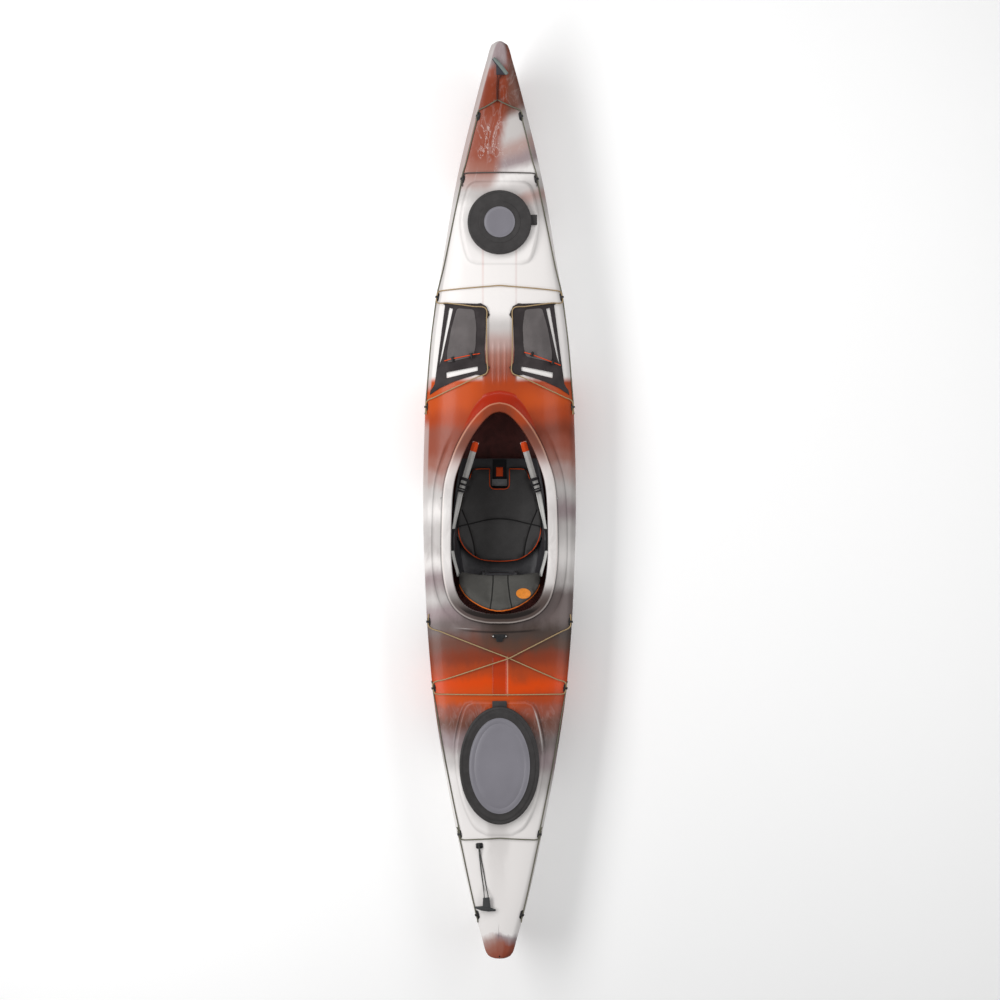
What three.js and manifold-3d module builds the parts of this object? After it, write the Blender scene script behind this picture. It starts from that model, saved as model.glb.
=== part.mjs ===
// A sit-in sea kayak: moulded hull and deck, hatches, seat, foot braces, deck pockets and deck lines.
// Millimetres. +Y is the bow, +X is starboard, +Z is up. The origin is under the middle of the keel.

import * as THREE from 'three';
import { mergeVertices } from 'three/addons/utils/BufferGeometryUtils.js';
import Module from 'manifold-3d';

const wasm = await Module();
wasm.setup();

// Driving dimensions of the hull
const hullLength = 3890;
const hullBeam = 655;
const hullDepth = 390; // from the keel to the front of the coaming
const hullWall = 5;

// Clearances
const seatGap = 0.3; // between pieces that rest on each other
const cutOverrun = 20; // how far a cutting solid runs past what it cuts
const weldDepth = 1.5; // how far moulded-in features sink into each other

// Cockpit opening and its coaming
const cockpitLength = 855;
const cockpitWidth = 412;
const cockpitRearY = -478;
const rimWidth = 40; // the flange, outwards from the opening
const rimThickness = 7;
const rimLip = 8; // turned down at the flange's outer edge
const neckWall = 7;
const rimFrontZ = 386;
const rimMidZ = 322;
const rimRearZ = 304;
const hoodReach = 58; // how far the hood runs ahead of the neck
const skirtReach = 10; // the same at the sides and the rear

// Hatches
const bowHatchY = 1178;
const bowHatchRadius = 135;
const sternHatchY = -1121;
const sternHatchHalfWidth = 170;
const sternHatchHalfLength = 250;
const hatchPlatformRise = 5; // above the deck's crown at the hatch
const platformDraft = 9; // how far a platform's sides slope outwards
const collarInset = 27; // from the cover's rim to the collar's outside
const collarWall = 7;
const collarHeight = 16; // above its platform
const coverHeight = 27;
const coverEdgeRadius = 7;
const coverWall = 5;
const bowPanelRadius = 66;
const sternPanelHalfWidth = 130;
const sternPanelHalfLength = 204;
const panelThickness = 3;

const bowTabOffset = 11; // ahead of the bow cover's middle
const sternTabHalfWidth = 34;
const tabLength = 20;
const tabHalfWidth = 17;
const tabThickness = 5;
const tabClear = 3; // over the platform

// Seat pan: a moulded bucket on two runners
const panRearY = -345;
const panLength = 532;
const panHalfWidth = 196;
const panWall = 4;
const panFloorZ = 38;
const panFloorRise = 30;
const panSideHeight = 148;
const runnerX = 76;
const runnerWidth = 14;
const runnerLength = 330;
const slotHalfWidth = 50; // the grab slot behind the cushion
const slotLength = 22;
const slotFromRear = 12;

// Seat cushion
const cushionRearY = -268;
const cushionLength = 416;
const cushionHalfWidth = 184;
const cushionThickness = 42;
const cushionEdge = 20; // height of its sides, where they draw in
const cushionRollover = 46; // how far in its crown begins
const cushionWing = 54; // how far its flanks rise
const channelDepth = 6;
const channelHalfWidth = 15;
const notchHalfWidth = 37;
const notchDepth = 88;

// Leg-lift strap in the cushion's notch
const liftStrapHalfWidth = 30;
const liftStrapThickness = 3;
const liftBuckleThickness = 9;
const liftBuckleLength = 30;
const liftBuckleWall = 6;
const liftTabHalfWidth = 14;
const liftTabLength = 38;
const liftTabThickness = 7;

// Backrest, leaning back on trunnions behind the seat
const backrestY = -318;
const backrestZ = 140;
const backrestLeanDeg = 46;
const backrestHeight = 200;
const backrestHalfWidth = 176;
const backrestWrap = 25; // how far its sides come forward
const backrestShellWall = 4;
const backrestThickness = 30;
const backrestEdge = 12;
const backrestRollover = 34;
const backrestInset = 7; // the shell is this much smaller than its cushion
const hubRadius = 9;
const hubHalfLength = 64;
const trunnionRadius = 4;
const trunnionOverhang = 3;
const earThickness = 10;
const earHalfWidth = 15;

// Side straps and their buckles, given for starboard
const webbingWidth = 27;
const webbingThickness = 2;
const strapLowEnd = [166, 42, 178];
const strapHighEnd = [100, 252, 310];
const pullTabLength = 46;
const pullTabThickness = 5;
const buckleStart = 14; // from the strap's low end
const buckleLength = 56;
const buckleRail = 5;
const buckleHeight = 8;
const buckleBar = 6;
const buckleBarThickness = 3;
const bucklePlay = 0.6; // beside the webbing
const backStrapWidth = 20;
const backStrapThickness = 1.6;
const backStrapLeanDeg = 40;
const backStrapLeanShares = [0.04, 0.33]; // where along it the strap starts and ends to lean over
const backStrapSpans = 18;
const backStrapUnder = 2.9; // below the middle of the webbing, where it starts
const backStrapStart = [24, 4, -12]; // along the webbing
const backStrapRoute = [
  [179, -20, 179], [188, -64, 185.5], [197, -112, 192], [203, -142, 195.4], [204.5, -175, 196],
  [203, -206, 194.5], [195, -250, 189], [185, -288, 183], [178.7, -312, 181], [176.4, -322.4, 181.2],
];

// Foot braces
const railLength = 400;
const railHeight = 22;
const railThickness = 6;
const railMiddleY = 385;
const railZ = 130;
const railToothPitch = 40;
const railToothDepth = 4;
const railPadLength = 22;
const railPadReach = 9; // the gap between rail and hull that its end pads fill
const pedalLength = 58;
const pedalPlay = 0.5;
const pedalWall = 6;
const pedalPlateReach = 96;
const pedalPlateHeight = 104;
const pedalPlateThickness = 8;
const pedalPlateLift = 12; // of its middle, over the rail's middle
const pedalCorner = 16;

// Deck pockets, given for starboard
const pocketLift = 3; // over the deck at the frame
const pocketThickness = 2.5;
const pocketRise = 13; // how far the panel's middle stands up more
const pocketFlat = 32; // width of the flat frame round it
const pocketSlope = 50; // width of the slope inside the frame
const pocketColumns = 7;
const pocketRows = 8;
const pocketOutlinePoints = [
  [243, 843], [96, 836], [80, 838], [56, 824], [41, 788], [56, 766], [60, 700], [64, 640], [60, 584],
  [41, 566], [60, 531], [80, 532], [100, 535], [190, 508], [255, 480], [298, 454], [294, 474],
  [283, 487], [276, 500], [232, 832],
];
const pocketSideGap = [[214, 822], [198, 816], [244, 612], [260, 566]];
const pocketRearGap = [[228, 546], [92, 570], [92, 552], [226, 522]];

// Cord locks and shock cords on the pockets, port then starboard, inner then outer
const shockCordDiameter = 4;
const cordLockRadius = 7;
const cordLockLength = 16;
const cordLockButton = 5;
const cordLockButtonRadius = 4.5;
const cordLockPlay = 0.4;
const leftLockPlaces = [[-117, 618], [-197, 603]];
const rightLockPlaces = [[134, 620], [223, 590]];
const shockCordTail = 34;
const lockClear = 2.2;

// Deck cords and fairleads
const deckCordDiameter = 5;
const cordLift = 5.5; // a cord's middle over the deck, inside a fairlead
const cordRest = 3.6; // and where it lies along the deck's edge
const cordBridge = 4.8; // and where it crosses the deck's crown
const cordPlay = 0.4;
const knotRadius = 5;
const frameStep = 6; // how far apart the places are that a deck's slope is taken from
const fairleadLength = 38;
const fairleadWidth = 17;
const fairleadFoot = 2.2;
const fairleadArch = 9;
const fairleadRoof = 2.5;
const fairleadCorner = 6;

// Carry toggles
const toggleLength = 90;
const toggleRadius = 10;
const toggleThickness = 8; // of its neck
const toggleCordDiameter = 4;
const toggleBore = 14; // how deep the cord's ends sit in the neck
const bowTogglePlace = [3, 1835];
const bowToggleEnd = [34, 1799];
const bowNeckOutline = [[-14, 1846], [-14, 1799], [24, 1799], [24, 1816], [4, 1840]];
const bowStrandX = [-7.6, 5.5];
const bowApex = [-9.3, 1694.6];
const apexLift = 9; // of the front line's apex, which the toggle's cord passes under
const sternTogglePlace = [-60, -1728];
const sternToggleEnd = [-9, -1735];
const sternNeckOutline = [[-72, -1728], [-70, -1682], [-42, -1680], [-38, -1728]];
const sternStrandX = [-65, -48];
const sternPadeye = [-85.4, -1465];
const padeyeHalfWidth = 15;
const padeyeHalfLength = 12;
const padeyeRadius = 9;
const padeyeTube = 4;
const padeyeFoot = 4;

// Bracket behind the cockpit
const bracketY = -573;
const bracketHalfWidth = 30;
const bracketHalfLength = 8;
const bracketThickness = 6;
const bracketTabHalfWidth = 14;
const bracketTabLength = 24;
const screwRadius = 6;
const screwRise = 3;
const screwX = 20;

// Small moulded features of the deck
const fluteHalfWidth = 7;
const fluteRise = 4;
const fluteRearY = 490;
const fluteLength = 190;
const fluteSpacing = 25;
const channelRearY = -822;
const channelLength = 160;
const channelWide = 29;
const channelDeep = 3;
const sternSlotRearY = -1856;
const sternSlotLength = 47;
const sternSlotHalfWidth = 4;
const sternSlotDepth = 3;
const sternPinRadius = 4;
const sternPinDepth = 34;
const sternPinInset = 12; // from the stern's end
const railPadOverrun = 6; // how far an end pad's block runs before the hull's side cuts it
const bungeeRearCorner = [-53, 543];
const bungeeInnerPlaces = [[-53, 600], [-54, 680], [-54, 760]];
const bungeeFrontCorner = [-58, 815];
const bungeeLift = 11.5; // where the foredeck bungee lies over the pockets' edges
const bungeeCrossY = 912;
const frontCrossY = 1391;
const rearCrossing = [40, -667];
const rearLineCrossY = -1432;
const shockCordClear = 2.2;
const sternStrandPlaces = [[-62, -1640], [-72, -1578], [-82, -1510]];
const sternStrandSpread = [6, 5, 2.6];

// Section, station and outline detail
const ovalSides = 28;
const halfOutlineSteps = 17;
const stationCount = 30;
const innerStationCount = 20;

// Half-beam, as a share of half the beam, at shares of the length from the stern
const beamShares = [
  [0, 0.1], [0.0066, 0.173], [0.0197, 0.22], [0.0633, 0.367], [0.1288, 0.54], [0.2162, 0.74],
  [0.3035, 0.887], [0.39, 0.962], [0.5, 1], [0.587, 0.978], [0.675, 0.905], [0.762, 0.742],
  [0.849, 0.56], [0.9367, 0.307], [0.98, 0.165], [0.9956, 0.107], [1, 0.05],
];
// Keel, gunwale and deck crown, as shares of the depth, at shares of the length from the stern
const keelShares = [
  [0, 0.5], [0.008, 0.34], [0.025, 0.2], [0.06, 0.085], [0.12, 0.025], [0.2, 0.004], [0.3, 0],
  [0.7, 0], [0.8, 0.006], [0.88, 0.035], [0.94, 0.11], [0.975, 0.25], [0.993, 0.46], [1, 0.66],
];
const gunwaleShares = [
  [0, 0.7], [0.1, 0.64], [0.25, 0.59], [0.42, 0.565], [0.6, 0.585], [0.75, 0.65], [0.9, 0.75], [1, 0.83],
];
const crownShares = [
  [0, 0.735], [0.03, 0.74], [0.12, 0.705], [0.25, 0.7], [0.36, 0.7], [0.46, 0.74], [0.6, 0.865],
  [0.72, 0.835], [0.85, 0.815], [0.95, 0.845], [1, 0.87],
];
// How full the bottom is: 1 is the flat middle section, 0 the sharp end section
const fullnessShares = [[0, 0], [0.08, 0.15], [0.3, 1], [0.7, 1], [0.9, 0.2], [1, 0]];
// Bottom and sides: share of the half-beam, share of the height from keel to gunwale
const middleBottomShares = [
  [0, 0], [0.3, 0], [0.6, 0.06], [0.78, 0.16], [0.89, 0.34], [0.95, 0.6], [0.99, 0.86], [1, 1],
];
const endBottomShares = [
  [0, 0], [0.12, 0], [0.36, 0.17], [0.54, 0.34], [0.7, 0.53], [0.84, 0.74], [0.96, 0.92], [1, 1],
];
// Deck: share of the half-beam, share of the height from gunwale to crown
const deckShares = [[0.952, 0.2], [0.84, 0.46], [0.66, 0.7], [0.45, 0.86], [0.22, 0.97], [0, 1]];

// Opening of the cockpit: share of its length from the rear, share of its half-width
const cockpitShares = [
  [0, 0], [0.004, 0.3], [0.03, 0.64], [0.092, 0.864], [0.213, 0.976], [0.375, 1], [0.619, 0.952],
  [0.76, 0.79], [0.862, 0.597], [0.943, 0.364], [0.988, 0.16], [1, 0],
];
// Platforms under the hatches: share of their length from the rear, share of their half-width
const bowPlatformLength = 335;
const bowPlatformHalfWidth = 158;
const bowPlatformRearY = 1012;
const bowPlatformShares = [[0, 0.6], [0.06, 0.82], [0.35, 0.98], [0.6, 1], [0.93, 0.83], [1, 0.66]];
const sternPlatformLength = 556;
const sternPlatformHalfWidth = 182;
const sternPlatformRearY = -1412;
const sternPlatformShares = [
  [0, 0.3], [0.06, 0.58], [0.25, 0.84], [0.5, 0.99], [0.7, 1], [0.95, 0.82], [1, 0.62],
];

function smoothAt(shares, t) {
  // Cubic curve through the pairs, level at its ends and without overshoot between them.
  const last = shares.length - 1;
  let i = 0;
  while (i < last - 1 && t > shares[i + 1][0]) i += 1;
  const slope = (k) => {
    if (k <= 0 || k >= last) return 0;
    const before = (shares[k][1] - shares[k - 1][1]) / (shares[k][0] - shares[k - 1][0]);
    const after = (shares[k + 1][1] - shares[k][1]) / (shares[k + 1][0] - shares[k][0]);
    return before * after <= 0 ? 0 : (2 * before * after) / (before + after);
  };
  const endSlope = (k, inner) => {
    const straight = (shares[i + 1][1] - shares[i][1]) / (shares[i + 1][0] - shares[i][0]);
    return k === 0 || k === last ? 1.5 * straight - 0.5 * slope(inner) : slope(k);
  };
  const width = shares[i + 1][0] - shares[i][0];
  const u = THREE.MathUtils.clamp((t - shares[i][0]) / width, 0, 1);
  const h00 = (1 + 2 * u) * (1 - u) ** 2;
  const h10 = u * (1 - u) ** 2;
  const h01 = u * u * (3 - 2 * u);
  const h11 = u * u * (u - 1);
  const from = endSlope(i, i + 1) * width;
  const to = endSlope(i + 1, i) * width;
  return h00 * shares[i][1] + h10 * from + h01 * shares[i + 1][1] + h11 * to;
}

function closedGeometry(positions, triangles) {
  // A closed mesh from points and triangles, turned so that its faces point out.
  const geometry = new THREE.BufferGeometry();
  const flat = positions.flatMap((p) => [p.x, p.y, p.z]);
  geometry.setAttribute('position', new THREE.Float32BufferAttribute(flat, 3));
  let volume = 0;
  for (const [a, b, c] of triangles) {
    volume += positions[a].dot(new THREE.Vector3().crossVectors(positions[b], positions[c]));
  }
  const out = volume < 0 ? triangles.map(([a, b, c]) => [a, c, b]) : triangles;
  geometry.setIndex(out.flat());
  return geometry;
}

function solidOf(geometry) {
  const bare = geometry.clone();
  for (const name of ['normal', 'uv']) bare.deleteAttribute(name);
  const merged = mergeVertices(bare, 1e-4);
  const mesh = new wasm.Mesh({
    numProp: 3,
    vertProperties: Float32Array.from(merged.attributes.position.array),
    triVerts: Uint32Array.from(merged.index.array),
  });
  return new wasm.Manifold(mesh);
}

function geometryOf(solid) {
  const mesh = solid.getMesh();
  const geometry = new THREE.BufferGeometry();
  const values = new Float32Array(mesh.numVert * 3);
  for (let i = 0; i < mesh.numVert; i += 1) {
    for (let k = 0; k < 3; k += 1) values[3 * i + k] = mesh.vertProperties[mesh.numProp * i + k];
  }
  geometry.setAttribute('position', new THREE.BufferAttribute(values, 3));
  geometry.setIndex(new THREE.BufferAttribute(Uint32Array.from(mesh.triVerts), 1));
  return geometry;
}

function loft(rings, flatOf) {
  // Skin over closed rings of points, with an end face on the first and the last. flatOf gives the
  // two coordinates of a point that its end face is cut from.
  const count = rings[0].length;
  const triangles = [];
  for (let r = 0; r + 1 < rings.length; r += 1) {
    for (let i = 0; i < count; i += 1) {
      const a = r * count + i;
      const b = r * count + ((i + 1) % count);
      triangles.push([a, b, a + count], [b, b + count, a + count]);
    }
  }
  const ends = [[0, true], [(rings.length - 1) * count, false]];
  for (const [start, turned] of ends) {
    const ring = rings[start / count].map(flatOf);
    const area = THREE.ShapeUtils.area(ring);
    for (const [a, b, c] of THREE.ShapeUtils.triangulateShape(ring, [])) {
      const face = [start + a, start + b, start + c];
      triangles.push(turned === area > 0 ? face.reverse() : face);
    }
  }
  return closedGeometry(rings.flat(), consistent(triangles));
}

function consistent(triangles) {
  // Turn the triangles of an end face that disagree with the side faces next to them.
  const edges = new Set();
  const kept = [];
  const waiting = [...triangles];
  const clashes = (t) => [0, 1, 2].some((k) => edges.has(`${t[k]},${t[(k + 1) % 3]}`));
  for (const t of waiting) {
    const face = clashes(t) ? [...t].reverse() : t;
    kept.push(face);
    for (let k = 0; k < 3; k += 1) edges.add(`${face[k]},${face[(k + 1) % 3]}`);
  }
  return kept;
}

function ringSweep(rings) {
  // Skin over rings that close on themselves both ways, as a frame round an opening does.
  const count = rings[0].length;
  const triangles = [];
  for (let r = 0; r < rings.length; r += 1) {
    const next = (r + 1) % rings.length;
    for (let i = 0; i < count; i += 1) {
      const j = (i + 1) % count;
      triangles.push([r * count + i, r * count + j, next * count + i]);
      triangles.push([r * count + j, next * count + j, next * count + i]);
    }
  }
  return closedGeometry(rings.flat(), triangles);
}

const flatXZ = (p) => new THREE.Vector2(p.x, p.z);
const flatXY = (p) => new THREE.Vector2(p.x, p.y);

// The hull's form

const shareOfY = (y) => y / hullLength + 0.5;
const yOfShare = (share) => (share - 0.5) * hullLength;
const halfBeamAt = (t) => smoothAt(beamShares, t) * hullBeam / 2;
const keelAt = (t) => smoothAt(keelShares, t) * hullDepth;
const gunwaleAt = (t) => smoothAt(gunwaleShares, t) * hullDepth;
const crownAt = (t) => smoothAt(crownShares, t) * hullDepth;

function halfSection(t) {
  // The outside from the keel to the deck's crown, on the starboard side.
  const full = smoothAt(fullnessShares, t);
  const half = halfBeamAt(t);
  const keel = keelAt(t);
  const gunwale = gunwaleAt(t);
  const crown = crownAt(t);
  const mix = THREE.MathUtils.lerp;
  const bottom = middleBottomShares.map(([x, z], i) => new THREE.Vector2(
    half * mix(endBottomShares[i][0], x, full),
    mix(keel, gunwale, mix(endBottomShares[i][1], z, full)),
  ));
  const deck = deckShares.map(([x, z]) => new THREE.Vector2(half * x, mix(gunwale, crown, z)));
  return [...bottom, ...deck];
}

function insetSection(points, inset) {
  // The same section moved inwards by a wall; the points on the middle line stay on it.
  const last = points.length - 1;
  return points.map((p, i) => {
    if (i === 0) return new THREE.Vector2(0, p.y + inset);
    if (i === last) return new THREE.Vector2(0, p.y - inset);
    const before = new THREE.Vector2().subVectors(p, points[i - 1]).normalize();
    const after = new THREE.Vector2().subVectors(points[i + 1], p).normalize();
    const inward = new THREE.Vector2(-before.y - after.y, before.x + after.x).normalize();
    const reach = inset / Math.max(0.5, inward.dot(new THREE.Vector2(-before.y, before.x)));
    return new THREE.Vector2(Math.max(0, p.x + inward.x * reach), p.y + inward.y * reach);
  });
}

function sectionRing(t, inset) {
  // The whole closed section at a share of the length.
  const half = inset > 0 ? insetSection(halfSection(t), inset) : halfSection(t);
  const y = yOfShare(t);
  const right = half.map((p) => new THREE.Vector3(p.x, y, p.y));
  const left = half.slice(1, -1).reverse().map((p) => new THREE.Vector3(-p.x, y, p.y));
  return [...right, ...left];
}

// Bulkheads, whose faces are also stations of the hull's inside
const bulkheadThickness = 60;
const bowBulkheadY = 640; // the face on the cockpit's side
const sternBulkheadY = -640;
const innerBowY = 1850;
const innerSternY = -1860;

function stationShares(fromY, toY, count, extraYs) {
  // Stations closer together near the two ends, plus those that other pieces need.
  const from = shareOfY(fromY);
  const to = shareOfY(toY);
  const even = Array.from({ length: count + 1 }, (_, i) => (
    from + (to - from) * 0.5 * (1 - Math.cos(Math.PI * i / count))
  ));
  const extra = extraYs.map(shareOfY);
  const spacing = (to - from) / count / 3;
  const kept = even.filter((t) => extra.every((e) => Math.abs(e - t) > spacing));
  return [...kept, ...extra].sort((a, b) => a - b);
}

const outerStations = stationShares(-hullLength / 2, hullLength / 2, stationCount, []);
const bulkheadFaces = [
  bowBulkheadY, bowBulkheadY + bulkheadThickness, sternBulkheadY, sternBulkheadY - bulkheadThickness,
];
const innerStations = stationShares(innerSternY, innerBowY, innerStationCount, bulkheadFaces);

function halfOutline(shares, length, rearY, halfWidth) {
  // Points of a symmetrical plan outline's starboard half, from its rear to its front.
  const curve = new THREE.SplineCurve(shares.map(([along, across]) => (
    new THREE.Vector2(across * halfWidth, rearY + along * length)
  )));
  return curve.getSpacedPoints(halfOutlineSteps);
}

function wholeOutline(half) {
  // The closed outline; a point that lies on the middle line is used once.
  const mirrored = half.map((p) => new THREE.Vector2(-p.x, p.y)).reverse();
  return [...half, ...mirrored].filter((p, i, all) => i === 0 || p.distanceTo(all[i - 1]) > seatGap)
    .filter((p, i, all) => i === 0 || p.distanceTo(all[0]) > seatGap);
}

function outwardNormals(outline) {
  const area = THREE.ShapeUtils.area(outline);
  return outline.map((p, i) => {
    const before = outline[(i + outline.length - 1) % outline.length];
    const after = outline[(i + 1) % outline.length];
    const along = new THREE.Vector2().subVectors(after, before).normalize();
    return new THREE.Vector2(along.y, -along.x).multiplyScalar(area > 0 ? 1 : -1);
  });
}

function movedOut(outline, distance) {
  const normals = outwardNormals(outline);
  return outline.map((p, i) => p.clone().addScaledVector(normals[i], distance));
}

function prism(outline, lowZ, highZ, growth = 0) {
  // A solid between two heights over an outline, whose top is drawn in by growth.
  const at = (points, z) => points.map((p) => new THREE.Vector3(p.x, p.y, z));
  return loft([at(movedOut(outline, growth), lowZ), at(outline, highZ)], flatXY);
}

function acrossStations(stations, y, valueAt) {
  // A value worked out at the two stations beside a place, and mixed straight between them.
  const t = shareOfY(y);
  let i = 0;
  while (i < stations.length - 2 && t > stations[i + 1]) i += 1;
  const share = (t - stations[i]) / (stations[i + 1] - stations[i]);
  const from = valueAt(stations[i]);
  const to = valueAt(stations[i + 1]);
  return from.map((value, k) => THREE.MathUtils.lerp(value, to[k], share));
}

function onPolyline(points, value, by, give) {
  // Where a rising or falling line of points passes a value.
  const rising = by(points[points.length - 1]) > by(points[0]);
  let k = 0;
  while (k < points.length - 2 && (value > by(points[k + 1])) === rising) k += 1;
  const share = (value - by(points[k])) / (by(points[k + 1]) - by(points[k]));
  return THREE.MathUtils.lerp(give(points[k]), give(points[k + 1]), THREE.MathUtils.clamp(share, 0, 1));
}

const halfSections = new Map();

function keptSection(t) {
  if (!halfSections.has(t)) halfSections.set(t, halfSection(t));
  return halfSections.get(t);
}

function deckPoint(y, beamShare) {
  // A place on the faceted deck, by its share of the half-beam: [x, z].
  return acrossStations(outerStations, y, (t) => {
    const half = keptSection(t).slice(middleBottomShares.length - 1);
    const x = beamShare * half[0].x;
    return [x, onPolyline(half, x, (p) => p.x, (p) => p.y)];
  });
}

function deckZ(x, y) {
  return deckPoint(y, Math.abs(x) / deckPoint(y, 1)[0])[1];
}

function innerHalfWidth(y, z) {
  // How far the inside of the hull's wall is from the middle line, at a height on its side.
  return acrossStations(innerStations, y, (t) => {
    const side = insetSection(keptSection(t), hullWall).slice(0, middleBottomShares.length);
    return [onPolyline(side, z, (p) => p.y, (p) => p.x)];
  })[0];
}

// The coaming

const cockpitHalf = halfOutline(cockpitShares, cockpitLength, cockpitRearY, cockpitWidth / 2);
const cockpitOutline = wholeOutline(cockpitHalf);

function rimZ(y) {
  // The rim dips along its sides and rises to the hood in front.
  const share = (y - cockpitRearY) / cockpitLength;
  const shares = [[0, rimRearZ], [0.45, rimMidZ], [1, rimFrontZ]];
  return smoothAt(shares, THREE.MathUtils.clamp(share, 0, 1));
}

function coaming() {
  const normals = outwardNormals(cockpitOutline);
  const rings = cockpitOutline.map((p, i) => {
    const out = normals[i];
    const frontShare = THREE.MathUtils.smoothstep(out.y, 0.1, 0.95);
    const reach = neckWall + THREE.MathUtils.lerp(skirtReach, hoodReach, frontShare);
    const top = rimZ(p.y);
    const under = top - rimThickness;
    const at = (distance, z) => new THREE.Vector3(
      p.x + out.x * distance,
      p.y + out.y * distance,
      z,
    );
    const onDeck = (distance) => {
      const spot = at(distance, 0);
      return deckZ(spot.x, spot.y) - hullWall / 2;
    };
    return [
      at(0, onDeck(0)), at(0, top - weldDepth), at(weldDepth, top), at(rimWidth - weldDepth, top),
      at(rimWidth, top - weldDepth), at(rimWidth, under - rimLip), at(rimWidth - neckWall / 2, under - rimLip),
      at(rimWidth - neckWall, under), at(neckWall, under), at(reach, onDeck(reach)),
    ];
  });
  return solidOf(ringSweep(rings));
}

function ovalRings(profile, halfWidth, halfLength, centreY) {
  // Rings of an oval, one for each pair of inset and height.
  return profile.map(([inset, z]) => Array.from({ length: ovalSides }, (_, i) => {
    const angle = 2 * Math.PI * i / ovalSides;
    const x = (halfWidth - inset) * Math.cos(angle);
    return new THREE.Vector3(x, centreY + (halfLength - inset) * Math.sin(angle), z);
  }));
}

function ovalSolid(profile, halfWidth, halfLength, centreY) {
  // A solid turned like a lathe piece, but round an oval, with a flat bottom and top.
  return solidOf(loft(ovalRings(profile, halfWidth, halfLength, centreY), flatXY));
}

function ovalRing(profile, halfWidth, halfLength, centreY) {
  // A closed ring of the profile round an oval.
  const rings = ovalRings(profile, halfWidth, halfLength, centreY);
  const turned = rings[0].map((_, i) => rings.map((ring) => ring[i]));
  return solidOf(ringSweep(turned));
}

const bowPlatformZ = crownAt(shareOfY(bowHatchY)) + hatchPlatformRise;
const sternPlatformZ = crownAt(shareOfY(sternHatchY)) + hatchPlatformRise;
const bowPlatformOutline = wholeOutline(
  halfOutline(bowPlatformShares, bowPlatformLength, bowPlatformRearY, bowPlatformHalfWidth),
);
const sternPlatformOutline = wholeOutline(
  halfOutline(sternPlatformShares, sternPlatformLength, sternPlatformRearY, sternPlatformHalfWidth),
);
const platformDepth = 60; // how far down a platform's solid reaches into the hull

function platform(outline, topZ, inset) {
  const shrunk = movedOut(outline, -inset);
  return solidOf(prism(shrunk, topZ - platformDepth, topZ - inset, platformDraft));
}

function hatchCollar(halfWidth, halfLength, centreY, platformZ) {
  // The neck that a rubber cover snaps over, with a bead at its top.
  const bead = collarWall / 3;
  const top = platformZ + collarHeight;
  const profile = [
    [collarInset, platformZ - platformDepth / 2], [collarInset, top - 2 * bead],
    [collarInset - bead, top - bead], [collarInset, top], [collarInset + collarWall, top],
    [collarInset + collarWall, platformZ - platformDepth / 2],
  ];
  return ovalRing(profile, halfWidth, halfLength, centreY);
}

function hatchHole(halfWidth, halfLength, centreY, platformZ) {
  const inset = collarInset + collarWall - weldDepth;
  const profile = [[inset, platformZ - platformDepth - cutOverrun], [inset, platformZ + cutOverrun]];
  return ovalSolid(profile, halfWidth, halfLength, centreY);
}

// Simple solids

function block(size, middle) {
  // A plain block from its size and its middle, both as [x, y, z].
  return solidOf(new THREE.BoxGeometry(...size).translate(...middle));
}

function roundedShape(halfWidth, halfLength, radius, cornerSteps = 1) {
  // A rectangle with its corners cut off in a few straight steps.
  const corners = [[1, 1], [-1, 1], [-1, -1], [1, -1]];
  const points = corners.flatMap(([a, b], quarter) => (
    Array.from({ length: cornerSteps + 1 }, (_, i) => {
      const angle = (quarter + i / cornerSteps) * Math.PI / 2;
      const x = a * (halfWidth - radius) + radius * Math.cos(angle);
      return new THREE.Vector2(x, b * (halfLength - radius) + radius * Math.sin(angle));
    })
  ));
  return new THREE.Shape(points);
}

function extruded(shape, depth, curveSegments = 4) {
  return new THREE.ExtrudeGeometry(shape, { depth, bevelEnabled: false, curveSegments });
}

function fieldSolid(low, high, columns, rows, topAt, bottomAt) {
  // A block over a rectangle whose top and bottom follow two heights.
  const mix = THREE.MathUtils.lerp;
  const rings = Array.from({ length: rows + 1 }, (_, r) => {
    const y = mix(low.y, high.y, r / rows);
    const across = Array.from({ length: columns + 1 }, (_, i) => mix(low.x, high.x, i / columns));
    const top = across.map((x) => new THREE.Vector3(x, y, topAt(x, y)));
    const bottom = across.reverse().map((x) => new THREE.Vector3(x, y, bottomAt(x, y)));
    return [...top, ...bottom];
  });
  return solidOf(loft(rings, flatXZ));
}

function distanceToLine(points, x, y, closed) {
  // How far a place is from a line of points in plan.
  const spot = new THREE.Vector2(x, y);
  const count = closed ? points.length : points.length - 1;
  let least = Infinity;
  for (let i = 0; i < count; i += 1) {
    const from = points[i];
    const run = new THREE.Vector2().subVectors(points[(i + 1) % points.length], from);
    const share = new THREE.Vector2().subVectors(spot, from).dot(run) / run.lengthSq();
    const nearest = from.clone().addScaledVector(run, THREE.MathUtils.clamp(share, 0, 1));
    least = Math.min(least, nearest.distanceTo(spot));
  }
  return least;
}

function crownShare(outline, x, y, rollover) {
  // 0 at a cushion's edge, 1 where its top is full, round between them.
  const share = Math.min(1, distanceToLine(outline, x, y, true) / rollover);
  return Math.sqrt(1 - (1 - share) ** 2);
}

function channelShare(lines, x, y) {
  // 1 in the bottom of a sewn channel, 0 beside it.
  const nearest = Math.min(...lines.map((line) => distanceToLine(line, x, y, false)));
  return Math.max(0, 1 - nearest / channelHalfWidth);
}

function mirroredGeometry(geometry) {
  // The port piece from the starboard one.
  const position = geometry.attributes.position;
  const index = geometry.index.array;
  const points = Array.from({ length: position.count }, (_, i) => (
    new THREE.Vector3(-position.getX(i), position.getY(i), position.getZ(i))
  ));
  const triangles = Array.from({ length: index.length / 3 }, (_, i) => (
    [index[3 * i], index[3 * i + 1], index[3 * i + 2]]
  ));
  return closedGeometry(points, triangles);
}

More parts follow.
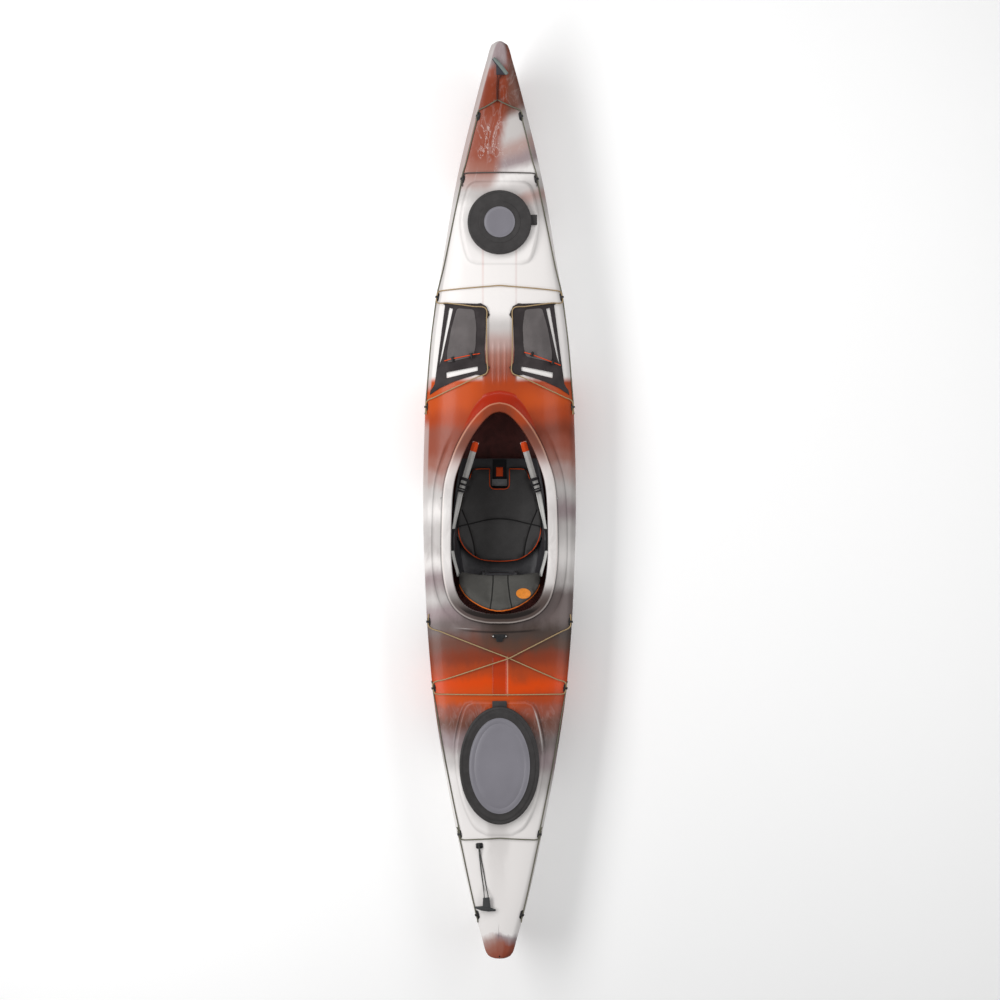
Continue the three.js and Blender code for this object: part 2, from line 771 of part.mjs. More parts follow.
function planPoints(pairs, side = 1) {
  return pairs.map(([x, y]) => new THREE.Vector2(side * x, y));
}

// Places on the deck

const beamShareStep = 0.01;

function deckFrame(side, y, beamShare) {
  // Directions at a place on the deck: x to starboard along it, y along the hull, z out of it.
  const at = (place, share) => {
    const [x, z] = deckPoint(place, share);
    return new THREE.Vector3(side * x, place, z);
  };
  const outer = Math.min(1, beamShare + beamShareStep);
  const across = at(y, outer).sub(at(y, outer - 2 * beamShareStep)).multiplyScalar(side);
  const along = at(y + frameStep, beamShare).sub(at(y - frameStep, beamShare)).normalize();
  const out = new THREE.Vector3().crossVectors(across, along).normalize();
  const right = new THREE.Vector3().crossVectors(along, out);
  return new THREE.Matrix4().makeBasis(right, along, out).setPosition(at(y, beamShare));
}

function overDeck(x, y, lift) {
  // A place over the deck, lifted along the deck's normal.
  const side = x < 0 ? -1 : 1;
  const beamShare = Math.abs(x) / deckPoint(y, 1)[0];
  return new THREE.Vector3(0, 0, lift).applyMatrix4(deckFrame(side, y, beamShare));
}

function overRun(from, to, steps, lift, lastLift = lift) {
  // Places over the deck on a straight line in plan, without its two ends.
  return Array.from({ length: steps }, (_, i) => {
    const share = (i + 1) / (steps + 1);
    const x = THREE.MathUtils.lerp(from[0], to[0], share);
    const y = THREE.MathUtils.lerp(from[1], to[1], share);
    return overDeck(x, y, THREE.MathUtils.lerp(lift, lastLift, share));
  });
}

const skin = solidOf(loft(outerStations.map((t) => sectionRing(t, 0)), flatXZ));

// The room inside the hull, less the gap that fitted pieces keep to its wall
const insideClear = solidOf(
  loft(innerStations.map((t) => sectionRing(t, hullWall + seatGap)), flatXZ),
);

function seatedOnDeck(solid, out) {
  // The solid cut off just above the deck, so that its foot follows the deck.
  return solid.subtract(skin.translate(out.clone().multiplyScalar(seatGap).toArray()));
}

// Hull

function fluteSolid(x) {
  // A low moulded rib along the spine of the foredeck.
  const low = new THREE.Vector2(x - fluteHalfWidth, fluteRearY);
  const high = new THREE.Vector2(x + fluteHalfWidth, fluteRearY + fluteLength);
  const top = (a, b) => {
    const sideShare = Math.abs(a - x) / fluteHalfWidth;
    const endShare = Math.abs(b - fluteRearY - fluteLength / 2) / (fluteLength / 2);
    return deckZ(a, b) - weldDepth + (fluteRise + weldDepth) * (1 - sideShare ** 2) * (1 - endShare ** 4);
  };
  return fieldSolid(low, high, 4, 6, top, (a, b) => deckZ(a, b) - 2 * weldDepth);
}

function recess(halfWidth, rearY, length, depth) {
  // What a shallow channel along the middle of the deck takes away.
  const low = new THREE.Vector2(-halfWidth, rearY);
  const high = new THREE.Vector2(halfWidth, rearY + length);
  return fieldSolid(low, high, 2, 4, (x, y) => deckZ(x, y) + cutOverrun, (x, y) => deckZ(x, y) - depth);
}

function sternPinHole() {
  const y = -hullLength / 2 + sternPinInset;
  const top = crownAt(shareOfY(y)) + cutOverrun;
  const pin = new THREE.CylinderGeometry(sternPinRadius, sternPinRadius, sternPinDepth + cutOverrun, 12);
  pin.rotateX(Math.PI / 2).translate(0, y, top - (sternPinDepth + cutOverrun) / 2);
  return solidOf(pin);
}

function hull() {
  const inside = solidOf(loft(innerStations.map((t) => sectionRing(t, hullWall)), flatXZ));
  let body = skin
    .add(platform(bowPlatformOutline, bowPlatformZ, 0))
    .add(platform(sternPlatformOutline, sternPlatformZ, 0));
  for (const x of [-fluteSpacing, 0, fluteSpacing]) body = body.add(fluteSolid(x));
  const hollow = inside
    .add(platform(bowPlatformOutline, bowPlatformZ, hullWall))
    .add(platform(sternPlatformOutline, sternPlatformZ, hullWall));
  const opening = movedOut(cockpitOutline, weldDepth);
  const cutter = solidOf(prism(opening, gunwaleAt(0.5) / 2, hullDepth + cutOverrun));
  const sternHalves = [sternHatchHalfWidth, sternHatchHalfLength];
  const shell = body
    .subtract(hollow)
    .subtract(cutter)
    .subtract(hatchHole(bowHatchRadius, bowHatchRadius, bowHatchY, bowPlatformZ))
    .subtract(hatchHole(...sternHalves, sternHatchY, sternPlatformZ))
    .subtract(recess(channelWide, channelRearY, channelLength, channelDeep))
    .subtract(recess(sternSlotHalfWidth, sternSlotRearY, sternSlotLength, sternSlotDepth))
    .subtract(sternPinHole())
    .add(coaming())
    .add(hatchCollar(bowHatchRadius, bowHatchRadius, bowHatchY, bowPlatformZ))
    .add(hatchCollar(...sternHalves, sternHatchY, sternPlatformZ));
  return geometryOf(shell);
}

function bulkhead(faceY, otherFaceY) {
  const from = shareOfY(Math.min(faceY, otherFaceY));
  const to = shareOfY(Math.max(faceY, otherFaceY));
  const stations = innerStations.filter((t) => t >= from && t <= to);
  return loft(stations.map((t) => sectionRing(t, hullWall + seatGap)), flatXZ);
}

// Hatch covers

function coverTab(x, y, platformZ, halfWidth, halfLength) {
  // A finger tab moulded to a cover's rim.
  const shape = roundedShape(halfWidth, halfLength, Math.min(halfWidth, halfLength) / 2, 3);
  return solidOf(extruded(shape, tabThickness).translate(x, y, platformZ + tabClear));
}

function hatchCover(halfWidth, halfLength, centreY, platformZ, panelInset, tab) {
  const foot = platformZ + seatGap;
  const under = platformZ + collarHeight + seatGap;
  const top = platformZ + coverHeight;
  const inner = collarInset - collarWall / 3 - seatGap;
  const oval = (profile) => ovalSolid(profile, halfWidth, halfLength, centreY);
  const outside = oval([
    [coverEdgeRadius / 4, foot], [0, foot + coverEdgeRadius / 4], [0, top - coverEdgeRadius],
    [coverEdgeRadius / 4, top - coverEdgeRadius / 4], [coverEdgeRadius, top],
  ]);
  const cavity = oval([[inner, foot - cutOverrun], [inner, under]]);
  const panelSeat = oval([[panelInset, top - panelThickness], [panelInset, top + cutOverrun]]);
  return geometryOf(outside.add(tab).subtract(cavity).subtract(panelSeat));
}

function hatchPanel(halfWidth, halfLength, centreY, platformZ, panelInset) {
  const inset = panelInset + seatGap;
  const low = platformZ + coverHeight - panelThickness + seatGap;
  const high = platformZ + coverHeight;
  const profile = [
    [inset, low], [inset, high - weldDepth / 2], [inset + weldDepth, high],
    [inset + coverEdgeRadius, high + weldDepth / 2],
  ];
  return geometryOf(ovalSolid(profile, halfWidth, halfLength, centreY));
}

// Seat pan

const panWidthShares = [[0, 0.84], [0.12, 0.94], [0.3, 1], [0.6, 0.97], [1, 0.82]];
const panSideShares = [[0, 0.3], [0.13, 0.5], [0.32, 1], [0.52, 0.9], [0.78, 0.34], [1, 0.24]];
const panFloorShares = [[0, 0.85], [0.1, 0.3], [0.25, 0], [0.6, 0.1], [0.85, 0.6], [1, 1]];
const panSectionShares = [
  [0, 0], [0.45, 0], [0.74, 0.03], [0.88, 0.14], [0.95, 0.42], [0.985, 0.8], [1, 1], [1.045, 1.02],
];
const panStations = 9;

function panMiddle(y) {
  // The middle of the pan's wall, from its port lip to its starboard lip.
  const share = (y - panRearY) / panLength;
  const halfWidth = panHalfWidth * smoothAt(panWidthShares, share);
  const side = panSideHeight * smoothAt(panSideShares, share);
  const floor = panFloorZ + panFloorRise * smoothAt(panFloorShares, share);
  const right = panSectionShares.map(([x, z]) => new THREE.Vector2(x * halfWidth, floor + z * side));
  const left = right.slice(1).map((p) => new THREE.Vector2(-p.x, p.y)).reverse();
  return [...left, ...right];
}

function movedUp(points, distance) {
  return points.map((p, i) => {
    const before = points[Math.max(0, i - 1)];
    const after = points[Math.min(points.length - 1, i + 1)];
    const along = new THREE.Vector2().subVectors(after, before).normalize();
    return new THREE.Vector2(p.x - along.y * distance, p.y + along.x * distance);
  });
}

function panSolid(topOf, bottomOf) {
  const rings = Array.from({ length: panStations + 1 }, (_, r) => {
    const y = panRearY + panLength * r / panStations;
    const middle = panMiddle(y);
    const ring = [...topOf(middle), ...bottomOf(middle).reverse()];
    return ring.map((p) => new THREE.Vector3(p.x, y, p.y));
  });
  return solidOf(loft(rings, flatXZ));
}

function panFloorAt(y) {
  // The floor's height on the straight facets between the pan's stations.
  const place = THREE.MathUtils.clamp((y - panRearY) / panLength, 0, 1) * panStations;
  const station = Math.min(panStations - 1, Math.floor(place));
  const at = (k) => panFloorZ + panFloorRise * smoothAt(panFloorShares, k / panStations);
  return THREE.MathUtils.lerp(at(station), at(station + 1), place - station);
}

function underCushion() {
  // Everything below the pan's upper side, with the gap that a cushion keeps to it.
  const deep = (middle) => [
    new THREE.Vector2(middle[0].x, -cutOverrun),
    new THREE.Vector2(middle[middle.length - 1].x, -cutOverrun),
  ];
  return panSolid((middle) => movedUp(middle, panWall / 2 + seatGap), deep);
}

const earX = hubHalfLength + seatGap;

function hingeEar(side) {
  // An upright with a round top that holds one of the backrest's trunnions.
  const shape = new THREE.Shape();
  shape.moveTo(-earHalfWidth, panFloorAt(backrestY));
  shape.lineTo(earHalfWidth, panFloorAt(backrestY));
  shape.absarc(0, backrestZ, hubRadius + panWall, 0, Math.PI, false);
  const bore = new THREE.Path();
  bore.absarc(0, backrestZ, trunnionRadius + seatGap, 0, 2 * Math.PI, true);
  shape.holes.push(bore);
  const plate = extruded(shape, earThickness, 5);
  const near = side > 0 ? earX : -earX - earThickness;
  // The profile's x becomes the boat's Y, its y becomes Z, and its depth becomes X.
  plate.rotateX(Math.PI / 2).rotateZ(Math.PI / 2).translate(near, backrestY, 0);
  return solidOf(plate);
}

function seatPan() {
  const shell = panSolid(
    (middle) => movedUp(middle, panWall / 2),
    (middle) => movedUp(middle, -panWall / 2),
  );
  const slotY = panRearY + slotFromRear + slotLength / 2;
  const slot = extruded(roundedShape(slotHalfWidth, slotLength / 2, slotLength / 3), hullDepth);
  const foot = hullWall + seatGap;
  const middleY = panRearY + panLength / 2;
  let pan = shell.subtract(solidOf(slot.translate(0, slotY, 0)));
  for (const side of [-1, 1]) {
    const size = [runnerWidth, runnerLength, panFloorZ - foot];
    pan = pan.add(hingeEar(side));
    pan = pan.add(block(size, [side * runnerX, middleY, (panFloorZ + foot) / 2]));
  }
  return geometryOf(pan);
}

// Seat cushion

const cushionShares = [
  [0, 0], [0.012, 0.35], [0.05, 0.6], [0.15, 0.86], [0.285, 0.99], [0.44, 1], [0.7, 0.89],
  [0.93, 0.71], [0.985, 0.64], [1, 0.52], [1, 0],
];
const sideChannelShares = [[0.553, 0.886], [0.394, 0.74], [0.185, 0.61], [-0.1, 0.55]];
const crossChannelShares = [[0.34, 1.1], [0.38, 0.967], [0.409, 0.69], [0.45, 0.3], [0.4615, 0]];
const cushionColumns = 22;
const cushionRows = 20;
const wingPower = 5;

function cushionLine(shares, side) {
  return shares.map(([along, across]) => new THREE.Vector2(
    side * across * cushionHalfWidth,
    cushionRearY + along * cushionLength,
  ));
}

const cushionOutline = wholeOutline(
  halfOutline(cushionShares, cushionLength, cushionRearY, cushionHalfWidth),
);
const cushionLines = [
  cushionLine(sideChannelShares, 1),
  cushionLine(sideChannelShares, -1),
  [...cushionLine(crossChannelShares, -1), ...cushionLine(crossChannelShares, 1).reverse().slice(1)],
];

function seatCushion() {
  const topAt = (x, y) => {
    const wing = cushionWing * Math.min(1, Math.abs(x / cushionHalfWidth)) ** wingPower;
    const full = crownShare(cushionOutline, x, y, cushionRollover);
    const height = cushionEdge + (cushionThickness - cushionEdge) * full;
    return panFloorAt(y) + height + wing - channelDepth * channelShare(cushionLines, x, y) * full;
  };
  const low = new THREE.Vector2(-cushionHalfWidth - seatGap, cushionRearY - seatGap);
  const high = new THREE.Vector2(cushionHalfWidth + seatGap, cushionRearY + cushionLength + seatGap);
  const body = fieldSolid(low, high, cushionColumns, cushionRows, topAt, () => 0);
  const outline = solidOf(prism(cushionOutline, -cutOverrun, hullDepth));
  const notch = block(
    [2 * notchHalfWidth, notchDepth + cutOverrun, 2 * hullDepth],
    [0, cushionRearY + cushionLength + (cutOverrun - notchDepth) / 2, 0],
  );
  return geometryOf(body.intersect(outline).subtract(notch).subtract(underCushion()));
}

// Leg-lift strap and buckle, in the cushion's notch

const notchRearY = cushionRearY + cushionLength - notchDepth;
const liftStrapFrontY = panRearY + panLength - panWall;
const liftStrapRows = 8;

function floorStrip(halfWidth, rearY, length, low, high) {
  // A flat strip that follows the pan's floor between two heights over it.
  const over = (y) => panFloorAt(y) + panWall / 2 + seatGap;
  return fieldSolid(
    new THREE.Vector2(-halfWidth, rearY),
    new THREE.Vector2(halfWidth, rearY + length),
    1,
    liftStrapRows,
    (x, y) => over(y) + high,
    (x, y) => over(y) + low,
  );
}

function liftStrap() {
  // The strap, with its thicker pull tab sewn over it.
  const rearY = notchRearY + seatGap;
  const tabRearY = rearY + liftBuckleLength + liftTabLength / 2;
  const strap = floorStrip(liftStrapHalfWidth, rearY, liftStrapFrontY - rearY, 0, liftStrapThickness);
  const tab = floorStrip(
    liftTabHalfWidth,
    tabRearY,
    liftTabLength,
    liftStrapThickness / 2,
    liftTabThickness,
  );
  return geometryOf(strap.add(tab));
}

function liftBuckle() {
  // A frame with two windows that bridges the strap and stands on the pan's floor.
  const halfWidth = notchHalfWidth - seatGap;
  const channelHalf = liftStrapHalfWidth + seatGap;
  const channelTop = liftStrapThickness + 2 * seatGap;
  const frame = block([2 * halfWidth, liftBuckleLength, liftBuckleThickness], [0, 0, liftBuckleThickness / 2]);
  const channel = block([2 * channelHalf, 2 * liftBuckleLength, 2 * channelTop], [0, 0, 0]);
  const windowLength = (liftBuckleLength - 3 * liftBuckleWall) / 2;
  let buckle = frame.subtract(channel);
  for (const side of [-1, 1]) {
    const y = side * (liftBuckleWall + windowLength) / 2;
    const size = [2 * channelHalf - liftBuckleWall, windowLength, 2 * cutOverrun];
    buckle = buckle.subtract(block(size, [0, y, 0]));
  }
  const rearY = notchRearY + liftBuckleWall;
  const rear = new THREE.Vector3(0, rearY, panFloorAt(rearY));
  const front = new THREE.Vector3(0, rearY + liftBuckleLength, panFloorAt(rearY + liftBuckleLength));
  const along = new THREE.Vector3().subVectors(front, rear);
  const middle = rear.add(front).divideScalar(2);
  const turned = geometryOf(buckle).rotateX(Math.atan2(along.z, along.y));
  return turned.translate(0, middle.y, middle.z + panWall / 2 + 2 * seatGap);
}

// Backrest, in its own directions: x across, y up its face, z backwards

const backrestShares = [
  [0, 0], [0, 0.6], [0.03, 0.93], [0.12, 1], [0.35, 0.985], [0.58, 0.87], [0.76, 0.68], [0.9, 0.44],
  [0.97, 0.22], [1, 0],
];
const backrestChannelShares = [[-0.1, 0.17], [0.5, 0.22], [1.1, 0.3]];
const backrestColumns = 16;
const backrestRows = 11;
const backrestFoot = hubRadius + panWall + 2 * seatGap; // clear of the ears' round tops
const backrestOutline = wholeOutline(
  halfOutline(backrestShares, backrestHeight, backrestFoot, backrestHalfWidth),
);
const backrestLines = [-1, 1].map((side) => backrestChannelShares.map(([along, across]) => (
  new THREE.Vector2(side * across * backrestHalfWidth, backrestFoot + along * backrestHeight)
)));
const backrestTurn = Math.PI / 2 + THREE.MathUtils.degToRad(backrestLeanDeg);

function backrestBend(x) {
  return -backrestWrap * (x / backrestHalfWidth) ** 2;
}

function backrestField(rows, topAt, bottomAt) {
  const low = new THREE.Vector2(-backrestHalfWidth - seatGap, backrestFoot - seatGap);
  const high = new THREE.Vector2(backrestHalfWidth + seatGap, backrestFoot + backrestHeight + seatGap);
  return fieldSolid(low, high, backrestColumns, rows, topAt, bottomAt);
}

function backrestCushion() {
  const faceAt = (x, y) => {
    const full = crownShare(backrestOutline, x, y, backrestRollover);
    const height = backrestEdge + (backrestThickness - backrestEdge) * full;
    return backrestBend(x) - height + channelDepth * channelShare(backrestLines, x, y) * full;
  };
  const body = backrestField(backrestRows, (x) => backrestBend(x) - seatGap, faceAt);
  const deep = 2 * backrestThickness + backrestWrap;
  return geometryOf(body.intersect(solidOf(prism(backrestOutline, -deep, deep))));
}

function backrestShell() {
  const plate = backrestField(1, (x) => backrestBend(x) + backrestShellWall, backrestBend);
  const smaller = movedOut(backrestOutline, -backrestInset);
  const deep = 2 * backrestThickness;
  const hub = new THREE.CylinderGeometry(hubRadius, hubRadius, 2 * hubHalfLength, 12);
  const trunnionLength = 2 * (earX + earThickness + trunnionOverhang);
  const trunnion = new THREE.CylinderGeometry(trunnionRadius, trunnionRadius, trunnionLength, 8);
  const arm = block(
    [2 * hubHalfLength - 4 * backrestInset, 2 * hubRadius + 2 * backrestInset, backrestShellWall],
    [0, hubRadius + backrestInset, backrestShellWall / 2],
  );
  const shell = plate.intersect(solidOf(prism(smaller, -deep, deep)))
    .add(arm)
    .add(solidOf(hub.rotateZ(Math.PI / 2)))
    .add(solidOf(trunnion.rotateZ(Math.PI / 2)));
  return geometryOf(shell);
}

// Side straps, given for starboard in the strap's own directions: y along it, z out of its face

function strapMatrix() {
  const low = new THREE.Vector3(...strapLowEnd);
  const along = new THREE.Vector3(...strapHighEnd).sub(low).normalize();
  const across = new THREE.Vector3().crossVectors(along, new THREE.Vector3(0, 0, 1)).normalize();
  const out = new THREE.Vector3().crossVectors(across, along);
  return new THREE.Matrix4().makeBasis(across, along, out).setPosition(low);
}

function strapLength() {
  return new THREE.Vector3(...strapHighEnd).distanceTo(new THREE.Vector3(...strapLowEnd));
}

function sideStrap() {
  const length = strapLength();
  const webbing = block([webbingWidth, length, webbingThickness], [0, length / 2, 0]);
  const tab = block([webbingWidth, pullTabLength, pullTabThickness], [0, length - pullTabLength / 2, 0]);
  return geometryOf(webbing.add(tab)).applyMatrix4(strapMatrix());
}

function strapBuckle() {
  // Two rails joined by three bars that the webbing weaves between.
  const railX = webbingWidth / 2 + bucklePlay + buckleRail / 2;
  const barZ = webbingThickness / 2 + seatGap + buckleBarThickness / 2;
  const middleY = buckleStart + buckleLength / 2;
  const barY = (buckleLength - buckleBar) / 2;
  let buckle = block([buckleRail, buckleLength, buckleHeight], [-railX, middleY, 0])
    .add(block([buckleRail, buckleLength, buckleHeight], [railX, middleY, 0]));
  for (const [y, side] of [[-barY, 1], [0, -1], [barY, 1]]) {
    const size = [2 * railX, buckleBar, buckleBarThickness];
    buckle = buckle.add(block(size, [0, middleY + y, side * barZ]));
  }
  return geometryOf(buckle).applyMatrix4(strapMatrix());
}

function ribbon(points, width, thickness, leansDeg) {
  // A strap along a line of points, its face leaning over by an angle at each.
  const rings = points.map((p, i) => {
    const before = points[Math.max(0, i - 1)];
    const after = points[Math.min(points.length - 1, i + 1)];
    const along = new THREE.Vector3().subVectors(after, before).normalize();
    const flat = new THREE.Vector3().crossVectors(along, new THREE.Vector3(0, 0, 1)).normalize();
    const across = flat.applyAxisAngle(along, THREE.MathUtils.degToRad(leansDeg[i]));
    const out = new THREE.Vector3().crossVectors(across, along);
    return [[-1, -1], [1, -1], [1, 1], [-1, 1]].map(([a, b]) => p.clone()
      .addScaledVector(across, a * width / 2)
      .addScaledVector(out, b * thickness / 2));
  });
  return loft(rings, flatXZ);
}

function backStrap() {
  const start = backStrapStart.map((along) => (
    new THREE.Vector3(0, along, -backStrapUnder).applyMatrix4(strapMatrix())
  ));
  const route = [...start, ...backStrapRoute.map((p) => new THREE.Vector3(...p))];
  const points = new THREE.CatmullRomCurve3(route, false, 'centripetal').getSpacedPoints(backStrapSpans);
  const [leanFrom, leanTo] = backStrapLeanShares;
  const leans = points.map((_, i) => {
    const share = (i / backStrapSpans - leanFrom) / (leanTo - leanFrom);
    return THREE.MathUtils.clamp(share, 0, 1) * backStrapLeanDeg;
  });
  return ribbon(points, backStrapWidth, backStrapThickness, leans);
}

// Foot braces, given for starboard in the rail's own directions: x outboard, y along it

function railMatrix() {
  const xAt = (y) => innerHalfWidth(y, railZ) - railPadReach - railThickness / 2;
  const rear = new THREE.Vector3(xAt(railMiddleY - railLength / 2), railMiddleY - railLength / 2, railZ);
  const front = new THREE.Vector3(xAt(railMiddleY + railLength / 2), railMiddleY + railLength / 2, railZ);
  const along = new THREE.Vector3().subVectors(front, rear).normalize();
  const up = new THREE.Vector3(0, 0, 1);
  const across = new THREE.Vector3().crossVectors(along, up);
  return new THREE.Matrix4().makeBasis(across, along, up).setPosition(rear.add(front).divideScalar(2));
}

function footRail() {
  // A flat bar with a rack of teeth along its top and a pad at each end against the hull.
  let rail = block([railThickness, railLength, railHeight], [0, 0, 0]);
  const count = Math.floor((railLength - 4 * railPadLength) / railToothPitch / 2);
  for (let i = -count; i <= count; i += 1) {
    const size = [2 * railThickness, railToothPitch / 3, 2 * railToothDepth];
    rail = rail.subtract(block(size, [0, i * railToothPitch, railHeight / 2]));
  }
  for (const side of [-1, 1]) {
    const size = [railPadReach + weldDepth + railPadOverrun, railPadLength, railHeight];
    const x = railThickness / 2 - weldDepth + size[0] / 2;
    rail = rail.add(block(size, [x, side * (railLength - railPadLength) / 2, 0]));
  }
  const inPlace = solidOf(geometryOf(rail).applyMatrix4(railMatrix()));
  return geometryOf(inPlace.intersect(insideClear));
}

function footPedal() {
  // A slider round the rail, with the plate that the foot presses.
  const playX = railThickness / 2 + pedalPlay;
  const playZ = railHeight / 2 + pedalPlay;
  const outer = [2 * (playX + pedalWall) - pedalWall / 2, pedalLength, 2 * (playZ + pedalWall)];
  const slider = block(outer, [-pedalWall / 4, 0, 0])
    .subtract(block([2 * playX, 2 * pedalLength, 2 * playZ], [0, 0, 0]));
  const shape = roundedShape(pedalPlateReach / 2, pedalPlateHeight / 2, pedalCorner, 3);
  const plateX = -playX - pedalWall + weldDepth - pedalPlateReach / 2;
  const plate = extruded(shape, pedalPlateThickness)
    .rotateX(Math.PI / 2)
    .translate(plateX, pedalPlateThickness / 2, pedalPlateLift);
  return geometryOf(slider.add(solidOf(plate))).applyMatrix4(railMatrix());
}

// Deck pockets

function pocketBump(x, y) {
  // How far the panel's cloth stands up over its flat frame.
  const outline = planPoints(pocketOutlinePoints);
  const inside = distanceToLine(outline, Math.abs(x), y, true) - pocketFlat;
  const share = THREE.MathUtils.clamp(inside / pocketSlope, 0, 1);
  return pocketRise * share * share * (3 - 2 * share);
}

function pocketTopZ(x, y) {
  return deckZ(x, y) + pocketLift + pocketThickness + pocketBump(x, y);
}

function deckPocket() {
  const outline = planPoints(pocketOutlinePoints);
  const xs = outline.map((p) => p.x);
  const ys = outline.map((p) => p.y);
  const low = new THREE.Vector2(Math.min(...xs) - seatGap, Math.min(...ys) - seatGap);
  const high = new THREE.Vector2(Math.max(...xs) + seatGap, Math.max(...ys) + seatGap);
  const under = (x, y) => pocketTopZ(x, y) - pocketThickness;
  const sheet = fieldSolid(low, high, pocketColumns, pocketRows, pocketTopZ, under);
  let pocket = sheet.intersect(solidOf(prism(outline, 0, 2 * hullDepth)));
  for (const gap of [pocketSideGap, pocketRearGap]) {
    pocket = pocket.subtract(solidOf(prism(planPoints(gap), 0, 2 * hullDepth)));
  }
  return geometryOf(pocket);
}

// Cords

class Route extends THREE.CatmullRomCurve3 {
  // Sampled at its own points, so that a cord's sections sit exactly there.
  getPointAt(u, target) {
    return this.getPoint(u, target);
  }

  getTangentAt(u, target) {
    return this.getTangent(u, target);
  }
}

function cordSolid(points, diameter) {
  const section = new THREE.Shape().absarc(0, 0, diameter / 2, 0, 2 * Math.PI, false);
  const extrudePath = new Route(points, false, 'centripetal');
  const steps = points.length - 1;
  return solidOf(new THREE.ExtrudeGeometry(section, { steps, extrudePath, curveSegments: cordQuarters }));
}

function knotted(points, ends) {
  // A deck cord with a knot at one or both of its ends.
  let cord = cordSolid(points, deckCordDiameter);
  for (const end of ends) {
    const knot = new THREE.OctahedronGeometry(knotRadius, 1).translate(...points.at(end).toArray());
    cord = cord.add(solidOf(knot));
  }
  return geometryOf(cord);
}

const cordQuarters = 4; // sections of a cord's half circle

// Deck fittings in pairs from the bow: share of the length, share of the half-beam
const fairleadShares = [
  [0.919, 0.76], [0.8515, 0.86], [0.7238, 0.975], [0.6037, 0.975],
  [0.3679, 0.975], [0.2948, 0.975], [0.1354, 0.93], [0.048, 0.9],
];
const laneOffset = (deckCordDiameter + cordPlay) / 2;
const passHalf = fairleadLength / 2 + knotRadius / 2;

function fairleadFrame(side, pair) {
  const [t, beamShare] = fairleadShares[pair];
  return deckFrame(side, yOfShare(t), beamShare);
}

function fairlead(side, pair) {
  // A foot with an arch across its middle; a slot through both leaves room for two cords.
  const frame = fairleadFrame(side, pair);
  const out = new THREE.Vector3().setFromMatrixColumn(frame, 2);
  const halfSlot = deckCordDiameter + cordPlay + cordPlay / 2;
  const slotHigh = deckCordDiameter / 2 + cordPlay;
  const top = cordLift + slotHigh + fairleadRoof;
  const footShape = roundedShape(fairleadWidth / 2, fairleadLength / 2, fairleadCorner);
  const foot = extruded(footShape, fairleadFoot + knotRadius).translate(0, 0, -knotRadius);
  const arch = roundedShape(fairleadWidth / 2, top, fairleadFoot);
  const archSolid = extruded(arch, fairleadArch).rotateX(Math.PI / 2);
  archSolid.translate(0, fairleadArch / 2, 0);
  const slotShape = roundedShape(halfSlot, slotHigh, slotHigh / 2);
  const slot = extruded(slotShape, 2 * fairleadLength).rotateX(Math.PI / 2);
  slot.translate(0, fairleadLength, cordLift);
  const whole = solidOf(foot.applyMatrix4(frame))
    .add(solidOf(archSolid.applyMatrix4(frame)))
    .subtract(solidOf(slot.applyMatrix4(frame)));
  return geometryOf(seatedOnDeck(whole, out));
}

function through(side, pair, lane, direction) {
  // Two places that carry a cord straight through a fairlead, forwards (1) or aft (-1).
  const frame = fairleadFrame(side, pair);
  return [-1, 1].map((end) => (
    new THREE.Vector3(side * lane * laneOffset, direction * end * passHalf, cordLift).applyMatrix4(frame)
  ));
}

function knotPlace(side, pair, lane, direction) {
  // Where the knot at a cord's end sits, beyond the fairlead.
  const frame = fairleadFrame(side, pair);
  const x = side * lane * (laneOffset + knotRadius / 2 + cordPlay / 2);
  const y = direction * (passHalf + 2 * knotRadius);
  return new THREE.Vector3(x, y, knotRadius + 2 * seatGap).applyMatrix4(frame);
}

function edgeRun(side, fromPair, toPair, fromLane, toLane, steps) {
  // Places along the edge of the deck between two fairleads.
  const [fromT, fromShare] = fairleadShares[fromPair];
  const [toT, toShare] = fairleadShares[toPair];
  return Array.from({ length: steps }, (_, i) => {
    const share = (i + 1) / (steps + 1);
    const y = yOfShare(THREE.MathUtils.lerp(fromT, toT, share));
    const frame = deckFrame(side, y, THREE.MathUtils.lerp(fromShare, toShare, share));
    const lane = THREE.MathUtils.lerp(fromLane, toLane, share);
    return new THREE.Vector3(side * lane * laneOffset, 0, cordRest).applyMatrix4(frame);
  });
}

const mirroredPoints = (points) => points.map((p) => new THREE.Vector3(-p.x, p.y, p.z)).reverse();

function frontLinePort() {
  // From the knot behind the fourth port fairlead to the bow.
  const route = [knotPlace(-1, 3, 1, -1), ...through(-1, 3, 1, 1)];
  for (const pair of [3, 2, 1]) {
    route.push(...edgeRun(-1, pair, pair - 1, 1, 1, 3));
    route.push(...through(-1, pair - 1, 1, 1));
  }
  return route;
}

function frontDeckLine() {
  const apex = overDeck(...bowApex, apexLift);
  const port = frontLinePort();
  const starboard = mirroredPoints(port);
  const exit = port.at(-1);
  const legs = (x) => [0.4, 0.8].map((share) => overDeck(
    THREE.MathUtils.lerp(x, apex.x, share),
    THREE.MathUtils.lerp(exit.y, apex.y, share),
    THREE.MathUtils.lerp(cordRest, apexLift, share ** 2),
  ));
  const route = [...port, ...legs(exit.x), apex, ...legs(-exit.x).reverse(), ...starboard];
  return knotted(route, [0, -1]);
}

function crossCord(pair, direction, middleY, steps) {
  // From a knot, through a port fairlead, across the deck and through its starboard fellow.
  const port = [knotPlace(-1, pair, -1, -direction), ...through(-1, pair, -1, direction)];
  const exit = port.at(-1);
  const bend = overDeck(exit.x + 2 * knotRadius, exit.y + direction * knotRadius / 2, cordRest + cordPlay);
  const half = overRun([bend.x, bend.y], [0, middleY], steps, cordBridge);
  return [...port, bend, ...half, overDeck(0, middleY, cordBridge)];
}

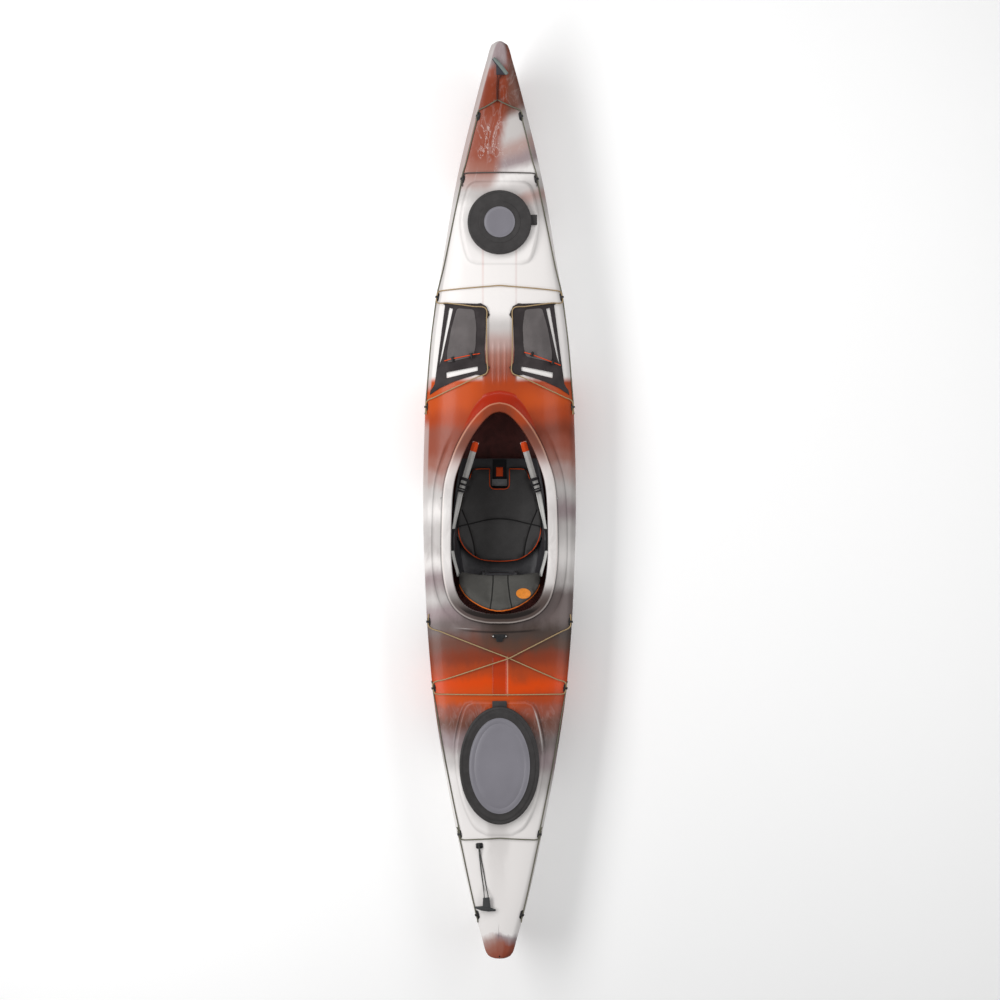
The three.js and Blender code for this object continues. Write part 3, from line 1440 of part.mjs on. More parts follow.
function foredeckBungee() {
  // Knot, inner side of the port pocket, third fairlead, across, and the same to starboard.
  const port = [knotPlace(-1, 3, -1, -1), ...through(-1, 3, -1, 1)];
  const exit = port.at(-1);
  const corner = bungeeRearCorner;
  port.push(...overRun([exit.x, exit.y], corner, 5, cordBridge, bungeeLift));
  for (const [x, y] of [corner, ...bungeeInnerPlaces, bungeeFrontCorner]) {
    port.push(overDeck(x, y, bungeeLift));
  }
  const entry = through(-1, 2, -1, 1);
  port.push(...overRun(bungeeFrontCorner, [entry[0].x, entry[0].y], 3, bungeeLift), ...entry);
  const out = entry[1];
  const bend = overDeck(out.x + 2 * knotRadius, out.y + knotRadius / 2, cordBridge + cordPlay);
  port.push(bend, ...overRun([bend.x, bend.y], [0, bungeeCrossY], 5, cordBridge));
  return knotted([...port, overDeck(0, bungeeCrossY, cordBridge), ...mirroredPoints(port)], [0, -1]);
}

function rearBungee() {
  // An X behind the cockpit whose ends are knotted at the fifth pair, and a cross run at the sixth.
  const leg = (side, lift) => {
    const start = [knotPlace(side, 4, -1, 1), ...through(side, 4, -1, -1)];
    const exit = start.at(-1);
    const entry = through(-side, 5, -1, -1);
    const crossing = overDeck(...rearCrossing, cordBridge + lift);
    const before = overRun([exit.x, exit.y], rearCrossing, 5, cordBridge, cordBridge + lift / 2);
    const after = overRun(rearCrossing, [entry[0].x, entry[0].y], 5, cordBridge + lift / 2, cordBridge);
    return [...start, ...before, crossing, ...after, ...entry];
  };
  const first = leg(-1, 0);
  const second = leg(1, deckCordDiameter + 2 * cordPlay);
  const from = first.at(-1);
  const to = second.at(-1);
  const bendAt = (end) => {
    const side = Math.sign(end.x);
    return overDeck(end.x - side * 2 * knotRadius, end.y - knotRadius / 2, cordBridge + cordPlay);
  };
  const bends = [bendAt(from), bendAt(to)];
  const across = overRun([bends[0].x, bends[0].y], [bends[1].x, bends[1].y], 9, cordBridge);
  return knotted([...first, bends[0], ...across, bends[1], ...second.reverse()], [0, -1]);
}

function rearDeckLine() {
  // Along the edge from the sixth pair to the seventh, and across between them.
  const port = [
    knotPlace(-1, 5, 1, 1), ...through(-1, 5, 1, -1),
    ...edgeRun(-1, 5, 6, 1, -1, 5),
    ...through(-1, 6, -1, -1),
  ];
  const exit = port.at(-1);
  const bend = overDeck(exit.x + 2 * knotRadius, exit.y - knotRadius / 2, cordRest + cordPlay);
  port.push(bend, ...overRun([bend.x, bend.y], [0, rearLineCrossY], 3, cordBridge));
  return knotted([...port, overDeck(0, rearLineCrossY, cordBridge), ...mirroredPoints(port)], [0, -1]);
}

function sternLine() {
  // On starboard, from the seventh fairlead to the eighth.
  const route = [
    knotPlace(1, 6, 1, 1), ...through(1, 6, 1, -1),
    ...edgeRun(1, 6, 7, 1, 1, 4),
    ...through(1, 7, 1, -1), knotPlace(1, 7, 1, -1),
  ];
  return knotted(route, [0, -1]);
}

// Shock cords and cord locks on the pockets

function lockAxis(places) {
  // The direction along the deck from the outer lock to the inner one.
  const [inner, outer] = places.map(([x, y]) => new THREE.Vector3(x, y, pocketTopZ(x, y)));
  return inner.sub(outer).normalize();
}

function lockMatrix(places, which) {
  const [x, y] = places[which];
  const along = lockAxis(places);
  const up = new THREE.Vector3(0, 0, 1);
  const across = new THREE.Vector3().crossVectors(along, up).normalize();
  const out = new THREE.Vector3().crossVectors(across, along);
  const centre = new THREE.Vector3(x, y, pocketTopZ(x, y)).addScaledVector(out, lockLift);
  return new THREE.Matrix4().makeBasis(across, along, out).setPosition(centre);
}

const lockLift = cordLockRadius + lockClear;

function cordLock(places, which) {
  // A barrel across the cord, with its button, and a bore that the cord passes.
  const barrel = new THREE.CylinderGeometry(cordLockRadius, cordLockRadius, cordLockLength, 10);
  const button = new THREE.CylinderGeometry(
    cordLockButtonRadius,
    cordLockButtonRadius,
    cordLockLength / 2 + cordLockButton,
    8,
  );
  const boreRadius = shockCordDiameter / 2 + cordLockPlay;
  const bore = new THREE.CylinderGeometry(boreRadius, boreRadius, 4 * cordLockRadius, 8);
  barrel.rotateZ(Math.PI / 2);
  button.rotateZ(Math.PI / 2).translate((cordLockLength / 2 + cordLockButton) / 2, 0, 0);
  const lock = solidOf(barrel).add(solidOf(button)).subtract(solidOf(bore));
  return geometryOf(lock).applyMatrix4(lockMatrix(places, which));
}

function shockCord(places) {
  // Through both locks, resting on the pocket between them and beyond them.
  const reach = 2 * cordLockRadius;
  const spots = (which, ends) => ends.map((end) => (
    new THREE.Vector3(0, end * reach, 0).applyMatrix4(lockMatrix(places, which))
  ));
  const outer = spots(1, [-1, 1]);
  const inner = spots(0, [-1, 1]);
  const rest = (from, to, steps) => Array.from({ length: steps }, (_, i) => {
    const share = (i + 1) / (steps + 1);
    const x = THREE.MathUtils.lerp(from.x, to.x, share);
    const y = THREE.MathUtils.lerp(from.y, to.y, share);
    return new THREE.Vector3(x, y, pocketTopZ(x, y) + shockCordDiameter / 2 + shockCordClear);
  });
  const axis = lockAxis(places).multiplyScalar(shockCordTail);
  const ends = [outer[0].clone().sub(axis), inner[1].clone().add(axis)];
  const route = [
    ...rest(ends[0], outer[0], 2), ...outer, ...rest(outer[1], inner[0], 4), ...inner,
    ...rest(inner[1], ends[1], 2),
  ];
  return geometryOf(cordSolid(route, shockCordDiameter));
}

// Carry toggles

function toggleHeight(place, end) {
  // High enough for the bar to clear the deck along its whole length.
  const [x, y] = place;
  const far = [2 * x - end[0], 2 * y - end[1]];
  return Math.max(...[place, end, far].map(([a, b]) => deckZ(a, b))) + toggleRadius + weldDepth;
}

function toggleBar(place, end, endShare, neckOutline, strandX, direction) {
  // A rounded bar with a flat neck that holds both ends of its cord.
  const z = toggleHeight(place, end);
  const half = toggleLength / 2;
  const radius = toggleRadius;
  const profile = [
    [0, -half], [radius * endShare * 0.6, -half], [radius * endShare, 1 - half], [radius, -half / 3],
    [radius, half / 3], [radius * endShare, half - 1], [radius * endShare * 0.6, half], [0, half],
  ].map(([x, y]) => new THREE.Vector2(x, y));
  const bar = new THREE.LatheGeometry(profile, 12);
  bar.rotateZ(Math.atan2(end[1] - place[1], end[0] - place[0]) - Math.PI / 2);
  bar.translate(place[0], place[1], z);
  let toggle = solidOf(bar)
    .add(solidOf(prism(planPoints(neckOutline), z - toggleThickness / 2, z + toggleThickness / 2)));
  for (const x of strandX) {
    const bore = new THREE.CylinderGeometry(boreRadiusOfToggle, boreRadiusOfToggle, 2 * toggleBore, 8);
    bore.translate(x, neckMouthY(neckOutline, direction), z);
    toggle = toggle.subtract(solidOf(bore));
  }
  return geometryOf(toggle);
}

const boreRadiusOfToggle = toggleCordDiameter / 2 + cordPlay;

function neckMouthY(outline, direction) {
  const ys = outline.map(([, y]) => y);
  return direction > 0 ? Math.max(...ys) : Math.min(...ys);
}

function bowToggleCord() {
  // From the neck over the front line's apex, round it and back under it.
  const z = toggleHeight(bowTogglePlace, bowToggleEnd);
  const mouth = neckMouthY(bowNeckOutline, -1);
  const inNeck = (x) => new THREE.Vector3(x, mouth + toggleBore - 2, z);
  const outNeck = (x) => new THREE.Vector3(x, mouth - toggleCordDiameter, z);
  const [x, y] = bowApex;
  const turn = deckCordDiameter + toggleCordDiameter;
  const rise = (deckCordDiameter + toggleCordDiameter) / 2 + cordPlay;
  const half = toggleCordDiameter / 4;
  const lanes = bowStrandX.map((strand) => [strand, THREE.MathUtils.lerp(x, strand, 0.4)]);
  return geometryOf(cordSolid([
    inNeck(lanes[0][0]), outNeck(lanes[0][0]),
    overDeck(lanes[0][1] - half, y + 10 * turn, apexLift), overDeck(x - 2 * half, y + 2 * turn, apexLift + rise / 2),
    overDeck(x - half, y + turn / 3, apexLift + rise), overDeck(x - half / 2, y - turn / 2, apexLift + rise * 0.8),
    overDeck(x, y - turn * 0.8, apexLift), overDeck(x + half / 2, y - turn / 2, apexLift - rise * 0.8),
    overDeck(x + half, y + turn / 3, apexLift - rise), overDeck(x + 2 * half, y + 2 * turn, apexLift - rise),
    overDeck(lanes[1][1] + half, y + 10 * turn, cordRest), outNeck(lanes[1][0]), inNeck(lanes[1][0]),
  ], toggleCordDiameter));
}

function sternPadeyePiece() {
  // A plate with a half ring that stands across the deck.
  const [x, y] = sternPadeye;
  const frame = deckFrame(-1, y, Math.abs(x) / deckPoint(y, 1)[0]);
  const out = new THREE.Vector3().setFromMatrixColumn(frame, 2);
  const shape = roundedShape(padeyeHalfWidth, padeyeHalfLength, padeyeHalfLength / 3);
  const foot = extruded(shape, padeyeFoot + knotRadius).translate(0, 0, -knotRadius);
  const ring = new THREE.TorusGeometry(padeyeRadius, padeyeTube / 2, 6, 14);
  ring.rotateX(Math.PI / 2).translate(0, 0, padeyeFoot);
  const whole = solidOf(foot.applyMatrix4(frame)).add(
    solidOf(ring.applyMatrix4(frame)).subtract(skin),
  );
  return geometryOf(seatedOnDeck(whole, out));
}

function sternToggleCord() {
  // From the neck, through the padeye's ring from behind, over the ring and back.
  const z = toggleHeight(sternTogglePlace, sternToggleEnd);
  const mouth = neckMouthY(sternNeckOutline, 1);
  const inNeck = (x) => new THREE.Vector3(x, mouth - toggleBore + 2, z);
  const outNeck = (x) => new THREE.Vector3(x, mouth + toggleCordDiameter, z);
  const [x, y] = sternPadeye;
  const low = padeyeFoot + padeyeRadius / 2;
  const top = padeyeFoot + padeyeRadius + padeyeTube / 2 + toggleCordDiameter / 2 + cordPlay;
  const turn = padeyeTube / 2 + toggleCordDiameter / 2 + cordPlay;
  const side = toggleCordDiameter / 2 + cordPlay;
  const run = (xs, offset, lift) => sternStrandPlaces.map(([strandX, strandY], i) => (
    overDeck(strandX + xs[i], strandY, lift)
  )).slice(offset);
  const first = run(sternStrandSpread.map((s) => -s), 0, cordRest);
  const second = run(sternStrandSpread, 0, cordRest);
  return geometryOf(cordSolid([
    inNeck(sternStrandX[0]), outNeck(sternStrandX[0]),
    ...first,
    overDeck(x - side / 2, y - 4 * turn, low), overDeck(x - side / 2, y - turn, low),
    overDeck(x - side / 2, y + turn, low), overDeck(x - side / 4, y + 1.6 * turn, (low + top) / 2),
    overDeck(x, y + turn / 2, top), overDeck(x + side / 2, y - turn, top),
    overDeck(x + side, y - 3 * turn, (low + top) / 2),
    ...second.reverse(),
    outNeck(sternStrandX[1]), inNeck(sternStrandX[1]),
  ], toggleCordDiameter));
}

function deckBracket() {
  // A plate across the deck with a tab towards the stern and two screw heads.
  const frame = deckFrame(1, bracketY, 0);
  const plate = roundedShape(bracketHalfWidth, bracketHalfLength, bracketHalfLength / 2);
  const tab = roundedShape(bracketTabHalfWidth, bracketTabLength / 2, bracketHalfLength / 2);
  const deep = (shape, y) => solidOf(extruded(shape, bracketThickness + knotRadius)
    .translate(0, y, -knotRadius)
    .applyMatrix4(frame));
  let bracket = deep(plate, 0).add(deep(tab, -bracketTabLength / 2));
  for (const side of [-1, 1]) {
    const height = screwRise + weldDepth;
    const screw = new THREE.CylinderGeometry(screwRadius / 2, screwRadius, height, 8);
    screw.rotateX(Math.PI / 2).translate(side * screwX, 0, bracketThickness + height / 2 - weldDepth);
    bracket = bracket.add(solidOf(screw.applyMatrix4(frame)));
  }
  return geometryOf(seatedOnDeck(bracket, new THREE.Vector3(0, 0, 1)));
}

// Materials

const plain = (color, roughness, metalness = 0) => (
  new THREE.MeshStandardMaterial({ color, roughness, metalness })
);
const materials = {
  hull: plain(0xd9d2cd, 0.42),
  foam: plain(0x3a3a3c, 0.9),
  rubber: plain(0x3d3b3a, 0.62),
  panel: plain(0x84838a, 0.5),
  shellPlastic: plain(0x1e1d1e, 0.55),
  cushion: plain(0x3b3b3a, 0.9),
  webbing: plain(0xc9c8c6, 0.85),
  tab: plain(0xe8541c, 0.7),
  buckle: plain(0x2a2a2c, 0.5),
  pocket: plain(0x27272a, 0.9),
  shockCord: plain(0xf06a20, 0.8),
  cord: plain(0x8b8f6a, 0.85),
  bungee: plain(0xb7b09a, 0.85),
  fitting: plain(0x232426, 0.5),
  toggle: plain(0x2b2e2d, 0.6),
  toggleCord: plain(0x3a1c1a, 0.8),
};

// Assembly

const kayak = new THREE.Group();

function place(name, geometry, material) {
  const mesh = new THREE.Mesh(geometry, material);
  mesh.name = name;
  kayak.add(mesh);
  return mesh;
}

function placePair(name, geometry, material) {
  // The starboard piece and its port twin.
  place(`right_${name}`, geometry, material);
  place(`left_${name}`, mirroredGeometry(geometry), material);
}

const sternHatch = [sternHatchHalfWidth, sternHatchHalfLength, sternHatchY, sternPlatformZ];
const bowHatch = [bowHatchRadius, bowHatchRadius, bowHatchY, bowPlatformZ];
const bowPanelInset = bowHatchRadius - bowPanelRadius;
const sternPanelInset = sternHatchHalfWidth - sternPanelHalfWidth;
const bowTab = coverTab(bowHatchRadius, bowHatchY + bowTabOffset, bowPlatformZ, tabLength, tabHalfWidth);
const sternTabY = sternHatchY + sternHatchHalfLength;
const sternTab = coverTab(0, sternTabY, sternPlatformZ, sternTabHalfWidth, tabLength);

place('hull', hull(), materials.hull);
place('bow_bulkhead', bulkhead(bowBulkheadY, bowBulkheadY + bulkheadThickness), materials.foam);
place('stern_bulkhead', bulkhead(sternBulkheadY, sternBulkheadY - bulkheadThickness), materials.foam);
place('bow_hatch_cover', hatchCover(...bowHatch, bowPanelInset, bowTab), materials.rubber);
place('bow_hatch_panel', hatchPanel(...bowHatch, bowPanelInset), materials.panel);
place('stern_hatch_cover', hatchCover(...sternHatch, sternPanelInset, sternTab), materials.rubber);
place('stern_hatch_panel', hatchPanel(...sternHatch, sternPanelInset), materials.panel);
place('seat_pan', seatPan(), materials.shellPlastic);
place('seat_cushion', seatCushion(), materials.cushion);
place('leg_lift_strap', liftStrap(), materials.tab);
place('leg_lift_buckle', liftBuckle(), materials.buckle);
for (const [name, geometry, material] of [
  ['backrest_shell', backrestShell(), materials.shellPlastic],
  ['backrest_cushion', backrestCushion(), materials.cushion],
]) {
  const leaning = geometry.rotateX(backrestTurn).translate(0, backrestY, backrestZ);
  place(name, leaning, material);
}
placePair('side_strap', sideStrap(), materials.webbing);
placePair('strap_buckle', strapBuckle(), materials.buckle);
placePair('back_strap', backStrap(), materials.webbing);
placePair('foot_rail', footRail(), materials.shellPlastic);
placePair('foot_pedal', footPedal(), materials.shellPlastic);
placePair('deck_pocket', deckPocket(), materials.pocket);
for (const [side, places] of [['left', leftLockPlaces], ['right', rightLockPlaces]]) {
  place(`${side}_shock_cord`, shockCord(places), materials.shockCord);
  place(`${side}_inner_cord_lock`, cordLock(places, 0), materials.fitting);
  place(`${side}_outer_cord_lock`, cordLock(places, 1), materials.fitting);
}
place('front_deck_line', frontDeckLine(), materials.cord);
const frontCross = crossCord(1, 1, frontCrossY, 3);
const wholeFrontCross = [...frontCross, ...mirroredPoints(frontCross.slice(0, -1))];
place('front_cross_cord', knotted(wholeFrontCross, [0, -1]), materials.cord);
place('foredeck_bungee', foredeckBungee(), materials.bungee);
place('rear_bungee', rearBungee(), materials.bungee);
place('rear_deck_line', rearDeckLine(), materials.cord);
placePair('stern_line', sternLine(), materials.cord);
for (let pair = 0; pair < fairleadShares.length; pair += 1) {
  place(`left_fairlead_${pair + 1}`, fairlead(-1, pair), materials.fitting);
  place(`right_fairlead_${pair + 1}`, fairlead(1, pair), materials.fitting);
}
const bowEndShare = 0.75;
const sternEndShare = 0.4;
place(
  'bow_toggle',
  toggleBar(bowTogglePlace, bowToggleEnd, bowEndShare, bowNeckOutline, bowStrandX, -1),
  materials.toggle,
);
place('bow_toggle_cord', bowToggleCord(), materials.toggleCord);
place(
  'stern_toggle',
  toggleBar(sternTogglePlace, sternToggleEnd, sternEndShare, sternNeckOutline, sternStrandX, 1),
  materials.toggle,
);
place('stern_toggle_cord', sternToggleCord(), materials.toggleCord);
place('stern_padeye', sternPadeyePiece(), materials.fitting);
place('deck_bracket', deckBracket(), materials.fitting);

export default kayak;
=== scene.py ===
"""A sit-in sea kayak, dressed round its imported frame: hull, hatches, seat, pockets and deck lines."""

import math
from contextlib import contextmanager

import bpy
import numpy as np
from mathutils import Matrix, Vector
from mathutils.bvhtree import BVHTree
from mathutils.geometry import delaunay_2d_cdt


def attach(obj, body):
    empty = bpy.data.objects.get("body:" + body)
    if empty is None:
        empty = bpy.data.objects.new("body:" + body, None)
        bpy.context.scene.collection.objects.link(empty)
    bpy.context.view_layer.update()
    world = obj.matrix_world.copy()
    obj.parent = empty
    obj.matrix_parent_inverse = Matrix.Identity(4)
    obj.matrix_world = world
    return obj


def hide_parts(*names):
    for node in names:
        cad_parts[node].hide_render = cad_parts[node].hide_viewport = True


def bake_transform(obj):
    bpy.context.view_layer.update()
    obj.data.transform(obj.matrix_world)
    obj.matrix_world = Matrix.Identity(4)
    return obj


bl_info = {
    "name": "Sea Kayak",
    "version": (1, 0, 0),
    "blender": (4, 5, 0),
    "location": "View3D > Sidebar > Kayak",
    "description": "Builds a moulded sea kayak with its hatches, seat, deck pockets and deck lines",
    "category": "Add Mesh",
}

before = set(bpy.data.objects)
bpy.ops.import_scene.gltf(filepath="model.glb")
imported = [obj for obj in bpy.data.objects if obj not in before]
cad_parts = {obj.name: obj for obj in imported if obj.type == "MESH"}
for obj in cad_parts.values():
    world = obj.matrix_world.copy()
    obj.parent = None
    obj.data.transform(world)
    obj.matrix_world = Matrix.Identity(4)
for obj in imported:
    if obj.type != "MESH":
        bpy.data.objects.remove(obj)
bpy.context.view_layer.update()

# The hull's form, in metres and as shares, as the part's source has it
HULL_LENGTH = 3.89
HULL_BEAM = 0.655
HULL_DEPTH = 0.39
BEAM_SHARES = [
    (0, 0.1), (0.0066, 0.173), (0.0197, 0.22), (0.0633, 0.367), (0.1288, 0.54), (0.2162, 0.74),
    (0.3035, 0.887), (0.39, 0.962), (0.5, 1), (0.587, 0.978), (0.675, 0.905), (0.762, 0.742),
    (0.849, 0.56), (0.9367, 0.307), (0.98, 0.165), (0.9956, 0.107), (1, 0.05),
]
KEEL_SHARES = [
    (0, 0.5), (0.008, 0.34), (0.025, 0.2), (0.06, 0.085), (0.12, 0.025), (0.2, 0.004), (0.3, 0),
    (0.7, 0), (0.8, 0.006), (0.88, 0.035), (0.94, 0.11), (0.975, 0.25), (0.993, 0.46), (1, 0.66),
]
GUNWALE_SHARES = [
    (0, 0.7), (0.1, 0.64), (0.25, 0.59), (0.42, 0.565), (0.6, 0.585), (0.75, 0.65), (0.9, 0.75), (1, 0.83),
]
CROWN_SHARES = [
    (0, 0.735), (0.03, 0.74), (0.12, 0.705), (0.25, 0.7), (0.36, 0.7), (0.46, 0.74), (0.6, 0.865),
    (0.72, 0.835), (0.85, 0.815), (0.95, 0.845), (1, 0.87),
]
FULLNESS_SHARES = [(0, 0), (0.08, 0.15), (0.3, 1), (0.7, 1), (0.9, 0.2), (1, 0)]
MIDDLE_BOTTOM_SHARES = [
    (0, 0), (0.3, 0), (0.6, 0.06), (0.78, 0.16), (0.89, 0.34), (0.95, 0.6), (0.99, 0.86), (1, 1),
]
END_BOTTOM_SHARES = [
    (0, 0), (0.12, 0), (0.36, 0.17), (0.54, 0.34), (0.7, 0.53), (0.84, 0.74), (0.96, 0.92), (1, 1),
]
DECK_SHARES = [(0.952, 0.2), (0.84, 0.46), (0.66, 0.7), (0.45, 0.86), (0.22, 0.97), (0, 1)]
# Steps that each stretch of the section is divided into, keel to gunwale and gunwale to crown
BOTTOM_STEPS = (2, 2, 2, 2, 2, 2, 2)
DECK_STEPS = (3, 5, 8, 9, 14, 24)
INSIDE_DECK_STEPS = (1, 2, 3, 4, 5, 6)

COCKPIT_SHARES = [
    (0, 0), (0.004, 0.3), (0.03, 0.64), (0.092, 0.864), (0.213, 0.976), (0.375, 1), (0.619, 0.952),
    (0.76, 0.79), (0.862, 0.597), (0.943, 0.364), (0.988, 0.16), (1, 0),
]
COCKPIT_LENGTH = 0.855
COCKPIT_HALF_WIDTH = 0.206
COCKPIT_REAR = -0.478
RIM_SHARES = [(0, 0.304), (0.45, 0.322), (1, 0.386)]
RIM_THICKNESS = 0.007
RIM_LIP = 0.008
NECK_WALL = 0.007

BOW_HATCH = {"y": 1.178, "halves": (0.135, 0.135)}
STERN_HATCH = {"y": -1.121, "halves": (0.17, 0.25)}
BOW_PLATFORM = {
    "shares": [(0, 0.6), (0.06, 0.82), (0.35, 0.98), (0.6, 1), (0.93, 0.83), (1, 0.66)],
    "rear": 1.012, "length": 0.335, "half_width": 0.158,
}
STERN_PLATFORM = {
    "shares": [(0, 0.3), (0.06, 0.58), (0.25, 0.84), (0.5, 0.99), (0.7, 1), (0.95, 0.82), (1, 0.62)],
    "rear": -1.412, "length": 0.556, "half_width": 0.182,
}
PLATFORM_RISE = 0.005
COLLAR_INSET = 0.027
COLLAR_WALL = 0.007
COLLAR_HEIGHT = 0.016
COVER_HEIGHT = 0.027

CUSHION_REAR = -0.268
CUSHION_LENGTH = 0.416
CUSHION_HALF_WIDTH = 0.184
CUSHION_SHARES = [
    (0, 0), (0.012, 0.35), (0.05, 0.6), (0.15, 0.86), (0.285, 0.99), (0.44, 1), (0.7, 0.89),
    (0.93, 0.71), (0.985, 0.64), (1, 0.52), (1, 0.2),
]
NOTCH_HALF_WIDTH = 0.037
NOTCH_DEPTH = 0.088
SIDE_SEAM_SHARES = [(0.553, 0.886), (0.394, 0.74), (0.185, 0.61), (-0.1, 0.55)]
CROSS_SEAM_SHARES = [(0.34, 1.1), (0.38, 0.967), (0.409, 0.69), (0.45, 0.3), (0.4615, 0)]

BACKREST_HALF_WIDTH = 0.176
BACKREST_REACH = 0.4714
PIPING_HALF_WIDTH = 0.171

STRAP_LOW = Vector((0.166, 0.042, 0.178))
STRAP_HIGH = Vector((0.100, 0.252, 0.310))
WEBBING_WIDTH = 0.027
BACK_STRAP_ROUTE = [
    (0.179, -0.020, 0.179), (0.188, -0.064, 0.1855), (0.197, -0.112, 0.192), (0.203, -0.142, 0.1954),
    (0.2045, -0.175, 0.196), (0.203, -0.206, 0.1945), (0.195, -0.250, 0.189), (0.185, -0.288, 0.183),
    (0.1787, -0.312, 0.181), (0.1764, -0.3224, 0.1812),
]

POCKET_OUTLINE = [
    (0.243, 0.843), (0.096, 0.836), (0.080, 0.838), (0.056, 0.824), (0.041, 0.788), (0.056, 0.766),
    (0.060, 0.700), (0.064, 0.640), (0.060, 0.584), (0.041, 0.566), (0.060, 0.531), (0.080, 0.532),
    (0.100, 0.535), (0.190, 0.508), (0.255, 0.480), (0.298, 0.454), (0.294, 0.474), (0.283, 0.487),
    (0.276, 0.500), (0.232, 0.832),
]
POCKET_SIDE_GAP = [(0.214, 0.822), (0.198, 0.816), (0.244, 0.612), (0.260, 0.566)]
POCKET_REAR_GAP = [(0.228, 0.546), (0.092, 0.570), (0.092, 0.552), (0.226, 0.522)]
POCKET_PANEL = [
    (0.180, 0.818), (0.108, 0.811), (0.098, 0.740), (0.102, 0.650), (0.112, 0.612), (0.150, 0.603),
    (0.222, 0.588), (0.222, 0.632), (0.205, 0.730),
]
POCKET_LIFT = 0.003
POCKET_RISE = 0.013
POCKET_FLAT = 0.032
POCKET_SLOPE = 0.05
POCKET_LOCK = (0.131, 0.618)
POCKET_PRESS = 0.0028

# How far the coaming's foot runs out over the deck, behind and in front
FOOT_REACHES = (0.014, 0.084)
# Small forms of the deck: the raised spine ahead of the cockpit and the shallow fold round it
SPINE_EDGES = (0.078, 0.058)
SPINE_RISE = 0.003
FOLD_DEPTH = 0.0045
FOLD_EDGES = (0.090, 0.074)
FOLD_END = (0.32, 0.2)
# Plumb ends, in the hull's outer skin only, and where its stations stand close together
END_ROUND = 0.014
END_PINCH = 0.42
CLOSE_UPS = ((-1.43, -1.38), (-1.30, -0.62), (-0.58, -0.45), (0.44, 0.88), (1.0, 1.36))

# Seams, plate, badge and bolts, as places on the plan
LIFT_PLATE_ENDS = (0.069, 0.093)
BACKREST_SEAMS = (
    [(-0.0278, -0.31), (-0.0278, -0.345), (-0.033, -0.41), (-0.043, -0.475)],
    [(0.036, -0.31), (0.036, -0.345), (0.044, -0.41), (0.0577, -0.475)],
)
BADGE_MIDDLE = (0.101928, -0.3928475)
BADGE_HALVES = (0.031, 0.021)
SEAT_BOLTS = [(0.248, 0.013), (0.248, -0.140), (0.248, -0.191)]
BRACKET_SCREW = (0.0275, -0.573)
# The three bars of a side buckle, as (place along the boat, length, height over the strap)
BUCKLE_BARS = [(0.0975, 0.0135, 0.0047), (0.0748, 0.0085, 0.0040), (0.0466, 0.0085, 0.0040)]

# The photograph's camera, and the lights as (place, size, power in watts)
CAMERA_PLACE = (0.002, 0.006, 8.25)
CAMERA_LENS = 67.5
LIGHTS = [
    ((-2.6, 0.4, 2.9), (5.6, 1.3), 118), ((2.6, 0.4, 2.9), (5.6, 1.3), 46), ((0, 3.9, 3.4), (3.2, 1.0), 30),
]
LIGHTS_AIM = Vector((0, 0.2, 0.3))
# How bright the white surroundings are as light; to the camera they are full white
AIR_LIGHT = 0.38

# Every node that is not named here belongs to the boat
NODE_BODIES = {"backrest_shell": "backrest", "backrest_cushion": "backrest"}
for end in ("bow", "stern"):
    for kind, body in (
        ("hatch_cover", "cover"), ("hatch_panel", "cover"), ("toggle", "handle"), ("toggle_cord", "handle"),
    ):
        NODE_BODIES[f"{end}_{kind}"] = f"{end}_{body}"
for side in ("left", "right"):
    for kind, body in (
        ("inner_cord_lock", "inner_lock"), ("outer_cord_lock", "outer_lock"), ("foot_pedal", "pedal"),
    ):
        NODE_BODIES[f"{side}_{kind}"] = f"{side}_{body}"


# Numbers and curves


def smooth_at(shares, t):
    """Cubic curve through the pairs, level at its ends and without overshoot between them."""
    last = len(shares) - 1
    i = 0
    while i < last - 1 and t > shares[i + 1][0]:
        i += 1

    def slope(k):
        if k <= 0 or k >= last:
            return 0
        before = (shares[k][1] - shares[k - 1][1]) / (shares[k][0] - shares[k - 1][0])
        after = (shares[k + 1][1] - shares[k][1]) / (shares[k + 1][0] - shares[k][0])
        return 0 if before * after <= 0 else 2 * before * after / (before + after)

    (x0, y0), (x1, y1) = shares[i], shares[i + 1]
    width = x1 - x0
    straight = (y1 - y0) / width
    start = 1.5 * straight - 0.5 * slope(1) if i == 0 else slope(i)
    end = 1.5 * straight - 0.5 * slope(last - 1) if i + 1 == last else slope(i + 1)
    u = min(1, max(0, (t - x0) / width))
    rise = u * u * (3 - 2 * u)
    return (
        (1 - rise) * y0 + rise * y1
        + u * (1 - u) ** 2 * start * width + u * u * (u - 1) * end * width
    )


def mixed(a, b, share):
    return a + (b - a) * share


def eased(value, low, high):
    """0 below low, 1 above high and smooth between; low may be the larger one."""
    share = np.clip((value - low) / (high - low), 0, 1)
    return share * share * (3 - 2 * share)


def through(points, steps, power=0.5):
    """A smooth line through the points, with so many steps between each two, or a list of counts."""
    pts = [Vector(p) for p in points]
    counts = steps if hasattr(steps, "__len__") else [steps] * (len(pts) - 1)
    before = pts[0] * 2 - pts[1]
    after = pts[-1] * 2 - pts[-2]
    padded = [before, *pts, after]
    line = []
    for i, count in enumerate(counts):
        p0, p1, p2, p3 = padded[i:i + 4]
        d0, d1, d2 = (max(1e-6, (b - a).length) ** power for a, b in ((p0, p1), (p1, p2), (p2, p3)))
        m1 = ((p1 - p0) / d0 - (p2 - p0) / (d0 + d1) + (p2 - p1) / d1) * d1
        m2 = ((p2 - p1) / d1 - (p3 - p1) / (d1 + d2) + (p3 - p2) / d2) * d1
        for k in range(count):
            u = k / count
            rise = u * u * (3 - 2 * u)
            line.append(p1 * (1 - rise) + p2 * rise + m1 * (u * (1 - u) ** 2) + m2 * (u * u * (u - 1)))
    line.append(pts[-1])
    return line


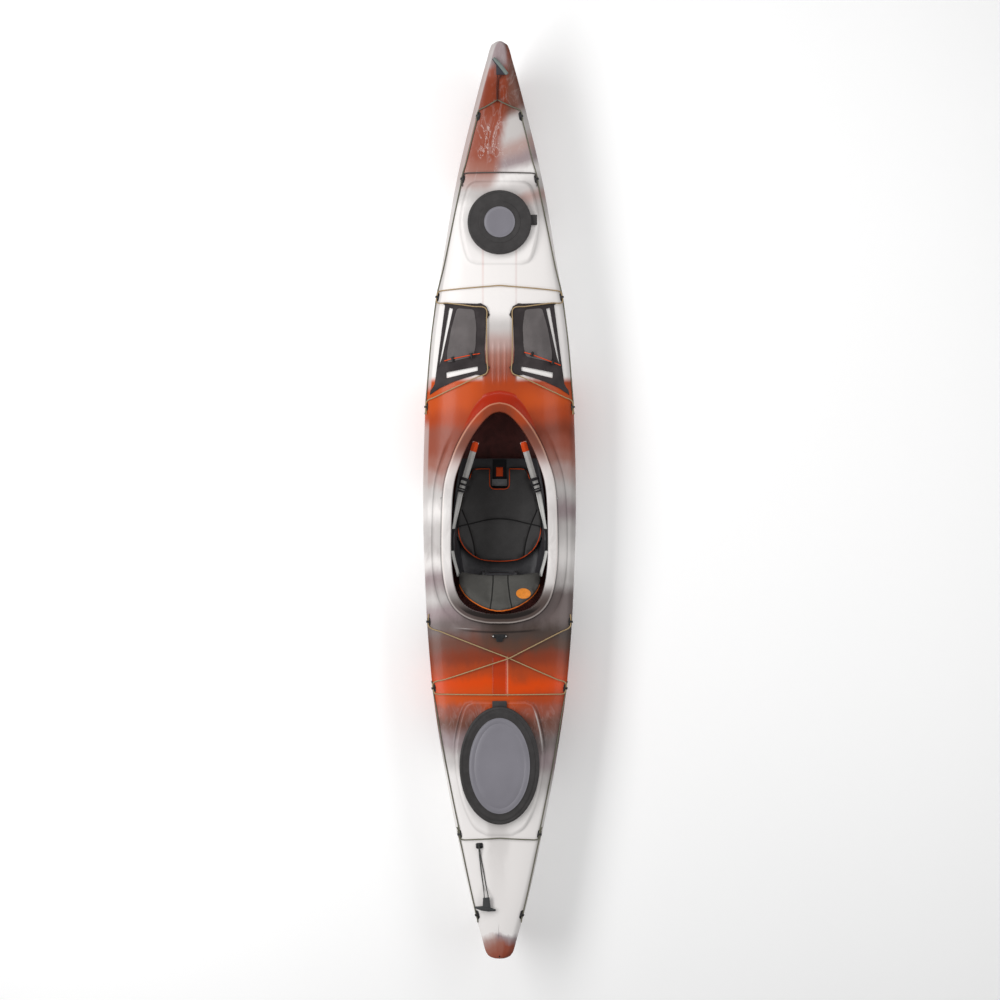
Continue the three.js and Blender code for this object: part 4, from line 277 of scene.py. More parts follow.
def spaced(line, step):
    """Places at even distances along a line of points, both ends among them."""
    lengths = [0.0]
    for a, b in zip(line, line[1:]):
        lengths.append(lengths[-1] + (b - a).length)
    count = max(1, round(lengths[-1] / step))
    found = []
    k = 0
    for i in range(count + 1):
        at = lengths[-1] * i / count
        while k < len(line) - 2 and lengths[k + 1] < at:
            k += 1
        run = lengths[k + 1] - lengths[k]
        found.append(line[k].lerp(line[k + 1], (at - lengths[k]) / run if run > 0 else 0))
    return found


def line_length(line):
    return sum((b - a).length for a, b in zip(line, line[1:]))


def half_outline(shares, length, rear, half_width, step):
    """A plan outline's starboard half, from its rear to its front."""
    places = [(across * half_width, rear + along * length) for along, across in shares]
    return spaced(through(places, 24, 0.0), step)


def whole_outline(half):
    mirrored = [Vector((-p.x, p.y)) for p in reversed(half)]
    outline = []
    for p in [*half, *mirrored]:
        if not outline or (p - outline[-1]).length > 1e-4:
            outline.append(p)
    if (outline[0] - outline[-1]).length < 1e-4:
        outline.pop()
    return outline


def plan_area(outline):
    """A closed outline's area, positive where it runs anticlockwise."""
    return sum(a[0] * b[1] - b[0] * a[1] for a, b in zip(outline, outline[1:] + outline[:1])) / 2


def outward(outline):
    """The direction out of a closed plan outline at each of its points."""
    turn = 1 if plan_area(outline) > 0 else -1
    found = []
    for i in range(len(outline)):
        along = (outline[(i + 1) % len(outline)] - outline[i - 1]).normalized()
        found.append(Vector((along.y, -along.x)) * turn)
    return found


def line_distance(line, xs, ys):
    """How far places are from an open line of plan points."""
    best = np.full(xs.shape, np.inf)
    for a, b in zip(line, line[1:]):
        run = max(1e-12, (b[0] - a[0]) ** 2 + (b[1] - a[1]) ** 2)
        share = np.clip(((xs - a[0]) * (b[0] - a[0]) + (ys - a[1]) * (b[1] - a[1])) / run, 0, 1)
        gap = np.hypot(xs - a[0] - share * (b[0] - a[0]), ys - a[1] - share * (b[1] - a[1]))
        best = np.minimum(best, gap)
    return best


def signed_distance(outline, xs, ys):
    """How far places are inside a closed outline; outside it the number is negative."""
    inside = np.zeros(xs.shape, bool)
    for a, b in zip(outline, outline[1:] + outline[:1]):
        rise = b[1] - a[1] if b[1] != a[1] else 1e-12
        inside ^= ((a[1] > ys) != (b[1] > ys)) & (xs < a[0] + (ys - a[1]) * (b[0] - a[0]) / rise)
    best = line_distance([*outline, outline[0]], xs, ys)
    return np.where(inside, best, -best)


# Routes of the cords: places along each cord's middle, chosen on the deck from one end to the other


def mirrored_route(points):
    return [(-x, y, z) for x, y, z in reversed(points)]


def both_sides(start, *middle):
    """A route whose end mirrors its start."""
    return [*start, *middle, *mirrored_route(start)]


ROUTES = {
    "left_shock_cord": [
        (-0.234, 0.5961, 0.299), (-0.223, 0.5981, 0.3045), (-0.2121, 0.6002, 0.3262),
        (-0.1849, 0.6053, 0.3308), (-0.1743, 0.6072, 0.3327), (-0.1638, 0.6092, 0.3353),
        (-0.1532, 0.6112, 0.3378), (-0.1426, 0.6132, 0.3403), (-0.1321, 0.6152, 0.3398),
        (-0.1049, 0.6203, 0.3444), (-0.0939, 0.6223, 0.3352), (-0.0829, 0.6244, 0.3368),
    ],
    "right_shock_cord": [
        (0.2586, 0.578, 0.288), (0.2485, 0.5814, 0.293), (0.2385, 0.5848, 0.3044), (0.2137, 0.5931, 0.3143),
        (0.2008, 0.5975, 0.3217), (0.188, 0.6018, 0.3286), (0.1752, 0.6061, 0.3325),
        (0.1623, 0.6105, 0.3356), (0.1495, 0.6148, 0.34), (0.1247, 0.6231, 0.3499), (0.1146, 0.6265, 0.3362),
        (0.1046, 0.6299, 0.3344),
    ],
    "front_deck_line": both_sides(
        [
            (-0.3188, 0.3723, 0.2378), (-0.3167, 0.3822, 0.2402), (-0.3147, 0.4251, 0.2412),
            (-0.3062, 0.5205, 0.2428), (-0.2967, 0.6375, 0.2464), (-0.2838, 0.7543, 0.2512),
            (-0.2713, 0.8503, 0.2566), (-0.2642, 0.8927, 0.2585), (-0.2383, 0.9954, 0.2706),
            (-0.2119, 1.1195, 0.2801), (-0.1861, 1.2437, 0.2889), (-0.164, 1.3469, 0.2979),
            (-0.1564, 1.3892, 0.2998), (-0.143, 1.4335, 0.3025), (-0.126, 1.4992, 0.307),
            (-0.1096, 1.5648, 0.3114), (-0.0982, 1.6094, 0.3165), (-0.0899, 1.6515, 0.3189),
        ],
        (-0.0586, 1.6685, 0.3256), (-0.0264, 1.6855, 0.3329), (-0.0096, 1.6942, 0.336),
        (0.0105, 1.6854, 0.3337), (0.0509, 1.6685, 0.3269),
    ),
    "front_cross_cord": both_sides([
        (-0.1587, 1.3356, 0.3012), (-0.1593, 1.346, 0.3004), (-0.1516, 1.3882, 0.3022),
        (-0.1427, 1.3908, 0.3035), (-0.1078, 1.3908, 0.3133), (-0.0719, 1.3909, 0.3187),
        (-0.0358, 1.3909, 0.3222),
    ], (0.0001, 1.391, 0.3233)),
    "foredeck_bungee": both_sides([
        (-0.3127, 0.3718, 0.2467), (-0.3136, 0.3819, 0.2446), (-0.3116, 0.4249, 0.2456),
        (-0.2721, 0.4447, 0.2803), (-0.2283, 0.4644, 0.3024), (-0.1843, 0.4841, 0.3182),
        (-0.141, 0.5038, 0.33), (-0.0977, 0.5235, 0.3376), (-0.0535, 0.5432, 0.3436),
        (-0.0535, 0.6003, 0.3425), (-0.0545, 0.6804, 0.3399), (-0.0545, 0.7604, 0.3375),
        (-0.0585, 0.8152, 0.3358), (-0.1121, 0.8239, 0.3285), (-0.1655, 0.8326, 0.3176),
        (-0.2196, 0.8413, 0.2994), (-0.2679, 0.8496, 0.2607), (-0.2608, 0.8919, 0.2627),
        (-0.2541, 0.8948, 0.2691), (-0.2135, 0.8979, 0.2924), (-0.1704, 0.9007, 0.3079),
        (-0.1281, 0.9035, 0.3171), (-0.0854, 0.9064, 0.3235), (-0.0425, 0.9092, 0.3278),
    ], (0.0001, 0.9121, 0.3294)),
    "rear_bungee": [
        (-0.3026, -0.4823, 0.2348), (-0.3042, -0.4924, 0.2332), (-0.3017, -0.5353, 0.2336),
        (-0.2458, -0.5573, 0.2536), (-0.1884, -0.5793, 0.2646), (-0.1312, -0.6012, 0.2713),
        (-0.0743, -0.6231, 0.2757), (-0.0171, -0.6451, 0.2774), (0.0401, -0.667, 0.2769),
        (0.0809, -0.6853, 0.2751), (0.1215, -0.7036, 0.272), (0.1622, -0.722, 0.2674),
        (0.2032, -0.7403, 0.2614), (0.2439, -0.7586, 0.2524),
        *both_sides([
            (0.2833, -0.7769, 0.237), (0.2777, -0.8195, 0.2378), (0.2697, -0.8222, 0.2419),
            (0.2168, -0.8223, 0.2577), (0.1624, -0.8222, 0.2671), (0.1082, -0.8222, 0.2729),
            (0.054, -0.8222, 0.2766),
        ], (0.0001, -0.8222, 0.2778)),
        (-0.2305, -0.7586, 0.2558),
        (-0.1762, -0.7403, 0.2666), (-0.1221, -0.722, 0.2734), (-0.0683, -0.7036, 0.2781),
        (-0.014, -0.6853, 0.2799), (0.0402, -0.667, 0.2827), (0.0842, -0.6451, 0.2773),
        (0.1278, -0.6231, 0.2735), (0.1717, -0.6012, 0.268), (0.2157, -0.5793, 0.261),
        (0.2597, -0.5574, 0.251), (0.3017, -0.5353, 0.2336), (0.3042, -0.4924, 0.2332),
        (0.3026, -0.4823, 0.2348),
    ],
    "rear_deck_line": both_sides([
        (-0.2913, -0.768, 0.2324), (-0.2877, -0.7775, 0.234), (-0.2822, -0.8202, 0.2348),
        (-0.2676, -0.902, 0.2366), (-0.2506, -1.0053, 0.2405), (-0.2317, -1.1085, 0.2445),
        (-0.2112, -1.2116, 0.2482), (-0.1902, -1.3148, 0.252), (-0.1729, -1.3969, 0.2571),
        (-0.1649, -1.4391, 0.2584), (-0.1563, -1.4418, 0.26), (-0.1181, -1.4394, 0.2705),
        (-0.0785, -1.4369, 0.2754), (-0.0393, -1.4344, 0.2786),
    ], (0.0001, -1.432, 0.2794)),
    "right_stern_line": [
        (0.1822, -1.3886, 0.254), (0.1778, -1.3979, 0.2551), (0.1698, -1.4401, 0.2564),
        (0.1589, -1.4869, 0.2567), (0.1447, -1.5549, 0.2596), (0.1299, -1.623, 0.2631),
        (0.1147, -1.6911, 0.2668), (0.1036, -1.7384, 0.2713), (0.0936, -1.7802, 0.2736),
        (0.0935, -1.7905, 0.2728),
    ],
    "bow_toggle_cord": [
        (-0.0076, 1.811, 0.3447), (-0.0076, 1.795, 0.3447), (-0.0099, 1.7842, 0.3396),
        (-0.0117, 1.7122, 0.3391), (-0.0108, 1.6971, 0.341), (-0.0102, 1.6896, 0.3398),
        (-0.0096, 1.687, 0.3357), (-0.009, 1.6899, 0.332), (-0.0084, 1.6974, 0.3313),
        (-0.0074, 1.7124, 0.3319), (-0.0025, 1.7844, 0.3345), (0.0055, 1.795, 0.3447),
        (0.0055, 1.811, 0.3447),
    ],
    "stern_toggle_cord": [
        (-0.065, -1.692, 0.2972), (-0.065, -1.676, 0.2972), (-0.0686, -1.6399, 0.2799),
        (-0.0775, -1.5779, 0.2763), (-0.0851, -1.51, 0.2743), (-0.0877, -1.4825, 0.2786),
        (-0.0877, -1.4693, 0.2784), (-0.0877, -1.4605, 0.2783), (-0.0877, -1.4578, 0.2827),
        (-0.0876, -1.4626, 0.2873), (-0.0864, -1.4692, 0.2875), (-0.0847, -1.478, 0.2834),
        (-0.0799, -1.51, 0.275), (-0.0674, -1.5779, 0.2777), (-0.0564, -1.6398, 0.2815),
        (-0.048, -1.676, 0.2972), (-0.048, -1.692, 0.2972),
    ],
}
ROUTES["left_stern_line"] = [(-x, y, z) for x, y, z in ROUTES["right_stern_line"]]


# The hull's form


def half_section(t):
    """The outside from the keel to the deck's crown on the starboard side, as (x, z) pairs."""
    full = smooth_at(FULLNESS_SHARES, t)
    half = smooth_at(BEAM_SHARES, t) * HULL_BEAM / 2
    keel, gunwale, crown = (
        smooth_at(shares, t) * HULL_DEPTH for shares in (KEEL_SHARES, GUNWALE_SHARES, CROWN_SHARES)
    )
    bottom = [
        (half * mixed(end[0], middle[0], full), mixed(keel, gunwale, mixed(end[1], middle[1], full)))
        for end, middle in zip(END_BOTTOM_SHARES, MIDDLE_BOTTOM_SHARES)
    ]
    return bottom + [(half * x, mixed(gunwale, crown, z)) for x, z in DECK_SHARES]


def fine_section(t, deck_steps):
    return through(half_section(t), [*BOTTOM_STEPS, *deck_steps])


def drawn_in(points, inset):
    """A half section moved inwards; the points on the middle line stay on it."""
    found = []
    for i, p in enumerate(points):
        if i == 0 or i == len(points) - 1:
            found.append(Vector((0, p.y + (inset if i == 0 else -inset))))
            continue
        before = (p - points[i - 1]).normalized()
        after = (points[i + 1] - p).normalized()
        inward = Vector((-before.y - after.y, before.x + after.x)).normalized()
        found.append(Vector((max(0, p.x + inward.x * inset), p.y + inward.y * inset)))
    return found


KNOWN_SECTIONS = {}


def deck_z(x, y):
    """The deck's height without its small moulded features."""
    key = round(y, 3)
    if key not in KNOWN_SECTIONS:
        line = fine_section(y / HULL_LENGTH + 0.5, INSIDE_DECK_STEPS)[sum(BOTTOM_STEPS):]
        KNOWN_SECTIONS[key] = ([p.x for p in line][::-1], [p.y for p in line][::-1])
    xs, zs = KNOWN_SECTIONS[key]
    return float(np.interp(abs(x), xs, zs))


def spine_z(x):
    return SPINE_RISE * float(eased(abs(x), *SPINE_EDGES))


def platform_z(hatch):
    return smooth_at(CROWN_SHARES, hatch["y"] / HULL_LENGTH + 0.5) * HULL_DEPTH + PLATFORM_RISE


def platform_outline(platform):
    half = half_outline(
        platform["shares"], platform["length"], platform["rear"], platform["half_width"], 0.012
    )
    return whole_outline(half)


COCKPIT_OUTLINE = whole_outline(
    half_outline(COCKPIT_SHARES, COCKPIT_LENGTH, COCKPIT_REAR, COCKPIT_HALF_WIDTH, 0.011)
)


def moulded(xs, ys, zs):
    """The deck's heights with its platforms, flutes, channels and steps moulded in."""
    for hatch, platform in ((BOW_HATCH, BOW_PLATFORM), (STERN_HATCH, STERN_PLATFORM)):
        near = np.abs(ys - hatch["y"]) < platform["length"]
        inside = np.full(xs.shape, -1.0)
        inside[near] = signed_distance(platform_outline(platform), xs[near], ys[near])
        zs = mixed(zs, np.maximum(zs, platform_z(hatch)), eased(inside, -0.010, 0.004))
    middle = np.abs(xs)
    spine = eased(middle, *SPINE_EDGES) * eased(ys, 0.46, 0.52) * eased(ys, 0.86, 0.80)
    zs = zs + SPINE_RISE * spine
    for flute in (-0.025, 0, 0.025):
        across = np.clip(1 - ((xs - flute) / 0.007) ** 2, 0, 1)
        along = np.clip(1 - ((ys - 0.585) / 0.095) ** 4, 0, 1)
        zs = zs + 0.004 * across * along
    channel = eased(middle, 0.031, 0.027) * eased(ys, -0.826, -0.820) * eased(ys, -0.658, -0.664)
    slot = eased(middle, 0.0055, 0.003) * eased(ys, -1.858, -1.854) * eased(ys, -1.806, -1.812)
    step = eased(middle, 0.215, 0.15) * eased(ys, -0.560, -0.549) * eased(ys, -0.47, -0.545)
    near = (np.abs(xs) < 0.3) & (ys > -0.56) & (ys < 0.42)
    outside = np.full(xs.shape, 1.0)
    outside[near] = -signed_distance(COCKPIT_OUTLINE, xs[near], ys[near])
    fold = eased(outside, *FOLD_EDGES) * eased(ys, *FOLD_END)
    return zs - 0.003 * (channel + slot) + 0.006 * step - FOLD_DEPTH * fold


# Meshes and objects


def only(obj):
    """This object alone is selected and active."""
    if bpy.context.object and bpy.context.object.mode != "OBJECT":
        bpy.ops.object.mode_set(mode="OBJECT")
    bpy.ops.object.select_all(action="DESELECT")
    obj.select_set(True)
    bpy.context.view_layer.objects.active = obj


@contextmanager
def editing(piece):
    """Edit mode with all of this piece selected."""
    only(piece)
    bpy.ops.object.mode_set(mode="EDIT")
    bpy.ops.mesh.select_all(action="SELECT")
    yield
    bpy.ops.object.mode_set(mode="OBJECT")


def new_piece(name, points, faces):
    mesh = bpy.data.meshes.new(name)
    mesh.from_pydata([tuple(p) for p in points], [], faces)
    mesh.update()
    piece = bpy.data.objects.new(name, mesh)
    bpy.context.scene.collection.objects.link(piece)
    return piece


def finished_start(name):
    """The primitive that an operator has just added, under its own name."""
    piece = bpy.context.object
    piece.name = name
    piece.data.name = name
    return piece


def modified(piece, kind, **settings):
    """The piece with one modifier applied."""
    only(piece)
    change = piece.modifiers.new(kind.title(), kind)
    for key, value in settings.items():
        setattr(change, key, value)
    bpy.ops.object.modifier_apply(modifier=change.name)
    return piece


def bevelled(piece, width, segments, degrees):
    """Rounds the edges sharper than an angle."""
    angle = math.radians(degrees)
    return modified(
        piece, "BEVEL", width=width, segments=segments, limit_method="ANGLE", angle_limit=angle
    )


def outward_faces(piece):
    with editing(piece):
        bpy.ops.mesh.remove_doubles(threshold=1e-6)
        bpy.ops.mesh.normals_make_consistent(inside=False)
    return piece


def smoothed(piece, degrees=35):
    only(piece)
    bpy.ops.object.shade_smooth_by_angle(angle=math.radians(degrees))
    return piece


def placed(piece):
    """The object's place goes into its mesh."""
    only(piece)
    bpy.ops.object.transform_apply(location=True, rotation=True, scale=True)
    return piece


def dress(piece, material, slot, body, *nodes):
    """Gives a piece its finish, its body and the nodes that it stands for."""
    if material is not None:
        piece.data.materials.clear()
        piece.data.materials.append(material)
    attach(piece, body)
    if nodes:
        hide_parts(*nodes)
    return piece


def skin_over(rings, closed_ends=True, around=True):
    """Points and faces over rings of the same count of points."""
    count = len(rings[0])
    points = [p for ring in rings for p in ring]
    faces = []
    for r in range(len(rings) - 1):
        for i in range(count if around else count - 1):
            j = (i + 1) % count
            faces.append((r * count + i, r * count + j, (r + 1) * count + j, (r + 1) * count + i))
    if closed_ends:
        faces.append(tuple(reversed(range(count))))
        faces.append(tuple(range((len(rings) - 1) * count, len(rings) * count)))
    return points, faces


def swept(name, line, section_at, turns_at=None, closed=False):
    """A section carried along a line, with a UV map: u round the section, v along it in metres."""
    count = len(line)
    tangents = []
    for i in range(count):
        before = line[i - 1] if i > 0 or closed else line[i]
        after = line[(i + 1) % count] if i < count - 1 or closed else line[i]
        tangents.append((after - before).normalized())
    side = tangents[0].cross(Vector((0, 0, 1)))
    if side.length < 1e-3:
        side = Vector((1, 0, 0))
    side.normalize()
    rings = []
    run = [0.0]
    for i in range(count):
        side = (side - tangents[i] * side.dot(tangents[i])).normalized()
        if turns_at is not None:
            flat = tangents[i].cross(Vector((0, 0, 1))).normalized()
            side = Matrix.Rotation(turns_at(i / (count - 1)), 3, tangents[i]) @ flat
        up = side.cross(tangents[i])
        section = section_at(i / max(1, count - 1))
        rings.append([line[i] + side * a + up * b for a, b in section])
        if i:
            run.append(run[-1] + (line[i] - line[i - 1]).length)
    if closed:
        rings.append(rings[0])
        run.append(run[-1] + (line[0] - line[-1]).length)
    points, faces = skin_over(rings, not closed)
    piece = new_piece(name, points, faces)
    width = len(rings[0])
    layer = piece.data.uv_layers.new(name="Run")
    for face in piece.data.polygons:
        corners = [piece.data.loops[k].vertex_index for k in face.loop_indices]
        wraps = len(corners) == 4 and {c % width for c in corners} == {0, width - 1}
        for k, corner in zip(face.loop_indices, corners):
            u = corner % width
            if wraps and u == 0:
                u = width
            layer.data[k].uv = (u / width, run[corner // width])
    return outward_faces(piece) if closed else piece


def round_section(radius, sides=10):
    ring = [
        (radius * math.cos(math.tau * k / sides), radius * math.sin(math.tau * k / sides))
        for k in range(sides)
    ]
    return lambda share: ring


def band_section(width_at, thickness):
    """A flat strap with round edges."""
    edge = thickness / 2

    def section(share):
        half = width_at(share) / 2 - edge
        right = [(half + edge * math.cos(a), edge * math.sin(a)) for a in (-1.57, -0.8, 0, 0.8, 1.57)]
        left = [(-half - edge * math.cos(a), edge * math.sin(a)) for a in (1.57, 0.8, 0, -0.8, -1.57)]
        return right + left

    return section


def plan_sheet(outline, holes, cell, height_at):
    """Points and triangles over a plan outline with holes, at the heights that a function gives."""
    xs = np.array([p[0] for p in outline])
    ys = np.array([p[1] for p in outline])
    grid_x, grid_y = np.meshgrid(
        np.arange(xs.min(), xs.max() + cell, cell), np.arange(ys.min(), ys.max() + cell, cell)
    )
    grid_x[1::2] += cell / 2
    gx, gy = grid_x.ravel(), grid_y.ravel()
    clear = signed_distance(outline, gx, gy) > 0.5 * cell
    for hole in holes:
        clear &= signed_distance(hole, gx, gy) < -0.5 * cell
    points, edges = [], []
    for ring in [outline, *holes]:
        dense = []
        for a, b in zip(ring, ring[1:] + ring[:1]):
            a, b = Vector(a[:2]), Vector(b[:2])
            count = max(1, round((b - a).length / cell))
            dense += [a.lerp(b, k / count) for k in range(count)]
        start = len(points)
        points += dense
        edges += [(start + k, start + (k + 1) % len(dense)) for k in range(len(dense))]
    points += [Vector((float(x), float(y))) for x, y in zip(gx[clear], gy[clear])]
    found, _, triangles, _, _, _ = delaunay_2d_cdt(points, edges, [], 0, 1e-6)
    mid_x = np.array([sum(found[k].x for k in t) / len(t) for t in triangles])
    mid_y = np.array([sum(found[k].y for k in t) / len(t) for t in triangles])
    keep = signed_distance(outline, mid_x, mid_y) > 0
    for hole in holes:
        keep &= signed_distance(hole, mid_x, mid_y) < 0
    faces = [tuple(t) for t, kept in zip(triangles, keep) if kept]
    return [(p.x, p.y, height_at(p.x, p.y)) for p in found], faces


def copied(piece, name):
    twin = bpy.data.objects.new(name, piece.data.copy())
    bpy.context.scene.collection.objects.link(twin)
    return twin


def node_copy(node, name):
    """A copy of a CAD node's mesh with its loose triangles joined."""
    piece = copied(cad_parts[node], name)
    with editing(piece):
        bpy.ops.mesh.remove_doubles(threshold=1e-5)
    for layer in list(piece.data.uv_layers):
        piece.data.uv_layers.remove(layer)
    return piece


def moulding(node, name, bevel):
    """A rigid node with its edges rounded as moulded plastic has them."""
    piece = node_copy(node, name)
    with editing(piece):
        bpy.ops.mesh.dissolve_limited(angle_limit=math.radians(1))
    return smoothed(bevelled(piece, bevel, 2, 30), 40)


def finished_node(node, name, bevel, look, slot):
    """A rigid node with rounded edges, dressed to stand for itself."""
    return dress(moulding(node, name, bevel), look, slot, NODE_BODIES.get(node, "boat"), node)


def surface_of(piece):
    mesh = piece.data
    return BVHTree.FromPolygons([v.co for v in mesh.vertices], [p.vertices for p in mesh.polygons])


def fallen(surface, x, y):
    """Where a line straight down meets the surface first, and the surface's direction there."""
    hit, normal, _, _ = surface.ray_cast(Vector((x, y, 0.6)), Vector((0, 0, -1)))
    return hit, normal


def plan_places(piece):
    return (np.array([v.co[k] for v in piece.data.vertices]) for k in range(2))


def marked(piece, key, values):
    """Gives each point of the mesh a number that a finish can read."""
    piece.data.attributes.new(key, "FLOAT", "POINT").data.foreach_set("value", values)


def mirrored_copy(piece, name):
    """The port twin of a starboard piece."""
    twin = copied(piece, name)
    twin.data.transform(Matrix.Scale(-1, 4, (1, 0, 0)))
    twin.data.flip_normals()
    return twin


# Shader maths


class Wire:
    """A number or colour in a material; arithmetic on it adds Math nodes."""

    def __init__(self, finish, socket):
        self.finish = finish
        self.socket = socket

    def math(self, operation, *values, clamp=False):
        settings = {"operation": operation, "use_clamp": clamp}
        return self.finish.node("ShaderNodeMath", settings, dict(enumerate(values)))

    def __add__(self, other):
        return self.math("ADD", self, other)

    def __radd__(self, other):
        return self.math("ADD", other, self)

    def __sub__(self, other):
        return self.math("SUBTRACT", self, other)

    def __rsub__(self, other):
        return self.math("SUBTRACT", other, self)

    def __mul__(self, other):
        return self.math("MULTIPLY", self, other)

    def __rmul__(self, other):
        return self.math("MULTIPLY", other, self)

    def __truediv__(self, other):
        return self.math("DIVIDE", self, other)

    def __abs__(self):
        return self.math("ABSOLUTE", self)

    def sine(self):
        return self.math("SINE", self)

    def clamped(self):
        return self.math("ADD", self, 0.0, clamp=True)

    def eased(self, low, high):
        """0 at low, 1 at high and smooth between."""
        values = {"Value": self, "From Min": low, "From Max": high}
        return self.finish.node("ShaderNodeMapRange", {"interpolation_type": "SMOOTHSTEP"}, values)

    def within(self, low, full, still, gone):
        """0 below low, 1 from full to still and 0 again above gone."""
        return self.eased(low, full) * (1 - self.eased(still, gone))


class Finish:
    """A procedural material round one Principled shader."""

    def __init__(self, name, roughness, **uniform):
        self.material = bpy.data.materials.new(name)
        self.material.use_nodes = True
        self.tree = self.material.node_tree
        self.shader = self.tree.nodes["Principled BSDF"]
        self.shader.inputs["Roughness"].default_value = roughness
        for key, value in uniform.items():
            self.shader.inputs[key.replace("_", " ").title().replace("Ior", "IOR")].default_value = value

    def node(self, kind, settings=None, inputs=None, output=0):
        made = self.tree.nodes.new(kind)
        for key, value in (settings or {}).items():
            setattr(made, key, value)
        for key, value in (inputs or {}).items():
            self.feed(made.inputs[key], value)
        return Wire(self, made.outputs[output])

    def feed(self, socket, value):
        if isinstance(value, Wire):
            self.tree.links.new(value.socket, socket)
        else:
            socket.default_value = value

    def paint(self, **sockets):
        for key, value in sockets.items():
            self.feed(self.shader.inputs[key.replace("_", " ").title()], value)
        return self

    def place(self):
        """Where a point of the surface is, in the boat's own directions, in metres."""
        return self.node("ShaderNodeTexCoord", output="Object")

    def run(self):
        """The piece's own UV map."""
        return self.node("ShaderNodeTexCoord", output="UV")

    def parts(self, vector):
        split = self.tree.nodes.new("ShaderNodeSeparateXYZ")
        self.feed(split.inputs[0], vector)
        return [Wire(self, socket) for socket in split.outputs]

    def scaled(self, vector, scale, shift=(0, 0, 0)):
        values = {"Vector": vector, "Scale": scale, "Location": shift}
        return self.node("ShaderNodeMapping", None, values)

    def noise(self, vector, scale, detail=4.0, roughness=0.55, distortion=0.0, colour=False):
        values = {
            "Vector": vector, "Scale": scale, "Detail": detail, "Roughness": roughness,
            "Distortion": distortion,
        }
        return self.node("ShaderNodeTexNoise", None, values, "Color" if colour else "Fac")

    def mix(self, factor, a, b):
        colours = [c if isinstance(c, Wire) else (*c, 1) for c in (a, b)]
        return self.node(
            "ShaderNodeMix", {"data_type": "RGBA"}, {0: factor, 6: colours[0], 7: colours[1]}, 2
        )

    def ramp(self, factor, stops):
        """The colours at their places between 0 and 1, and a smooth change from each to the next."""
        made = self.tree.nodes.new("ShaderNodeValToRGB")
        made.color_ramp.interpolation = "EASE"
        points = made.color_ramp.elements
        while len(points) < len(stops):
            points.new(0.5)
        for point, (at, paint) in zip(points, stops):
            point.position = at
            point.color = (*paint, 1)
        self.feed(made.inputs[0], factor)
        return Wire(self, made.outputs[0])

    def attribute(self, name):
        return self.node("ShaderNodeAttribute", {"attribute_name": name}, output="Fac")

    def bump(self, height, distance, strength=1.0):
        """The last step of a finish, which gives back the material."""
        values = {"Height": height, "Distance": distance, "Strength": strength}
        self.feed(self.shader.inputs["Normal"], self.node("ShaderNodeBump", None, values))
        return self.material


def shade(code):
    """A colour written as on a screen, as the light that the shader wants."""
    parts = [int(code[k:k + 2], 16) / 255 for k in (0, 2, 4)]
    return tuple(p / 12.92 if p <= 0.04045 else ((p + 0.055) / 1.055) ** 2.4 for p in parts)


def toned(colour, share, more=0.0):
    """A colour made darker or lighter by a share, and raised by a little more."""
    return tuple(c * share + more for c in colour)


def worn(finish, colour, depth=0.12, scale=60.0):
    """A colour with the faint unevenness of moulded or woven stuff."""
    cloud = finish.noise(finish.place(), scale, 5.0, 0.6)
    dark = toned(colour, 1 - depth)
    light = tuple(min(1, c) for c in toned(colour, 1 + depth, 0.004))
    return finish.mix(cloud.eased(0.3, 0.7), dark, light)


# Colours of the marbled hull from stern to bow, as (place along the boat, paint), for its port side, its
# middle and its starboard side
PORT_PAINTS = [
    (-1.945, "brick"), (-1.90, "pink"), (-1.862, "blush"), (-1.845, "white"), (-1.19, "white"),
    (-1.10, "pale"), (-1.03, "mauve"), (-0.95, "brown"), (-0.89, "brick"), (-0.85, "orange"),
    (-0.78, "blaze"), (-0.73, "burnt"), (-0.67, "rust"), (-0.60, "brown"), (-0.53, "ash"), (-0.47, "mauve"),
    (-0.41, "pale"), (-0.33, "mauve"), (-0.26, "white"), (-0.20, "pale"), (-0.12, "pale"), (-0.04, "white"),
    (0.03, "pale"), (0.09, "blush"), (0.14, "pink"), (0.21, "brick"), (0.29, "brick"), (0.35, "burnt"),
    (0.42, "orange"), (0.52, "orange"),
]
MIDDLE_PAINTS = [
    (-1.945, "brick"), (-1.88, "pink"), (-1.855, "mauve"), (-1.835, "white"), (-1.05, "pale"),
    (-0.93, "burnt"), (-0.84, "orange"), (-0.77, "blaze"), (-0.72, "burnt"), (-0.67, "rust"),
    (-0.61, "umber"), (-0.56, "dark"), (-0.50, "dark"), (-0.40, "dark"), (0.30, "brown"), (0.39, "rust"),
    (0.45, "burnt"), (0.50, "burnt"), (0.55, "brick"), (0.61, "pink"), (0.67, "blush"), (0.74, "pale"),
    (0.81, "white"), (1.0, "white"),
]
STARBOARD_PAINTS = [
    (-1.945, "rust"), (-1.885, "brick"), (-1.858, "mauve"), (-1.84, "white"), (-1.30, "white"),
    (-1.20, "pale"), (-1.12, "mauve"), (-1.04, "ash"), (-0.95, "brown"), (-0.89, "brick"), (-0.85, "burnt"),
    (-0.79, "blaze"), (-0.73, "burnt"), (-0.67, "rust"), (-0.61, "umber"), (-0.55, "dark"), (-0.48, "ash"),
    (-0.40, "ash"), (-0.34, "pale"), (-0.25, "white"), (-0.12, "pale"), (-0.04, "mauve"), (0.04, "pale"),
    (0.12, "blush"), (0.18, "pink"), (0.24, "brick"), (0.30, "rust"), (0.37, "burnt"), (0.43, "orange"),
    (0.52, "burnt"),
]
BOW_PORT_PAINTS = [
    (1.12, "white"), (1.24, "white"), (1.30, "pale"), (1.35, "blush"), (1.41, "pink"), (1.47, "brick"),
    (1.60, "brick"), (1.68, "rust"), (1.76, "rust"), (1.82, "brick"), (1.86, "mauve"), (1.92, "mauve"),
]
